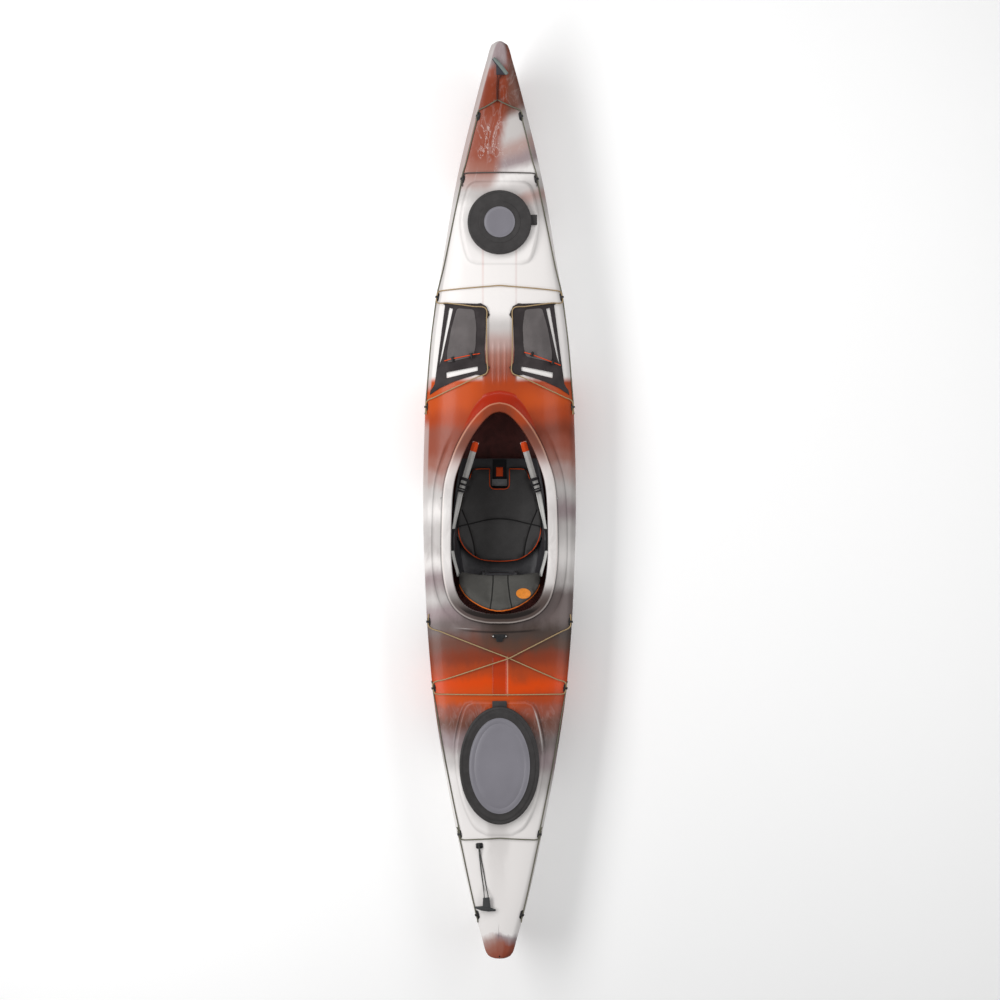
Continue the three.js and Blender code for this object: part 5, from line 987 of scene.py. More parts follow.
BOW_STARBOARD_PAINTS = [
    (1.12, "white"), (1.20, "pale"), (1.26, "blush"), (1.30, "pale"), (1.37, "white"), (1.42, "mauve"),
    (1.48, "blush"), (1.54, "pale"), (1.59, "pale"), (1.64, "brown"), (1.72, "brown"), (1.80, "brown"),
    (1.85, "rust"), (1.89, "brown"), (1.92, "mauve"),
]


def hull_finish(sizes, paints):
    """Marbled plastic: its colours change along the boat and run into each other in streaks, with painted
    shade and highlights along its edges and folds.
    """
    finish = Finish(
        "marbled_hull_plastic", 0.32, specular_ior_level=0.22, coat_weight=0.07, coat_roughness=0.08
    )
    place = finish.place()
    x, y, _ = finish.parts(place)
    lane, gap, outside, ledge, rim = (
        finish.attribute(key) for key in ("lane", "gap", "outside", "ledge", "rim")
    )
    broad = finish.noise(finish.scaled(place, (5, 2.4, 4)), 1.0, 4.0, 0.6, 0.6) - 0.5
    fine = finish.noise(finish.scaled(place, (15, 6, 12), (3, 1, 0)), 1.0, 6.0, 0.62, 1.2) - 0.5
    wisp = finish.noise(finish.scaled(place, (11, 4.5, 9), (1, 7, 2)), 1.0, 5.0, 0.58, 2.6) - 0.5
    warped = y + 0.10 * broad + 0.045 * fine
    drift = lane + 0.5 * broad + 0.25 * fine

    def along(stops, at):
        shares = [(k / HULL_LENGTH + 0.5, getattr(paints, name)) for k, name in stops]
        return finish.ramp(at / HULL_LENGTH + 0.5, shares)

    def across(port, middle, starboard, at):
        left = finish.mix(drift.eased(-0.42, -0.08), along(port, at), along(middle, at))
        return finish.mix(drift.eased(0.08, 0.42), left, along(starboard, at))

    def line(value, at, half_width):
        return (1 - abs(value - at) / half_width).clamped()

    def over(factor, paint):
        nonlocal base
        base = finish.mix(factor, base, paint)

    # Paints shade: mixes the colour towards black
    def darken(factor, share):
        over(factor * share, (0, 0, 0))

    # Ahead of the hood the warm colours stop at once, but run on along the middle
    aft = across(PORT_PAINTS, MIDDLE_PAINTS, STARBOARD_PAINTS, warped)
    spine = abs(x).eased(0.078, 0.062)
    forward = y + 0.02 * broad + 0.012 * fine
    base = finish.mix(forward.eased(0.503, 0.535) * (1 - spine), aft, paints.white)
    middle = along(MIDDLE_PAINTS, y + 0.04 * broad + 0.02 * fine)
    over(spine * y.eased(0.47, 0.53), middle)
    bow_at = y + 0.03 * broad + 0.03 * fine
    beyond = (lane + 0.3 * broad + 0.25 * fine - (y - 1.46) * 1.3).eased(-0.14, 0.2)
    bow_starboard = along(BOW_STARBOARD_PAINTS, bow_at - 0.05 * lane)
    bow = finish.mix(beyond, along(BOW_PORT_PAINTS, bow_at), bow_starboard)
    over(y.eased(1.12, 1.16), bow)

    # Streaks where colours have been stirred together: at the bow and round the stern hatch
    streak = (1 - abs(wisp) * 16.0).clamped() * (fine * 4.0 + 0.4).clamped()
    stirred = y.within(-1.14, -1.04, -0.90, -0.84) * 0.18 + y.eased(1.22, 1.32) * 0.22
    over(streak * stirred, paints.pale)
    smoke = (fine * 3.2 - 0.15).clamped() * y.within(-0.46, -0.34, 0.06, 0.16)
    over(smoke * 0.45, paints.mauve)
    murk = (broad * 4.0 + fine * 2.0 - 0.1).clamped() * y.within(0.0, 0.12, 0.22, 0.30)
    over(murk * 0.35, paints.brown)
    vein = line(wisp, 0.05, 0.02) * (1 - abs(lane + 0.28) * 1.9).clamped()
    over(vein * y.within(1.34, 1.40, 1.60, 1.66) * 0.7, paints.white)

    # Painted light: the port side's edge is paler, where the light falls from that side
    port_edge_light = (1 - gap.eased(0.017, 0.024)) * (1 - lane.eased(-0.2, 0.2))
    port_edge_light = port_edge_light * (y.within(-0.2, 0.0, 0.30, 0.36) * 0.5 + y.eased(0.46, 0.50) * 0.7)
    over(port_edge_light, paints.pale)
    # Painted shade down the starboard side's edge
    side = (1 - gap.eased(0.012, 0.03)) * lane.eased(0.2, 0.6)
    darken(side, 0.25)

    # The rim is pale beside the paddler, dark behind and the foredeck's colour in front
    rim_pale = rim * y.within(-0.43, -0.30, 0.10, 0.26) * (0.8 + 0.5 * fine)
    over(rim_pale, finish.mix((fine * 2 + 0.4).clamped(), paints.white, paints.pale))
    rim_warm = rim * y.within(0.14, 0.24, 0.28, 0.34)
    over(rim_warm * 0.7, paints.brown)
    rim_rear = rim * (1 - y.eased(-0.44, -0.34))
    over(rim_rear * 0.85, paints.dark)
    # Painted shade: the hood's steep front goes a darker red
    hood = finish.attribute("hood").eased(0.35, 0.8) * y.eased(0.24, 0.36)
    over(hood * 0.9, paints.red)
    # Painted highlight along the rim's outer edge
    lip = finish.attribute("lip")
    lip_highlight = finish.mix(y.eased(0.1, 0.26), (0.85, 0.76, 0.72), (0.85, 0.42, 0.26))
    over(lip * (0.42 + 0.5 * broad), lip_highlight)
    # Painted shade on the rim's inner edge behind the backrest
    shaded = rim * (1 - outside.eased(0.018, 0.024)) * (1 - y.eased(-0.47, -0.43))
    darken(shaded, 0.8)

    # Painted shade in the folds, and painted highlights on some edges: under the rim, round the platforms,
    # behind the cockpit, in the channel and beside the spine
    # Painted shade under the rim's lip and along the shallow fold round the cockpit
    under_rim = line(outside, sizes.rim_width + 0.004, 0.006) * (1 - rim) * (1 - hood)
    darken(under_rim, 0.6)
    fold = line(outside, 0.083, 0.0045) * y.within(-0.5, -0.4, 0.18, 0.28) * (1 - rim)
    darken(fold, 0.35)
    # Painted shade just outside the platforms' edges, deeper by the stern hatch, and a painted highlight
    # just inside, brighter on the starboard side there
    scoop = abs(x).eased(0.10, 0.13) * y.within(-1.09, -0.98, -0.92, -0.87)
    darken(line(ledge, -0.008, 0.006), 0.14 + 0.4 * scoop)
    lit_side = scoop * lane.eased(-0.1, 0.3) * 0.55
    over(line(ledge, 0.002, 0.0045) * (0.05 + lit_side), paints.white)
    # Painted shadow along the step behind the cockpit
    crease = line(y + 0.557 - (x * x) * 0.4, 0.0, 0.007) * (1 - abs(x).eased(0.10, 0.20))
    darken(crease, 0.75)
    # Painted highlight on the step's edge, on the port side
    shine = line(y + 0.546 - (x * x) * 0.2, 0.0, 0.003) * line(x, -0.145, 0.05)
    over(shine * 0.55, paints.pale)
    # Painted shade in the channel behind the cockpit, in the hood red
    band = abs(x - 0.003).eased(0.0325, 0.0305) * y.within(-0.832, -0.826, -0.668, -0.655)
    over(band * 0.45, paints.red)
    # Painted highlight along the channel's starboard edge
    edge_line = line(x, 0.0345, 0.0028) * y.within(-0.832, -0.826, -0.668, -0.655)
    over(edge_line * 0.6, (0.8, 0.5, 0.35))
    # Painted shade along the edges of the raised spine
    spine_edge = line(abs(x), 0.070, 0.004) * y.within(0.50, 0.54, 0.80, 0.88)
    darken(spine_edge, 0.28)
    finish.paint(base_color=base, roughness=0.24 + 0.14 * (fine + 0.5))
    grain = finish.noise(place, 900.0, 2.0, 0.5)
    return finish.bump(grain * 0.25 + finish.noise(place, 22.0, 3.0, 0.5), 0.0009, 0.35)


def inside_finish(paints):
    finish = Finish("hull_inside_plastic", 0.62)
    cloud = finish.noise(finish.place(), 14.0, 5.0, 0.6, 0.8)
    base = finish.mix(cloud.eased(0.3, 0.75), paints.inside, toned(paints.inside, 0.55))
    finish.paint(base_color=base)
    return finish.bump(finish.noise(finish.place(), 240.0, 4.0), 0.0008, 0.5)


def rubber_finish(name, colour, roughness=0.55):
    finish = Finish(name, roughness, specular_ior_level=0.25)
    place = finish.place()
    dust = finish.noise(place, 22.0, 6.0, 0.65)
    base = finish.mix(dust.eased(0.35, 0.75), colour, toned(colour, 1.25, 0.004))
    speck = finish.noise(place, 420.0, 2.0)
    finish.paint(base_color=base, roughness=roughness - 0.1 + 0.2 * dust)
    return finish.bump(speck, 0.0004, 0.4)


def moulded_finish(name, colour, roughness=0.4, grain=500.0, depth=0.12):
    finish = Finish(name, roughness, specular_ior_level=0.3)
    base = worn(finish, colour, depth)
    cloud = finish.noise(finish.place(), 30.0, 4.0)
    finish.paint(base_color=base, roughness=roughness - 0.06 + 0.14 * cloud)
    return finish.bump(finish.noise(finish.place(), grain, 3.0), 0.0004, 0.45)


def panel_finish(paints):
    """Satin plastic with a faint brushing of handling marks."""
    finish = Finish("hatch_panel_plastic", 0.36, coat_weight=0.15, coat_roughness=0.2)
    place = finish.place()
    cloud = finish.noise(finish.scaled(place, (4, 3, 1)), 1.0, 3.0)
    base = finish.mix(cloud.eased(0.25, 0.8), paints.panel, toned(paints.panel, 1.3))
    rubs = finish.noise(finish.scaled(place, (90, 14, 40)), 1.0, 5.0, 0.7)
    base = finish.mix((rubs.eased(0.62, 0.8) * 0.14), base, (0.6, 0.6, 0.62))
    finish.paint(base_color=base, roughness=0.3 + 0.16 * rubs)
    return finish.bump(finish.noise(place, 700.0, 2.0), 0.0003, 0.35)


def weave_finish(name, colour, second, pitch=0.0016, across=16.0, roughness=0.75, flecks=0.0):
    """Flat webbing or braid on a piece's own UV map: u across or round it, v along it."""
    finish = Finish(name, roughness, specular_ior_level=0.2)
    u, v, _ = finish.parts(finish.run())
    turn = u * (across * math.tau / 2)
    along = v * (math.pi / pitch)
    over = (turn + along).sine()
    under = (turn - along).sine()
    thread = (over * under * 0.5 + 0.5)
    shadow = thread.eased(0.05, 0.55)
    base = finish.mix(shadow, toned(colour, 0.62), colour)
    if flecks:
        fleck = ((turn + along * 0.25).sine()).eased(1 - flecks, 1.0)
        base = finish.mix(fleck * 0.85, base, second)
    else:
        cloud = finish.noise(finish.place(), 45.0, 4.0)
        base = finish.mix(cloud.eased(0.4, 0.8) * 0.5, base, second)
    finish.paint(base_color=base)
    return finish.bump(thread, 0.0005, 0.6)


def cloth_finish(name, colour, pitch=0.0022, roughness=0.85, depth=0.0004):
    """Woven cover cloth, on the boat's own directions, with painted shade along its seams and a painted
    highlight on the welts beside them.
    """
    finish = Finish(name, roughness, specular_ior_level=0.15)
    place = finish.place()
    x, y, z = finish.parts(place)
    warp = (x * (math.tau / pitch)).sine()
    weft = ((y + z * 0.6) * (math.tau / pitch)).sine()
    thread = warp * weft * 0.5 + 0.5
    cloud = finish.noise(place, 9.0, 5.0, 0.6)
    base = finish.mix(cloud.eased(0.3, 0.75), toned(colour, 0.8), toned(colour, 1.18))
    fuzz = finish.noise(place, 650.0, 3.0)
    base = finish.mix((thread * 0.5 + fuzz * 0.5).eased(0.3, 0.75) * 0.3, base, toned(colour, 1.5))
    # Painted shade in the seam grooves, and a painted highlight on the welts beside them
    seam = finish.attribute("seam")
    groove = seam.eased(0.0042, 0.0016)
    base = finish.mix(groove * 0.9, base, toned(colour, 0.12))
    welt = seam.eased(0.0062, 0.0048) * seam.eased(0.0040, 0.0052)
    base = finish.mix(welt * 0.35, base, toned(colour, 1.7))
    finish.paint(base_color=base, roughness=roughness - 0.1 + 0.15 * cloud)
    return finish.bump(thread * 0.6 + fuzz * 0.6, depth, 0.5)


def mesh_finish(paints):
    """Open mesh cloth: small holes in rows between grey threads, painted dark for the shade under the mesh.
    """
    finish = Finish("pocket_mesh_cloth", 0.8, specular_ior_level=0.15)
    place = finish.place()
    x, y, _ = finish.parts(place)
    pitch = 0.0042
    row = (x * (math.tau / pitch) + (y * (math.tau / pitch)).sine() * 0.4).sine()
    column = (y * (math.tau / pitch)).sine()
    hole = (row * column).eased(0.25, 0.75)
    cloud = finish.noise(place, 12.0, 4.0)
    base = finish.mix(cloud.eased(0.3, 0.8), paints.mesh, toned(paints.mesh, 1.3))
    # Painted shade: the holes are dark, standing in for the shaded deck under the mesh
    base = finish.mix(hole * 0.55, base, toned(paints.mesh, 0.25))
    finish.paint(base_color=base)
    return finish.bump(1 - hole, 0.0005, 0.6)


# Sizes and colours that a user may change


def colour(name, code, description):
    return bpy.props.FloatVectorProperty(
        name=name, description=description, subtype="COLOR", size=3, min=0, max=1, default=shade(code)
    )


def distance(name, default, description):
    return bpy.props.FloatProperty(
        name=name, description=description, default=default, min=0.0005, soft_max=0.1, unit="LENGTH",
        precision=4,
    )


class KayakPaints(bpy.types.PropertyGroup):
    """Colours of the boat's plastics, cloths and cords."""

    white: colour("White", "EBE7E5", "Palest colour of the marbled hull")
    pale: colour("Pale grey", "C2BDBB", "Smears in the white")
    mauve: colour("Mauve", "98888A", "Greyish pink where colours have mixed")
    blush: colour("Blush", "B0958F", "Pinkish grey where rust fades to white")
    pink: colour("Pink", "9C6658", "Dull pink between rust and white")
    orange: colour("Orange", "BE4C16", "Main colour of the foredeck")
    blaze: colour("Blaze", "D24400", "Brightest orange, behind the cockpit")
    burnt: colour("Burnt orange", "A64018", "Darker clouds in the orange")
    brick: colour("Brick", "924C3A", "Orange mixed with brown")
    rust: colour("Rust", "80361E", "Deep colour at the bow and stern")
    brown: colour("Brown", "6C4438", "Dull brown between rust and grey")
    umber: colour("Umber", "583C30", "Dark brown behind the cockpit")
    ash: colour("Ash", "6E6260", "Dark grey smears")
    dark: colour("Dark", "473B36", "Darkest smears behind the cockpit")
    # The hood red is painted shade, on the hood's steep front and in the channel behind the cockpit
    red: colour("Hood red", "A62200", "Steep front of the hood")
    inside: colour("Inside", "864640", "Inside of the hull, seen through the cockpit")
    rubber: colour("Rubber", "343232", "Hatch covers")
    panel: colour("Panel", "716F76", "Stiff panels in the hatch covers")
    mesh: colour("Pocket mesh", "625D5D", "Cloth of the deck pockets")
    binding: colour("Binding", "2A2526", "Webbing round the pockets")
    cushion: colour("Cushion", "403F3F", "Seat cushion's cloth")
    backrest: colour("Backrest", "504F4C", "Backrest cushion's cloth")
    piping: colour("Piping", "CC4A18", "Cord sewn round the cushions")
    tab: colour("Tab", "EE5420", "Pull tabs and shock cords")
    webbing: colour("Webbing", "D2D1CE", "Side straps")


class KayakSizes(bpy.types.PropertyGroup):
    """Sizes that can be changed without spoiling a fit."""

    wall: distance("Hull wall", 0.005, "Thickness of the moulded hull")
    rim_width: distance("Rim width", 0.04, "Width of the coaming's flange")
    deck_cord: distance("Deck cord", 0.005, "Diameter of the deck lines and bungees")
    shock_cord: distance("Shock cord", 0.004, "Diameter of the pockets' shock cords")
    toggle_cord: distance("Toggle cord", 0.004, "Diameter of the toggles' cords")
    piping: distance("Piping", 0.0046, "Diameter of the piping round the cushions")


class Step:
    """What every operator of this add-on has: it builds with the scene's own sizes and colours."""

    bl_options = {"REGISTER", "UNDO"}

    def execute(self, context):
        self.build(context.scene.kayak_sizes, context.scene.kayak_paints)
        return {"FINISHED"}


class KAYAK_OT_stage(bpy.types.Operator, Step):
    """Adds the photograph's camera, a pale floor and soft studio light."""

    bl_idname = "kayak.stage"
    bl_label = "Stage"

    def build(self, sizes, paints):
        bpy.ops.object.camera_add(location=CAMERA_PLACE, rotation=(0, 0, 0))
        camera = bpy.context.object
        camera.data.lens = CAMERA_LENS
        camera.data.clip_end = 60
        bpy.context.scene.camera = camera
        bpy.context.scene.view_settings.view_transform = "Standard"
        bpy.ops.mesh.primitive_plane_add(size=40, location=(0, 0, 0))
        floor = finished_start("studio_floor")
        finish = Finish("studio_paper", 0.9)
        cloud = finish.noise(finish.place(), 0.6, 3.0)
        finish.paint(
            base_color=finish.mix(cloud, (0.93, 0.93, 0.93), (0.95, 0.95, 0.95)),
            emission_color=(1, 1, 1, 1), emission_strength=0.1,
        )
        floor.data.materials.append(finish.material)
        for place, size, power in LIGHTS:
            turn = (LIGHTS_AIM - Vector(place)).to_track_quat("-Z", "Y").to_euler()
            bpy.ops.object.light_add(type="AREA", location=place, rotation=turn)
            light = bpy.context.object
            light.data.shape = "RECTANGLE"
            light.data.size, light.data.size_y = size
            light.data.energy = power
        self.light_all_round()

    def light_all_round(self):
        """White where the camera or a clear piece sees the surroundings, and softer as light."""
        world = bpy.data.worlds.new("studio_air")
        bpy.context.scene.world = world
        world.use_nodes = True
        tree = world.node_tree
        sky = tree.nodes["Background"]
        sky.inputs["Color"].default_value = (1, 1, 1, 1)
        seen = tree.nodes.new("ShaderNodeLightPath")
        either = tree.nodes.new("ShaderNodeMath")
        either.operation = "MAXIMUM"
        for k, kind in enumerate(("Is Camera Ray", "Is Transmission Ray")):
            tree.links.new(seen.outputs[kind], either.inputs[k])
        strength = tree.nodes.new("ShaderNodeMapRange")
        strength.inputs["To Min"].default_value = AIR_LIGHT
        strength.inputs["To Max"].default_value = 1.0
        tree.links.new(either.outputs[0], strength.inputs["Value"])
        tree.links.new(strength.outputs["Result"], sky.inputs["Strength"])


def laid_cord(node, diameter, material, slot):
    """A cord laid taut along its route, standing in for its node."""
    line = spaced(through(ROUTES[node], 8), diameter * 0.9)
    piece = smoothed(swept(node + "_rope", line, round_section(diameter / 2)), 60)
    dress(piece, material, slot, NODE_BODIES.get(node, "boat"), node)
    line_length(line)


class KAYAK_OT_deck_lines(bpy.types.Operator, Step):
    """Lays every cord: deck lines, bungees, shock cords and the toggles' cords."""

    bl_idname = "kayak.deck_lines"
    bl_label = "Deck Lines"

    def build(self, sizes, paints):
        line = shade("6A695C")
        olive = weave_finish("olive_deck_line", line, shade("8E8A72"), 0.004, 10, flecks=0.12)
        khaki = weave_finish("khaki_bungee", shade("B39A74"), shade("6A523C"), 0.005, 12, flecks=0.2)
        dark = weave_finish("dark_cross_cord", shade("4E4A48"), shade("77706A"), 0.004, 10, flecks=0.1)
        orange = weave_finish("orange_shock_cord", paints.tab, shade("C23A12"), 0.004, 8)
        maroon = weave_finish("bow_toggle_braid", shade("4A2623"), shade("7A4A3C"), 0.004, 8, flecks=0.15)
        black = weave_finish("stern_toggle_braid", shade("3E3F3D"), shade("6E6E66"), 0.004, 8, flecks=0.15)
        looks = {
            "front_deck_line": (olive, "deck_cord"), "front_cross_cord": (dark, "deck_cord"),
            "foredeck_bungee": (khaki, "bungee_cord"), "rear_bungee": (khaki, "bungee_cord"),
            "rear_deck_line": (olive, "deck_cord"), "right_stern_line": (olive, "deck_cord"),
            "left_stern_line": (olive, "deck_cord"), "left_shock_cord": (orange, "shock_cord"),
            "right_shock_cord": (orange, "shock_cord"), "bow_toggle_cord": (maroon, "toggle_cord"),
            "stern_toggle_cord": (black, "toggle_cord"),
        }
        diameters = {"shock_cord": sizes.shock_cord, "toggle_cord": sizes.toggle_cord}
        for node, (material, slot) in looks.items():
            laid_cord(node, diameters.get(slot, sizes.deck_cord), material, slot)


def hull_rings(deck_steps, inset, places, detail):
    """Rings of points round the hull at places along it, port side first."""
    rings = []
    for y in places:
        t = y / HULL_LENGTH + 0.5
        half = fine_section(t, deck_steps)
        if inset:
            half = drawn_in(half, inset)
        from_end = HULL_LENGTH / 2 - abs(y)
        if detail and from_end < END_ROUND:
            shrink = 1 - (1 - math.sqrt(1 - (1 - from_end / END_ROUND) ** 2)) * END_PINCH
            middle = (half[0].y + half[-1].y) / 2
            half = [Vector((p.x * shrink, middle + (p.y - middle) * (0.35 + 0.65 * shrink))) for p in half]
        port = [Vector((-p.x, p.y)) for p in reversed(half[1:-1])]
        rings.append([Vector((p.x, y, p.y)) for p in [*half, *port]])
    if detail:
        first = sum(BOTTOM_STEPS)
        last = len(rings[0]) - first
        deck = [p for ring in rings for p in ring[first + 1:last]]
        xs, ys, zs = (np.array([p[k] for p in deck]) for k in range(3))
        for p, z in zip(deck, moulded(xs, ys, zs)):
            p.z = float(z)
    return rings


def stations():
    """Places along the hull, closer together where the deck has small forms."""
    found = []
    y = -HULL_LENGTH / 2
    while y < HULL_LENGTH / 2 - 1e-6:
        found.append(y)
        from_end = HULL_LENGTH / 2 - abs(y)
        if from_end < END_ROUND - 1e-6:
            y += 0.0008 if from_end < 0.004 else 0.002
        elif any(low <= y < high for low, high in CLOSE_UPS):
            y += 0.007
        else:
            y += 0.012
        if HULL_LENGTH / 2 - y < END_ROUND and found[-1] < HULL_LENGTH / 2 - END_ROUND:
            y = HULL_LENGTH / 2 - END_ROUND
    found.append(HULL_LENGTH / 2)
    return found


def cutter(name, outline, low, high):
    rings = [[Vector((p.x, p.y, z)) for p in outline] for z in (low, high)]
    points, faces = skin_over(rings)
    return outward_faces(new_piece(name, points, faces))


def cut(piece, tool):
    modified(piece, "BOOLEAN", object=tool, operation="DIFFERENCE", solver="MANIFOLD")
    bpy.data.objects.remove(tool)


def oval(halves, y, sides=96):
    return [
        Vector((halves[0] * math.cos(math.tau * k / sides), y + halves[1] * math.sin(math.tau * k / sides)))
        for k in range(sides)
    ]


def drawn(halves, inset):
    return (halves[0] - inset, halves[1] - inset)


def mark_lanes(piece):
    """Marks how far each point lies across the boat, in from its edge, out from the cockpit and in from the
    edge of a hatch's platform."""
    xs, ys = plan_places(piece)
    shares = [smooth_at(BEAM_SHARES, min(1, max(0, y / HULL_LENGTH + 0.5))) for y in ys]
    half = np.array(shares) * HULL_BEAM / 2
    outside = np.full(xs.shape, 1.0)
    near = (ys > COCKPIT_REAR - 0.142) & (ys < COCKPIT_REAR + COCKPIT_LENGTH + 0.123)
    outside[near] = -signed_distance(COCKPIT_OUTLINE, xs[near], ys[near])
    ledge = np.full(xs.shape, -1.0)
    for hatch, platform in ((BOW_HATCH, BOW_PLATFORM), (STERN_HATCH, STERN_PLATFORM)):
        near = np.abs(ys - hatch["y"]) < platform["length"]
        ledge[near] = signed_distance(platform_outline(platform), xs[near], ys[near])
    marked(piece, "lane", xs / half)
    marked(piece, "gap", half - np.abs(xs))
    marked(piece, "outside", outside)
    marked(piece, "ledge", ledge)


class KAYAK_OT_hull(bpy.types.Operator, Step):
    """Moulds the hull and deck as one skin, with its hatch necks and the openings cut through."""

    bl_idname = "kayak.hull"
    bl_label = "Hull"

    def build(self, sizes, paints):
        marbled = hull_finish(sizes, paints)
        inside = inside_finish(paints)
        outer = hull_rings(DECK_STEPS, 0, stations(), True)
        places = [HULL_LENGTH * (0.012 + 0.976 * k / 150) - HULL_LENGTH / 2 for k in range(151)]
        inner = hull_rings(INSIDE_DECK_STEPS, sizes.wall, places, False)
        points, faces = skin_over(outer)
        more, holes = skin_over(inner)
        shift = len(points)
        faces = [tuple(reversed(f)) for f in faces]
        outside_count = len(faces)
        faces += [tuple(k + shift for k in f) for f in holes]
        piece = new_piece("hull_shell", points + more, faces)
        piece.data.materials.append(marbled)
        piece.data.materials.append(inside)
        for face in piece.data.polygons:
            face.material_index = 0 if face.index < outside_count else 1
            face.use_smooth = True
        mark_lanes(piece)
        cut(piece, cutter("cockpit_cutter", COCKPIT_OUTLINE, 0.15, 0.6))
        for hatch in (BOW_HATCH, STERN_HATCH):
            hole = oval(drawn(hatch["halves"], COLLAR_INSET + COLLAR_WALL - 0.001), hatch["y"])
            cut(piece, cutter("hatch_cutter", hole, 0.12, 0.6))
        pin = [Vector((p.x, p.y)) for p in oval((0.004, 0.004), -1.933, 24)]
        cut(piece, cutter("pin_cutter", pin, -0.1, 0.6))
        smoothed(piece, 50)
        dress(piece, None, "hull_plastic", "boat", "hull")
        self.necks(marbled)
        self.coaming(sizes, marbled)

    def necks(self, marbled):
        for name, hatch in (("bow_hatch_neck", BOW_HATCH), ("stern_hatch_neck", STERN_HATCH)):
            low = platform_z(hatch) - 0.03
            top = platform_z(hatch) + COLLAR_HEIGHT
            bead = COLLAR_WALL / 3
            profile = [
                (COLLAR_INSET, low), (COLLAR_INSET, top - 2.4 * bead),
                (COLLAR_INSET - bead, top - 1.3 * bead), (COLLAR_INSET - bead, top - 0.7 * bead),
                (COLLAR_INSET, top), (COLLAR_INSET + COLLAR_WALL, top), (COLLAR_INSET + COLLAR_WALL, low),
            ]
            rings = [
                [Vector((p.x, p.y, z)) for p in oval(drawn(hatch["halves"], inset), hatch["y"])]
                for inset, z in profile
            ]
            points, faces = skin_over([*rings, rings[0]], closed_ends=False)
            neck = outward_faces(new_piece(name, points, faces))
            mark_lanes(neck)
            smoothed(neck, 40)
            dress(neck, marbled, "hull_plastic", "boat", "hull")

    def coaming(self, sizes, marbled):
        """The rim on its neck, with a foot that runs out to a hood in front."""
        outline = whole_outline(
            half_outline(COCKPIT_SHARES, COCKPIT_LENGTH, COCKPIT_REAR, COCKPIT_HALF_WIDTH, 0.009)
        )
        outs = outward(outline)
        for _ in range(2):
            after = outs[1:] + outs[:1]
            outs = [(outs[i - 1] + out * 2 + after[i]).normalized() for i, out in enumerate(outs)]
        width = sizes.rim_width
        rings, hoods, rims, lips = [], [], [], []
        for p, out in zip(outline, outs):
            top = smooth_at(RIM_SHARES, (p.y - COCKPIT_REAR) / COCKPIT_LENGTH)
            front = float(eased(out.y, 0.1, 0.95))
            reach = NECK_WALL + mixed(*FOOT_REACHES, front)
            under = top - RIM_THICKNESS

            def at(along, z):
                spot = p + out * along
                return Vector((spot.x, spot.y, z))

            def foot_z(along):
                spot = p + out * along
                fold = FOLD_DEPTH * float(eased(spot.y, *FOLD_END))
                return deck_z(spot.x, spot.y) + spine_z(spot.x) * front - fold

            base = deck_z(p.x, p.y)
            lip = under - RIM_LIP
            profile = [
                (0.0, base - 0.014), (0.0, mixed(base, top, 0.5)), (0.0, top - 0.004),
                (0.0009, top - 0.0014), (0.0032, top), (0.010, top + 0.0004),
                (width * 0.5, top + 0.0002), (width - 0.008, top - 0.0006),
                (width - 0.0034, top - 0.002), (width - 0.0008, top - 0.0052), (width, top - 0.009),
                (width - 0.0004, lip + 0.001), (width - 0.0024, lip), (width - 0.0046, lip + 0.002),
                (width - 0.006, under),
            ]
            # Down the neck, or out over the hood
            begin = mixed(NECK_WALL + 0.003, width - 0.006, front)
            profile.append((mixed(NECK_WALL + 0.006, width - 0.0065, front), under - 0.0005))
            profile.append((begin, mixed(under - 0.003, under - 0.0015, front)))
            for k in range(1, 12):
                share = k / 11
                along = mixed(begin, reach, share)
                concave = (1 - share) ** 2.6
                shoulder = (1 - float(eased(share, -0.25, 1.0))) / (1 - float(eased(0.0, -0.25, 1.0)))
                fall = mixed(concave, shoulder, front)
                profile.append((along, mixed(foot_z(along) - 0.0012, under - 0.003, fall)))
            profile += [(reach, foot_z(reach) - 0.004), (NECK_WALL * 0.8, base - 0.014)]
            rings.append([at(along, z) for along, z in profile])
            rims += [float(3 <= k <= 13) for k in range(len(profile))]
            # The lip's mark tells the finish where to paint a highlight
            lips += [float(8 <= k <= 11) for k in range(len(profile))]
            # The hood's mark tells the finish where to paint shade
            hoods += [front if 15 <= k < len(profile) - 2 else 0.0 for k in range(len(profile))]
        points, faces = skin_over(rings, closed_ends=False)
        count = len(rings[0])
        last = (len(rings) - 1) * count
        faces += [(last + i, last + (i + 1) % count, (i + 1) % count, i) for i in range(count)]
        piece = new_piece("cockpit_coaming", points, faces)
        for key, values in (("rim", rims), ("lip", lips), ("hood", hoods)):
            marked(piece, key, values)
        mark_lanes(piece)
        with editing(piece):
            bpy.ops.mesh.normals_make_consistent(inside=False)
        smoothed(piece, 70)
        dress(piece, marbled, "hull_plastic", "boat", "hull")


def top_face(piece):
    """Selects the highest level face, in edit mode."""
    only(piece)
    bpy.ops.object.mode_set(mode="EDIT")
    bpy.ops.mesh.select_mode(type="FACE")
    bpy.ops.mesh.select_all(action="DESELECT")
    bpy.ops.object.mode_set(mode="OBJECT")
    level = [f for f in piece.data.polygons if f.normal.z > 0.99]
    max(level, key=lambda f: (round(f.center.z, 5), f.area)).select = True
    bpy.ops.object.mode_set(mode="EDIT")


def cap(name, halves, y, low, height, steps, sides=112):
    """An oval slab whose top is worked inwards in steps of (inset, rise)."""
    bpy.ops.mesh.primitive_cylinder_add(
        vertices=sides, radius=1, depth=height, location=(0, y, low + height / 2)
    )
    piece = finished_start(name)
    piece.scale = (halves[0], halves[1], 1)
    placed(piece)
    top_face(piece)
    for inset, rise in steps:
        bpy.ops.mesh.inset(thickness=inset, depth=0)
        bpy.ops.transform.translate(value=(0, 0, rise))
    bpy.ops.object.mode_set(mode="OBJECT")
    return piece


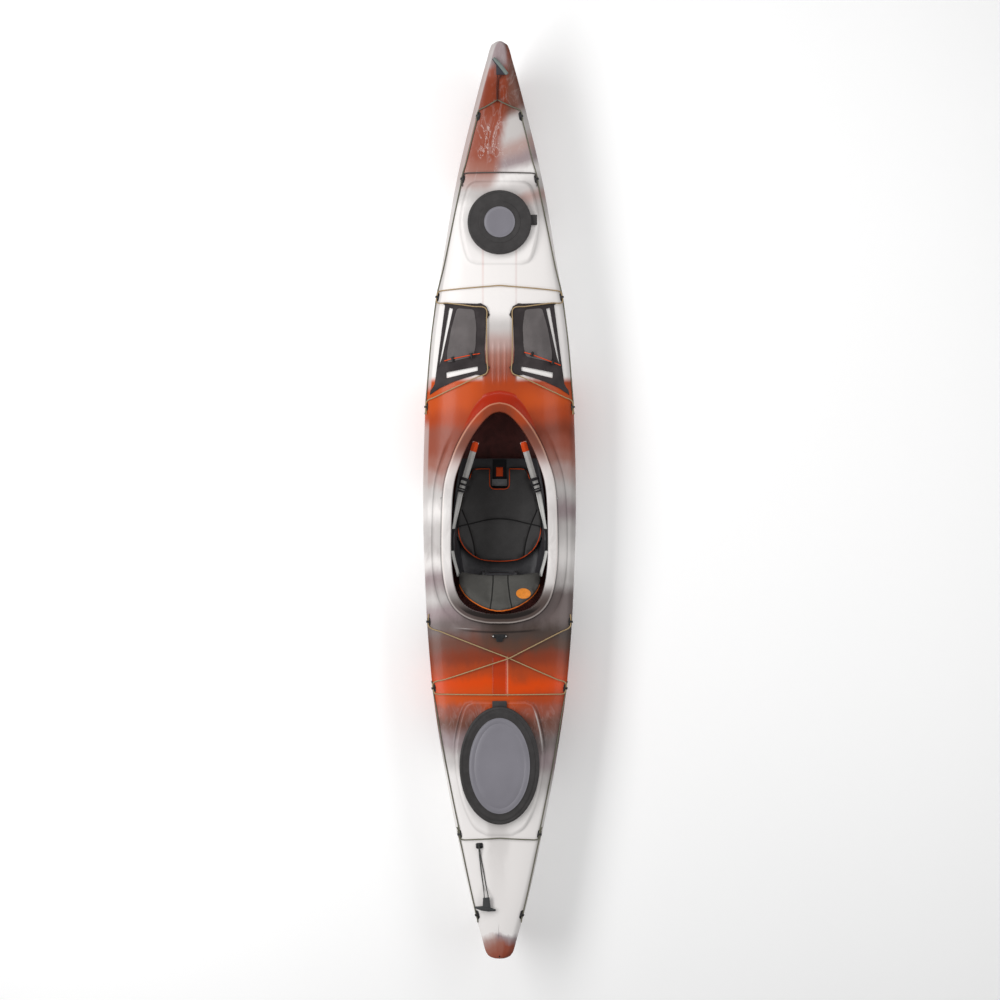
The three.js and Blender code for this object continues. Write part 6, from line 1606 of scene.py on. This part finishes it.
def rounded_block(name, size, middle, bevel, turn=None):
    """A block with rounded edges; turn is a rotation about its middle."""
    bpy.ops.mesh.primitive_cube_add(size=1, location=(0, 0, 0))
    piece = finished_start(name)
    piece.scale = size
    with editing(placed(piece)):
        bpy.ops.mesh.bevel(offset=bevel, segments=3, affect="EDGES")
    if turn is not None:
        piece.data.transform(turn.to_4x4())
    piece.data.transform(Matrix.Translation(middle))
    return smoothed(piece, 50)


def joined(name, pieces):
    only(pieces[0])
    for other in pieces[1:]:
        other.select_set(True)
    bpy.ops.object.join()
    whole = bpy.context.object
    whole.name = name
    whole.data.name = name
    return whole


class KAYAK_OT_hatches(bpy.types.Operator, Step):
    """Makes the two rubber covers, their finger tabs and the stiff panels set into them."""

    bl_idname = "kayak.hatches"
    bl_label = "Hatches"

    def build(self, sizes, paints):
        rubber = rubber_finish("hatch_cover_rubber", paints.rubber)
        plastic = panel_finish(paints)
        for end, hatch, panel, tab_at, tab_size in (
            ("bow", BOW_HATCH, (0.066, 0.066), (0.139, 1.189), (0.040, 0.044)),
            ("stern", STERN_HATCH, (0.130, 0.204), (0.0, -0.867), (0.062, 0.038)),
        ):
            low = platform_z(hatch) + 0.0004
            wide = hatch["halves"][0] - panel[0]
            steps = [
                (0.010, 0.0), (0.0015, -0.0012), (wide - 0.0345, -0.0002), (0.0015, 0.0016),
                (0.007, 0.0006), (0.002, -0.0006), (0.0125 - 0.004, -0.0002),
            ]
            name = end + "_hatch_rubber"
            cover = cap(name, hatch["halves"], hatch["y"], low, COVER_HEIGHT - 0.002, steps)
            smoothed(bevelled(cover, 0.0062, 5, 60), 30)
            tab = rounded_block(end + "_tab", (*tab_size, 0.006), (*tab_at, low + 0.0062), 0.0026)
            cover = joined(name, [cover, tab])
            dress(cover, rubber, "hatch_rubber", end + "_cover", end + "_hatch_cover")
            plate_steps = [(0.0026, 0.0), (0.0012, -0.0007), (0.0012, 0.0007)]
            if end == "stern":
                plate_steps += [(0.016, 0.0006), (0.0016, -0.0009), (0.0016, 0.0009), (0.02, 0.0005)]
            else:
                plate_steps += [(0.012, 0.0004)]
            plate = cap(
                end + "_hatch_plate", drawn(panel, 0.0008), hatch["y"], low + COVER_HEIGHT - 0.0064, 0.0072,
                plate_steps,
            )
            smoothed(bevelled(plate, 0.0011, 3, 40), 35)
            dress(plate, plastic, "panel_plastic", end + "_cover", end + "_hatch_panel")


def pressed_full(piece, cell, pressure, limit):
    """Blows a cushion up a little with a cloth simulation, keeping every point near where it was."""
    modified(piece, "REMESH", mode="VOXEL", voxel_size=cell, use_smooth_shade=True)
    before = [v.co.copy() for v in piece.data.vertices]
    only(piece)
    change = piece.modifiers.new("Cloth", "CLOTH")
    change.settings.use_pressure = True
    change.settings.uniform_pressure_force = pressure
    change.settings.effector_weights.gravity = 0
    change.settings.quality = 4
    change.settings.mass = 0.3
    change.point_cache.frame_start = 1
    change.point_cache.frame_end = 12
    scene = bpy.context.scene
    for number in range(1, 13):
        scene.frame_set(number)
    bpy.ops.object.modifier_apply(modifier=change.name)
    scene.frame_set(1)
    for vertex, start in zip(piece.data.vertices, before):
        moved = vertex.co - start
        if moved.length > limit:
            vertex.co = start + moved.normalized() * limit


def cushion_of(node, name, cell, limit):
    """A cushion's node, blown up a little, smoothed and finely divided."""
    piece = node_copy(node, name)
    pressed_full(piece, cell, 4.0, limit)
    modified(piece, "SMOOTH", factor=0.5, iterations=3)
    modified(piece, "SUBSURF", levels=1)
    for face in piece.data.polygons:
        face.use_smooth = True
    return piece


def seamed(piece, lines, depth, reach):
    """Draws the cloth in along seams, given as plan points, wherever it faces up."""
    mesh = piece.data
    mesh.update()
    xs, ys = plan_places(piece)
    normals = [v.normal.copy() for v in mesh.vertices]
    near = np.zeros(len(mesh.vertices))
    for line in lines:
        gap = line_distance(line, xs, ys)
        wide, narrow = (np.exp(-((gap / width) ** 2)) for width in (reach, reach * 0.3))
        near = np.maximum(near, wide * 0.75 + narrow * 0.25)
    for vertex, normal, share in zip(mesh.vertices, normals, near):
        if normal.z > 0.3:
            vertex.co -= normal * depth * float(share) * normal.z


def mark_seams(piece, lines):
    """Tells the cloth how far each point is from the nearest seam."""
    xs, ys = plan_places(piece)
    marked(piece, "seam", np.min([line_distance(line, xs, ys) for line in lines], axis=0))


class KAYAK_OT_seat(bpy.types.Operator, Step):
    """Makes the seat pan, its padded cushion and the leg-lift strap with its buckle."""

    bl_idname = "kayak.seat"
    bl_label = "Seat"

    def build(self, sizes, paints):
        plastic = moulded_finish("seat_pan_plastic", shade("38373A"), 0.42)
        finished_node("seat_pan", "seat_pan_shell", 0.0016, plastic, "seat_plastic")
        cloth = cloth_finish("cushion_cloth", paints.cushion, 0.0026)
        cushion = cushion_of("seat_cushion", "seat_cushion_cover", 0.005, 0.004)

        def plan(shares, side):
            points = [
                (side * across * CUSHION_HALF_WIDTH, CUSHION_REAR + along * CUSHION_LENGTH)
                for along, across in shares
            ]
            return [tuple(p) for p in through([(x, y, 0) for x, y in points], 8)]

        cross = [*CROSS_SEAM_SHARES, *[(a, -b) for a, b in reversed(CROSS_SEAM_SHARES[:-1])]]
        seams = [plan(SIDE_SEAM_SHARES, 1), plan(SIDE_SEAM_SHARES, -1), plan(cross, 1)]
        seamed(cushion, seams, 0.0052, 0.0062)
        mark_seams(cushion, seams)
        dress(cushion, cloth, "cushion_fabric", "boat", "seat_cushion")
        self.piping(sizes, paints, cushion)
        webbing = self.lift_finish(paints)
        finished_node("leg_lift_strap", "leg_lift_webbing", 0.0012, webbing, "strap_webbing")
        black = moulded_finish("buckle_plastic", shade("232325"), 0.35)
        buckle = finished_node("leg_lift_buckle", "leg_lift_ladder", 0.0008, black, "buckle_plastic")
        surface = surface_of(buckle)
        tops = [fallen(surface, 0, y)[0] for y in LIFT_PLATE_ENDS]
        along = (tops[1] - tops[0]).normalized()
        turn = Matrix.Rotation(math.atan2(along.z, along.y), 4, "X")
        middle = (tops[0] + tops[1]) / 2 + Vector((0, 0.0015, 0.0012))
        plate = rounded_block("leg_lift_plate", (0.066, 0.031, 0.003), tuple(middle), 0.001, turn)
        grey = moulded_finish("leg_lift_plate_plastic", shade("77787A"), 0.4)
        dress(plate, grey, "buckle_plastic", "boat")

    def lift_finish(self, paints):
        """Black webbing with an orange tab sewn to it."""
        finish = Finish("leg_lift_webbing", 0.7, specular_ior_level=0.2)
        place = finish.place()
        x, y, _ = finish.parts(place)
        tab = abs(x).eased(0.0150, 0.0146) * y.eased(0.1090, 0.1094) * y.eased(0.1496, 0.1492)
        thread = (x * (math.tau / 0.0024)).sine() * (y * (math.tau / 0.0024)).sine() * 0.5 + 0.5
        black = finish.mix(thread * 0.5, shade("1B1B1D"), shade("303033"))
        orange = finish.mix(thread * 0.35, paints.tab, shade("B23A10"))
        finish.paint(base_color=finish.mix(tab, black, orange))
        return finish.bump(thread, 0.0004, 0.5)

    def piping(self, sizes, paints, cushion):
        """A cord sewn round the cushion's upper edge."""
        surface = surface_of(cushion)
        half = half_outline(CUSHION_SHARES[:-1], CUSHION_LENGTH, CUSHION_REAR, CUSHION_HALF_WIDTH, 0.006)
        front = CUSHION_REAR + CUSHION_LENGTH
        notch = [
            Vector((NOTCH_HALF_WIDTH, front)), Vector((NOTCH_HALF_WIDTH, front - NOTCH_DEPTH)),
        ]
        half += spaced([half[-1], *notch, Vector((0, front - NOTCH_DEPTH))], 0.006)[1:]
        outline = whole_outline(half)
        outs = outward(outline)
        line = []
        for p, out in zip(outline, outs):
            spot = p - out * 0.0065
            hit, _ = fallen(surface, spot.x, spot.y)
            if hit is not None:
                line.append(Vector((spot.x, spot.y, hit.z + 0.0004)))
        for _ in range(4):
            line = [
                (line[i - 1] + line[i] * 2 + line[(i + 1) % len(line)]) / 4 for i in range(len(line))
            ]
        piping = swept("seat_cushion_piping", line, round_section(sizes.piping / 2, 8), closed=True)
        smoothed(piping, 60)
        dress(piping, self.piping_finish(paints), "cushion_fabric", "boat")

    def piping_finish(self, paints):
        """Orange cord in front and behind, and dark along the sides, under the straps."""
        finish = Finish("cushion_piping", 0.7, specular_ior_level=0.2)
        place = finish.place()
        x, y, _ = finish.parts(place)
        dark = abs(x).eased(0.127, 0.135) * y.eased(-0.135, -0.11)
        thread = ((x + y) * (math.tau / 0.003)).sine() * 0.5 + 0.5
        orange = finish.mix(thread * 0.4, paints.piping, shade("8E3512"))
        finish.paint(base_color=finish.mix(dark, orange, shade("2A2624")))
        return finish.bump(thread, 0.0004, 0.4)


class KAYAK_OT_backrest(bpy.types.Operator, Step):
    """Makes the backrest's shell, its padded cushion, the piping and a plain badge."""

    bl_idname = "kayak.backrest"
    bl_label = "Backrest"

    def build(self, sizes, paints):
        plastic = moulded_finish("backrest_plastic", shade("343336"), 0.4)
        finished_node("backrest_shell", "backrest_plate", 0.0012, plastic, "seat_plastic")
        pad = cushion_of("backrest_cushion", "backrest_cover", 0.0045, 0.003)
        mark_seams(pad, BACKREST_SEAMS)
        cloth = cloth_finish("backrest_cloth", paints.backrest, 0.0024)
        dress(pad, cloth, "cushion_fabric", "backrest", "backrest_cushion")
        surface = surface_of(pad)
        self.top_piping(sizes, surface)
        self.badge(surface)

    def top_piping(self, sizes, surface):
        """A cord along the backrest's upper edge, where the two cloths are sewn together."""
        line = []
        for k in range(121):
            x = -PIPING_HALF_WIDTH + 2 * PIPING_HALF_WIDTH * k / 120
            share = abs(x) / BACKREST_HALF_WIDTH
            top = BACKREST_REACH - 0.062 * share ** 3.4 - 0.02 * share ** 12
            for step in range(40):
                hit, _ = fallen(surface, x, 0.002 * step - top)
                if hit is not None:
                    line.append(Vector((x, 0.002 * step - top, hit.z)))
                    break
        for _ in range(6):
            line = [line[0], *[(a + b * 2 + c) / 4 for a, b, c in zip(line, line[1:], line[2:])], line[-1]]
        line = [p + Vector((0, 0.0004, 0.0022)) for p in line]
        piping = swept("backrest_piping", spaced(line, 0.004), round_section(sizes.piping * 0.62, 8))
        smoothed(piping, 60)
        finish = weave_finish("backrest_piping_cord", shade("E0701F"), shade("B04A12"), 0.003, 6)
        dress(piping, finish, "cushion_fabric", "backrest")

    def badge(self, surface):
        """A plain oval of rubber sewn to the backrest's front."""
        rows = []
        for scale, lift in (
            (1.0, 0.0004), (1.0, 0.0018), (0.93, 0.0026), (0.86, 0.0020), (0.5, 0.0021), (0.02, 0.0021),
        ):
            ring = []
            for k in range(48):
                x = BADGE_MIDDLE[0] + BADGE_HALVES[0] * scale * math.cos(math.tau * k / 48)
                y = BADGE_MIDDLE[1] + BADGE_HALVES[1] * scale * math.sin(math.tau * k / 48)
                hit, normal = fallen(surface, x, y)
                ring.append(hit + normal * lift)
            rows.append(ring)
        low = [p - Vector((0, 0, 0.002)) for p in rows[0]]
        points, faces = skin_over([low, *rows])
        piece = outward_faces(new_piece("backrest_badge", points, faces))
        smoothed(piece, 40)
        dress(piece, moulded_finish("badge_rubber", shade("D9822A"), 0.5), "cushion_fabric", "backrest")


def strap_frame(low, high):
    """Directions of the side strap: across it, along it and out of its face."""
    along = (high - low).normalized()
    across = along.cross(Vector((0, 0, 1))).normalized()
    return across, along, across.cross(along)


class KAYAK_OT_straps(bpy.types.Operator, Step):
    """Makes the webbing that holds the backrest, its pull tabs and ladder buckles."""

    bl_idname = "kayak.straps"
    bl_label = "Straps"

    def back_finish(self, paints):
        """Pale webbing, near black along a stretch beside the seat."""
        finish = Finish("back_webbing", 0.75, specular_ior_level=0.2)
        _, y, _ = finish.parts(finish.place())
        u, v, _ = finish.parts(finish.run())
        thread = ((u * 44 + v * 1400).sine() * (u * 44 - v * 1400).sine()) * 0.5 + 0.5
        # Near black along a stretch of the webbing beside the seat
        dark_stretch = y.eased(-0.214, -0.211) * y.eased(-0.116, -0.119)
        # Painted shade between the threads
        pale = finish.mix(thread.eased(0.05, 0.55), toned(paints.webbing, 0.62), paints.webbing)
        finish.paint(base_color=finish.mix(dark_stretch, pale, shade("232223")))
        return finish.bump(thread, 0.0005, 0.6)

    def build(self, sizes, paints):
        white = weave_finish("side_webbing", paints.webbing, shade("ABAAA6"), 0.0022, 14)
        grey = self.back_finish(paints)
        tab_look = weave_finish("pull_tab_webbing", paints.tab, shade("B23A10"), 0.0022, 14)
        buckle_look = moulded_finish("ladder_buckle_plastic", shade("2C2B2E"), 0.35)
        across, along, out = strap_frame(STRAP_LOW, STRAP_HIGH)
        length = (STRAP_HIGH - STRAP_LOW).length
        for side, sign in (("right", 1), ("left", -1)):
            flip = Matrix.Scale(sign, 4, (1, 0, 0))

            def ribbon(name, line, width_at, thickness, leans=None):
                piece = swept(name, line, band_section(width_at, thickness), leans)
                piece.data.transform(flip)
                if sign < 0:
                    piece.data.flip_normals()
                return smoothed(piece, 50)

            run = [STRAP_LOW + along * (length * k / 40) for k in range(41)]
            run = [p + out * (0.0012 * math.sin(k * 0.5)) for k, p in enumerate(run)]
            webbing = ribbon(
                side + "_side_webbing", run, lambda share: mixed(0.025, WEBBING_WIDTH, share), 0.0022,
            )
            body = side + "_strap"
            dress(webbing, white, "strap_webbing", body, side + "_side_strap")
            tip = [STRAP_HIGH - along * (0.047 * (1 - k / 14)) + out * 0.0002 for k in range(15)]
            tab = ribbon(
                side + "_pull_tab", tip, lambda share: WEBBING_WIDTH + 0.001 - 0.006 * share ** 8, 0.0056,
            )
            dress(tab, tab_look, "strap_webbing", body)
            back = [STRAP_LOW + along * s - out * 0.0029 for s in (0.018, 0.002, -0.008)]
            route = spaced(through([*back, *[Vector(p) for p in BACK_STRAP_ROUTE]], 6), 0.006)
            lower = ribbon(
                side + "_back_webbing", route, lambda share: 0.022, 0.002,
                lambda share: math.radians(58) * float(eased(share, 0.05, 0.45)),
            )
            lower.data.materials.append(grey)
            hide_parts(side + "_back_strap")
            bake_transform(lower)
            turn = Matrix((across, along, out)).transposed().to_4x4()
            for number, (y, depth, lift) in enumerate(BUCKLE_BARS):
                share = (y - STRAP_LOW.y) / (STRAP_HIGH.y - STRAP_LOW.y)
                middle = STRAP_LOW.lerp(STRAP_HIGH, share) + out * lift
                name = f"{side}_buckle_bar_{number}"
                bar = rounded_block(name, (0.034, depth, 0.0036), (0, 0, 0), 0.0012)
                bar.data.transform(flip @ Matrix.Translation(middle) @ turn)
                if sign < 0:
                    bar.data.flip_normals()
                dress(bar, buckle_look, "buckle_plastic", "boat")
            node = side + "_strap_buckle"
            finished_node(node, side + "_ladder_buckle", 0.0007, buckle_look, "buckle_plastic")


class KAYAK_OT_pockets(bpy.types.Operator, Step):
    """Makes the two deck pockets: mesh cloth in a frame of webbing."""

    bl_idname = "kayak.pockets"
    bl_label = "Pockets"

    def build(self, sizes, paints):
        net = mesh_finish(paints)
        binding = weave_on_place("pocket_binding", paints.binding)
        gaps = [POCKET_SIDE_GAP[::-1], POCKET_REAR_GAP[::-1]]
        panel = [tuple(p) for p in rounded_loop(POCKET_PANEL, 0.012)]

        def height(x, y, lift):
            border = float(signed_distance(POCKET_OUTLINE, np.array([x]), np.array([y]))[0])
            share = min(1, max(0, (border - POCKET_FLAT) / POCKET_SLOPE))
            rise = POCKET_RISE * share * share * (3 - 2 * share)
            tuck = 0.0012 * (1 - min(1, max(0, border / 0.006)))
            away = math.hypot((abs(x) - POCKET_LOCK[0]) / 1.3, y - POCKET_LOCK[1])
            tuck += POCKET_PRESS * float(eased(away, 0.032, 0.014))
            return deck_z(x, y) + spine_z(x) + POCKET_LIFT + lift + rise - tuck

        def cloth(name, rim, holes, lift, thickness, cell):
            points, faces = plan_sheet(rim, holes, cell, lambda x, y: height(x, y, lift))
            piece = new_piece(name, points, faces)
            with editing(piece):
                bpy.ops.mesh.delete_loose(use_verts=True, use_edges=True, use_faces=False)
                bpy.ops.mesh.select_all(action="SELECT")
                bpy.ops.mesh.normals_make_consistent(inside=False)
            if sum(f.normal.z for f in piece.data.polygons) < 0:
                piece.data.flip_normals()
            modified(piece, "SOLIDIFY", thickness=thickness, offset=-1)
            return smoothed(piece, 50)

        area = abs(plan_area(POCKET_OUTLINE)) - sum(abs(plan_area(gap)) for gap in gaps)
        right = [
            cloth("right_pocket_frame", POCKET_OUTLINE, gaps, 0.0022, 0.0024, 0.006),
            cloth("right_pocket_net", panel, [], 0.0046, 0.0018, 0.0055),
        ]
        left = [mirrored_copy(piece, piece.name.replace("right", "left")) for piece in right]
        for side, pieces in (("right", right), ("left", left)):
            for piece, look in zip(pieces, (binding, net)):
                dress(piece, look, "pocket_mesh", "boat", side + "_deck_pocket")


def rounded_loop(corners, radius):
    """A closed plan outline with its corners rounded."""
    points = [Vector(c) for c in corners]
    found = []
    for i, p in enumerate(points):
        before, after = points[i - 1], points[(i + 1) % len(points)]
        back = min(radius, (before - p).length * 0.45)
        on = min(radius, (after - p).length * 0.45)
        a = p + (before - p).normalized() * back
        b = p + (after - p).normalized() * on
        for k in range(5):
            u = k / 4
            found.append(a * (1 - u) ** 2 + p * 2 * u * (1 - u) + b * u ** 2)
    return found


def weave_on_place(name, base):
    """Webbing without a run of its own: its ribs follow the boat's directions."""
    finish = Finish(name, 0.7, specular_ior_level=0.2)
    place = finish.place()
    x, y, _ = finish.parts(place)
    ribs = ((x + y * 0.12) * (math.tau / 0.003)).sine() * 0.5 + 0.5
    threads = (y * (math.tau / 0.0016)).sine() * 0.5 + 0.5
    cloud = finish.noise(place, 14.0, 4.0)
    mixed_base = finish.mix(cloud.eased(0.3, 0.75), base, toned(base, 1.7, 0.006))
    finish.paint(base_color=finish.mix(ribs * threads * 0.4, mixed_base, toned(base, 2.4, 0.01)))
    return finish.bump(ribs * 0.7 + threads * 0.3, 0.0004, 0.5)


class KAYAK_OT_fittings(bpy.types.Operator, Step):
    """Finishes the moulded fittings: fairleads, locks, toggles, foot braces, bulkheads and bracket."""

    bl_idname = "kayak.fittings"
    bl_label = "Fittings"

    def grip_finish(self):
        """The bow toggle's rubber: a worn, paler bar over a dark body."""
        finish = Finish("bow_toggle_rubber", 0.5, specular_ior_level=0.25)
        place = finish.place()
        x, y, _ = finish.parts(place)
        worn_bar = (x * 0.781 + y * 0.624).eased(1.1395, 1.1425)
        cloud = finish.noise(place, 60.0, 4.0)
        body = finish.mix(cloud, shade("2A2830"), shade("3C3A40"))
        pale = finish.mix(cloud, shade("5E6A66"), shade("7E8683"))
        finish.paint(base_color=finish.mix(worn_bar, body, pale))
        return finish.bump(finish.noise(place, 420.0, 2.0), 0.0004, 0.4)

    def build(self, sizes, paints):
        black = moulded_finish("fitting_nylon", shade("201F20"), 0.36)
        foam = moulded_finish("bulkhead_foam", shade("8C8A86"), 0.85, 120.0, 0.2)
        rail = moulded_finish("foot_rail_metal", shade("77797C"), 0.35)
        grip = self.grip_finish()
        dark_grip = rubber_finish("stern_toggle_rubber", shade("3A3B3C"), 0.5)
        lock = moulded_finish("cord_lock_plastic", shade("1E1D1E"), 0.35)
        plastic = "fitting_plastic"
        kinds = [
            ("stern_padeye", black, plastic, 0.0011), ("deck_bracket", black, plastic, 0.001),
            ("bow_bulkhead", foam, "bulkhead_foam", 0.001),
            ("stern_bulkhead", foam, "bulkhead_foam", 0.001),
            ("bow_toggle", grip, "toggle_rubber", 0.0012),
            ("stern_toggle", dark_grip, "toggle_rubber", 0.0012),
        ]
        for side in ("left", "right"):
            kinds += [(f"{side}_fairlead_{k}", black, plastic, 0.0012) for k in range(1, 9)]
            kinds += [(f"{side}_{place}_cord_lock", lock, plastic, 0.0009) for place in ("inner", "outer")]
            kinds += [
                (f"{side}_foot_rail", rail, plastic, 0.001), (f"{side}_foot_pedal", black, plastic, 0.0016),
            ]
        for node, look, slot, bevel in kinds:
            finished_node(node, node + "_finished", bevel, look, slot)


class KAYAK_OT_trim(bpy.types.Operator, Step):
    """Adds the small bolts beside the coaming and the bracket's screws."""

    bl_idname = "kayak.trim"
    bl_label = "Trim"

    def build(self, sizes, paints):
        steel = Finish("bolt_steel", 0.3, metallic=0.9)
        steel.paint(base_color=worn(steel, shade("A8A6A4"), 0.2, 300.0))
        bracket = surface_of(bpy.data.objects["deck_bracket_finished"])
        for side, sign in (("port", -1), ("starboard", 1)):
            for k, (x, y) in enumerate(SEAT_BOLTS):
                z = deck_z(x, y) - FOLD_DEPTH
                self.bolt(f"seat_bolt_{side}_{k}", sign * x, y, z, 0.0042, steel.material)
            hit, _ = fallen(bracket, sign * BRACKET_SCREW[0], BRACKET_SCREW[1])
            self.bolt("bracket_screw_" + side, *hit, 0.0036, steel.material)

    def bolt(self, name, x, y, z, radius, material):
        bpy.ops.mesh.primitive_cylinder_add(
            vertices=24, radius=radius, depth=0.003, location=(x, y, z + 0.0008)
        )
        head = finished_start(name)
        top_face(bevelled(placed(head), 0.0009, 3, 50))
        bpy.ops.mesh.inset(thickness=radius * 0.35, depth=0)
        bpy.ops.transform.translate(value=(0, 0, -0.0008))
        bpy.ops.object.mode_set(mode="OBJECT")
        smoothed(head, 35)
        dress(head, material, "fitting_plastic", "boat")


class KAYAK_PT_steps(bpy.types.Panel):
    """Lists the steps that build the kayak."""

    bl_label = "Sea Kayak"
    bl_space_type = "VIEW_3D"
    bl_region_type = "UI"
    bl_category = "Kayak"

    def draw(self, context):
        for step in STEPS:
            self.layout.operator(step.bl_idname)
        for group in (context.scene.kayak_sizes, context.scene.kayak_paints):
            for key in group.__annotations__:
                self.layout.prop(group, key)


STEPS = (
    KAYAK_OT_stage, KAYAK_OT_deck_lines, KAYAK_OT_hull, KAYAK_OT_hatches, KAYAK_OT_seat, KAYAK_OT_backrest,
    KAYAK_OT_straps, KAYAK_OT_pockets, KAYAK_OT_fittings, KAYAK_OT_trim,
)
CLASSES = (KayakPaints, KayakSizes, *STEPS, KAYAK_PT_steps)


def register():
    for cls in CLASSES:
        bpy.utils.register_class(cls)
    bpy.types.Scene.kayak_paints = bpy.props.PointerProperty(type=KayakPaints)
    bpy.types.Scene.kayak_sizes = bpy.props.PointerProperty(type=KayakSizes)


def unregister():
    del bpy.types.Scene.kayak_sizes
    del bpy.types.Scene.kayak_paints
    for cls in reversed(CLASSES):
        bpy.utils.unregister_class(cls)


def main():
    register()
    for step in STEPS:
        family, name = step.bl_idname.split(".")
        getattr(getattr(bpy.ops, family), name)()


if __name__ == "__main__":
    main()
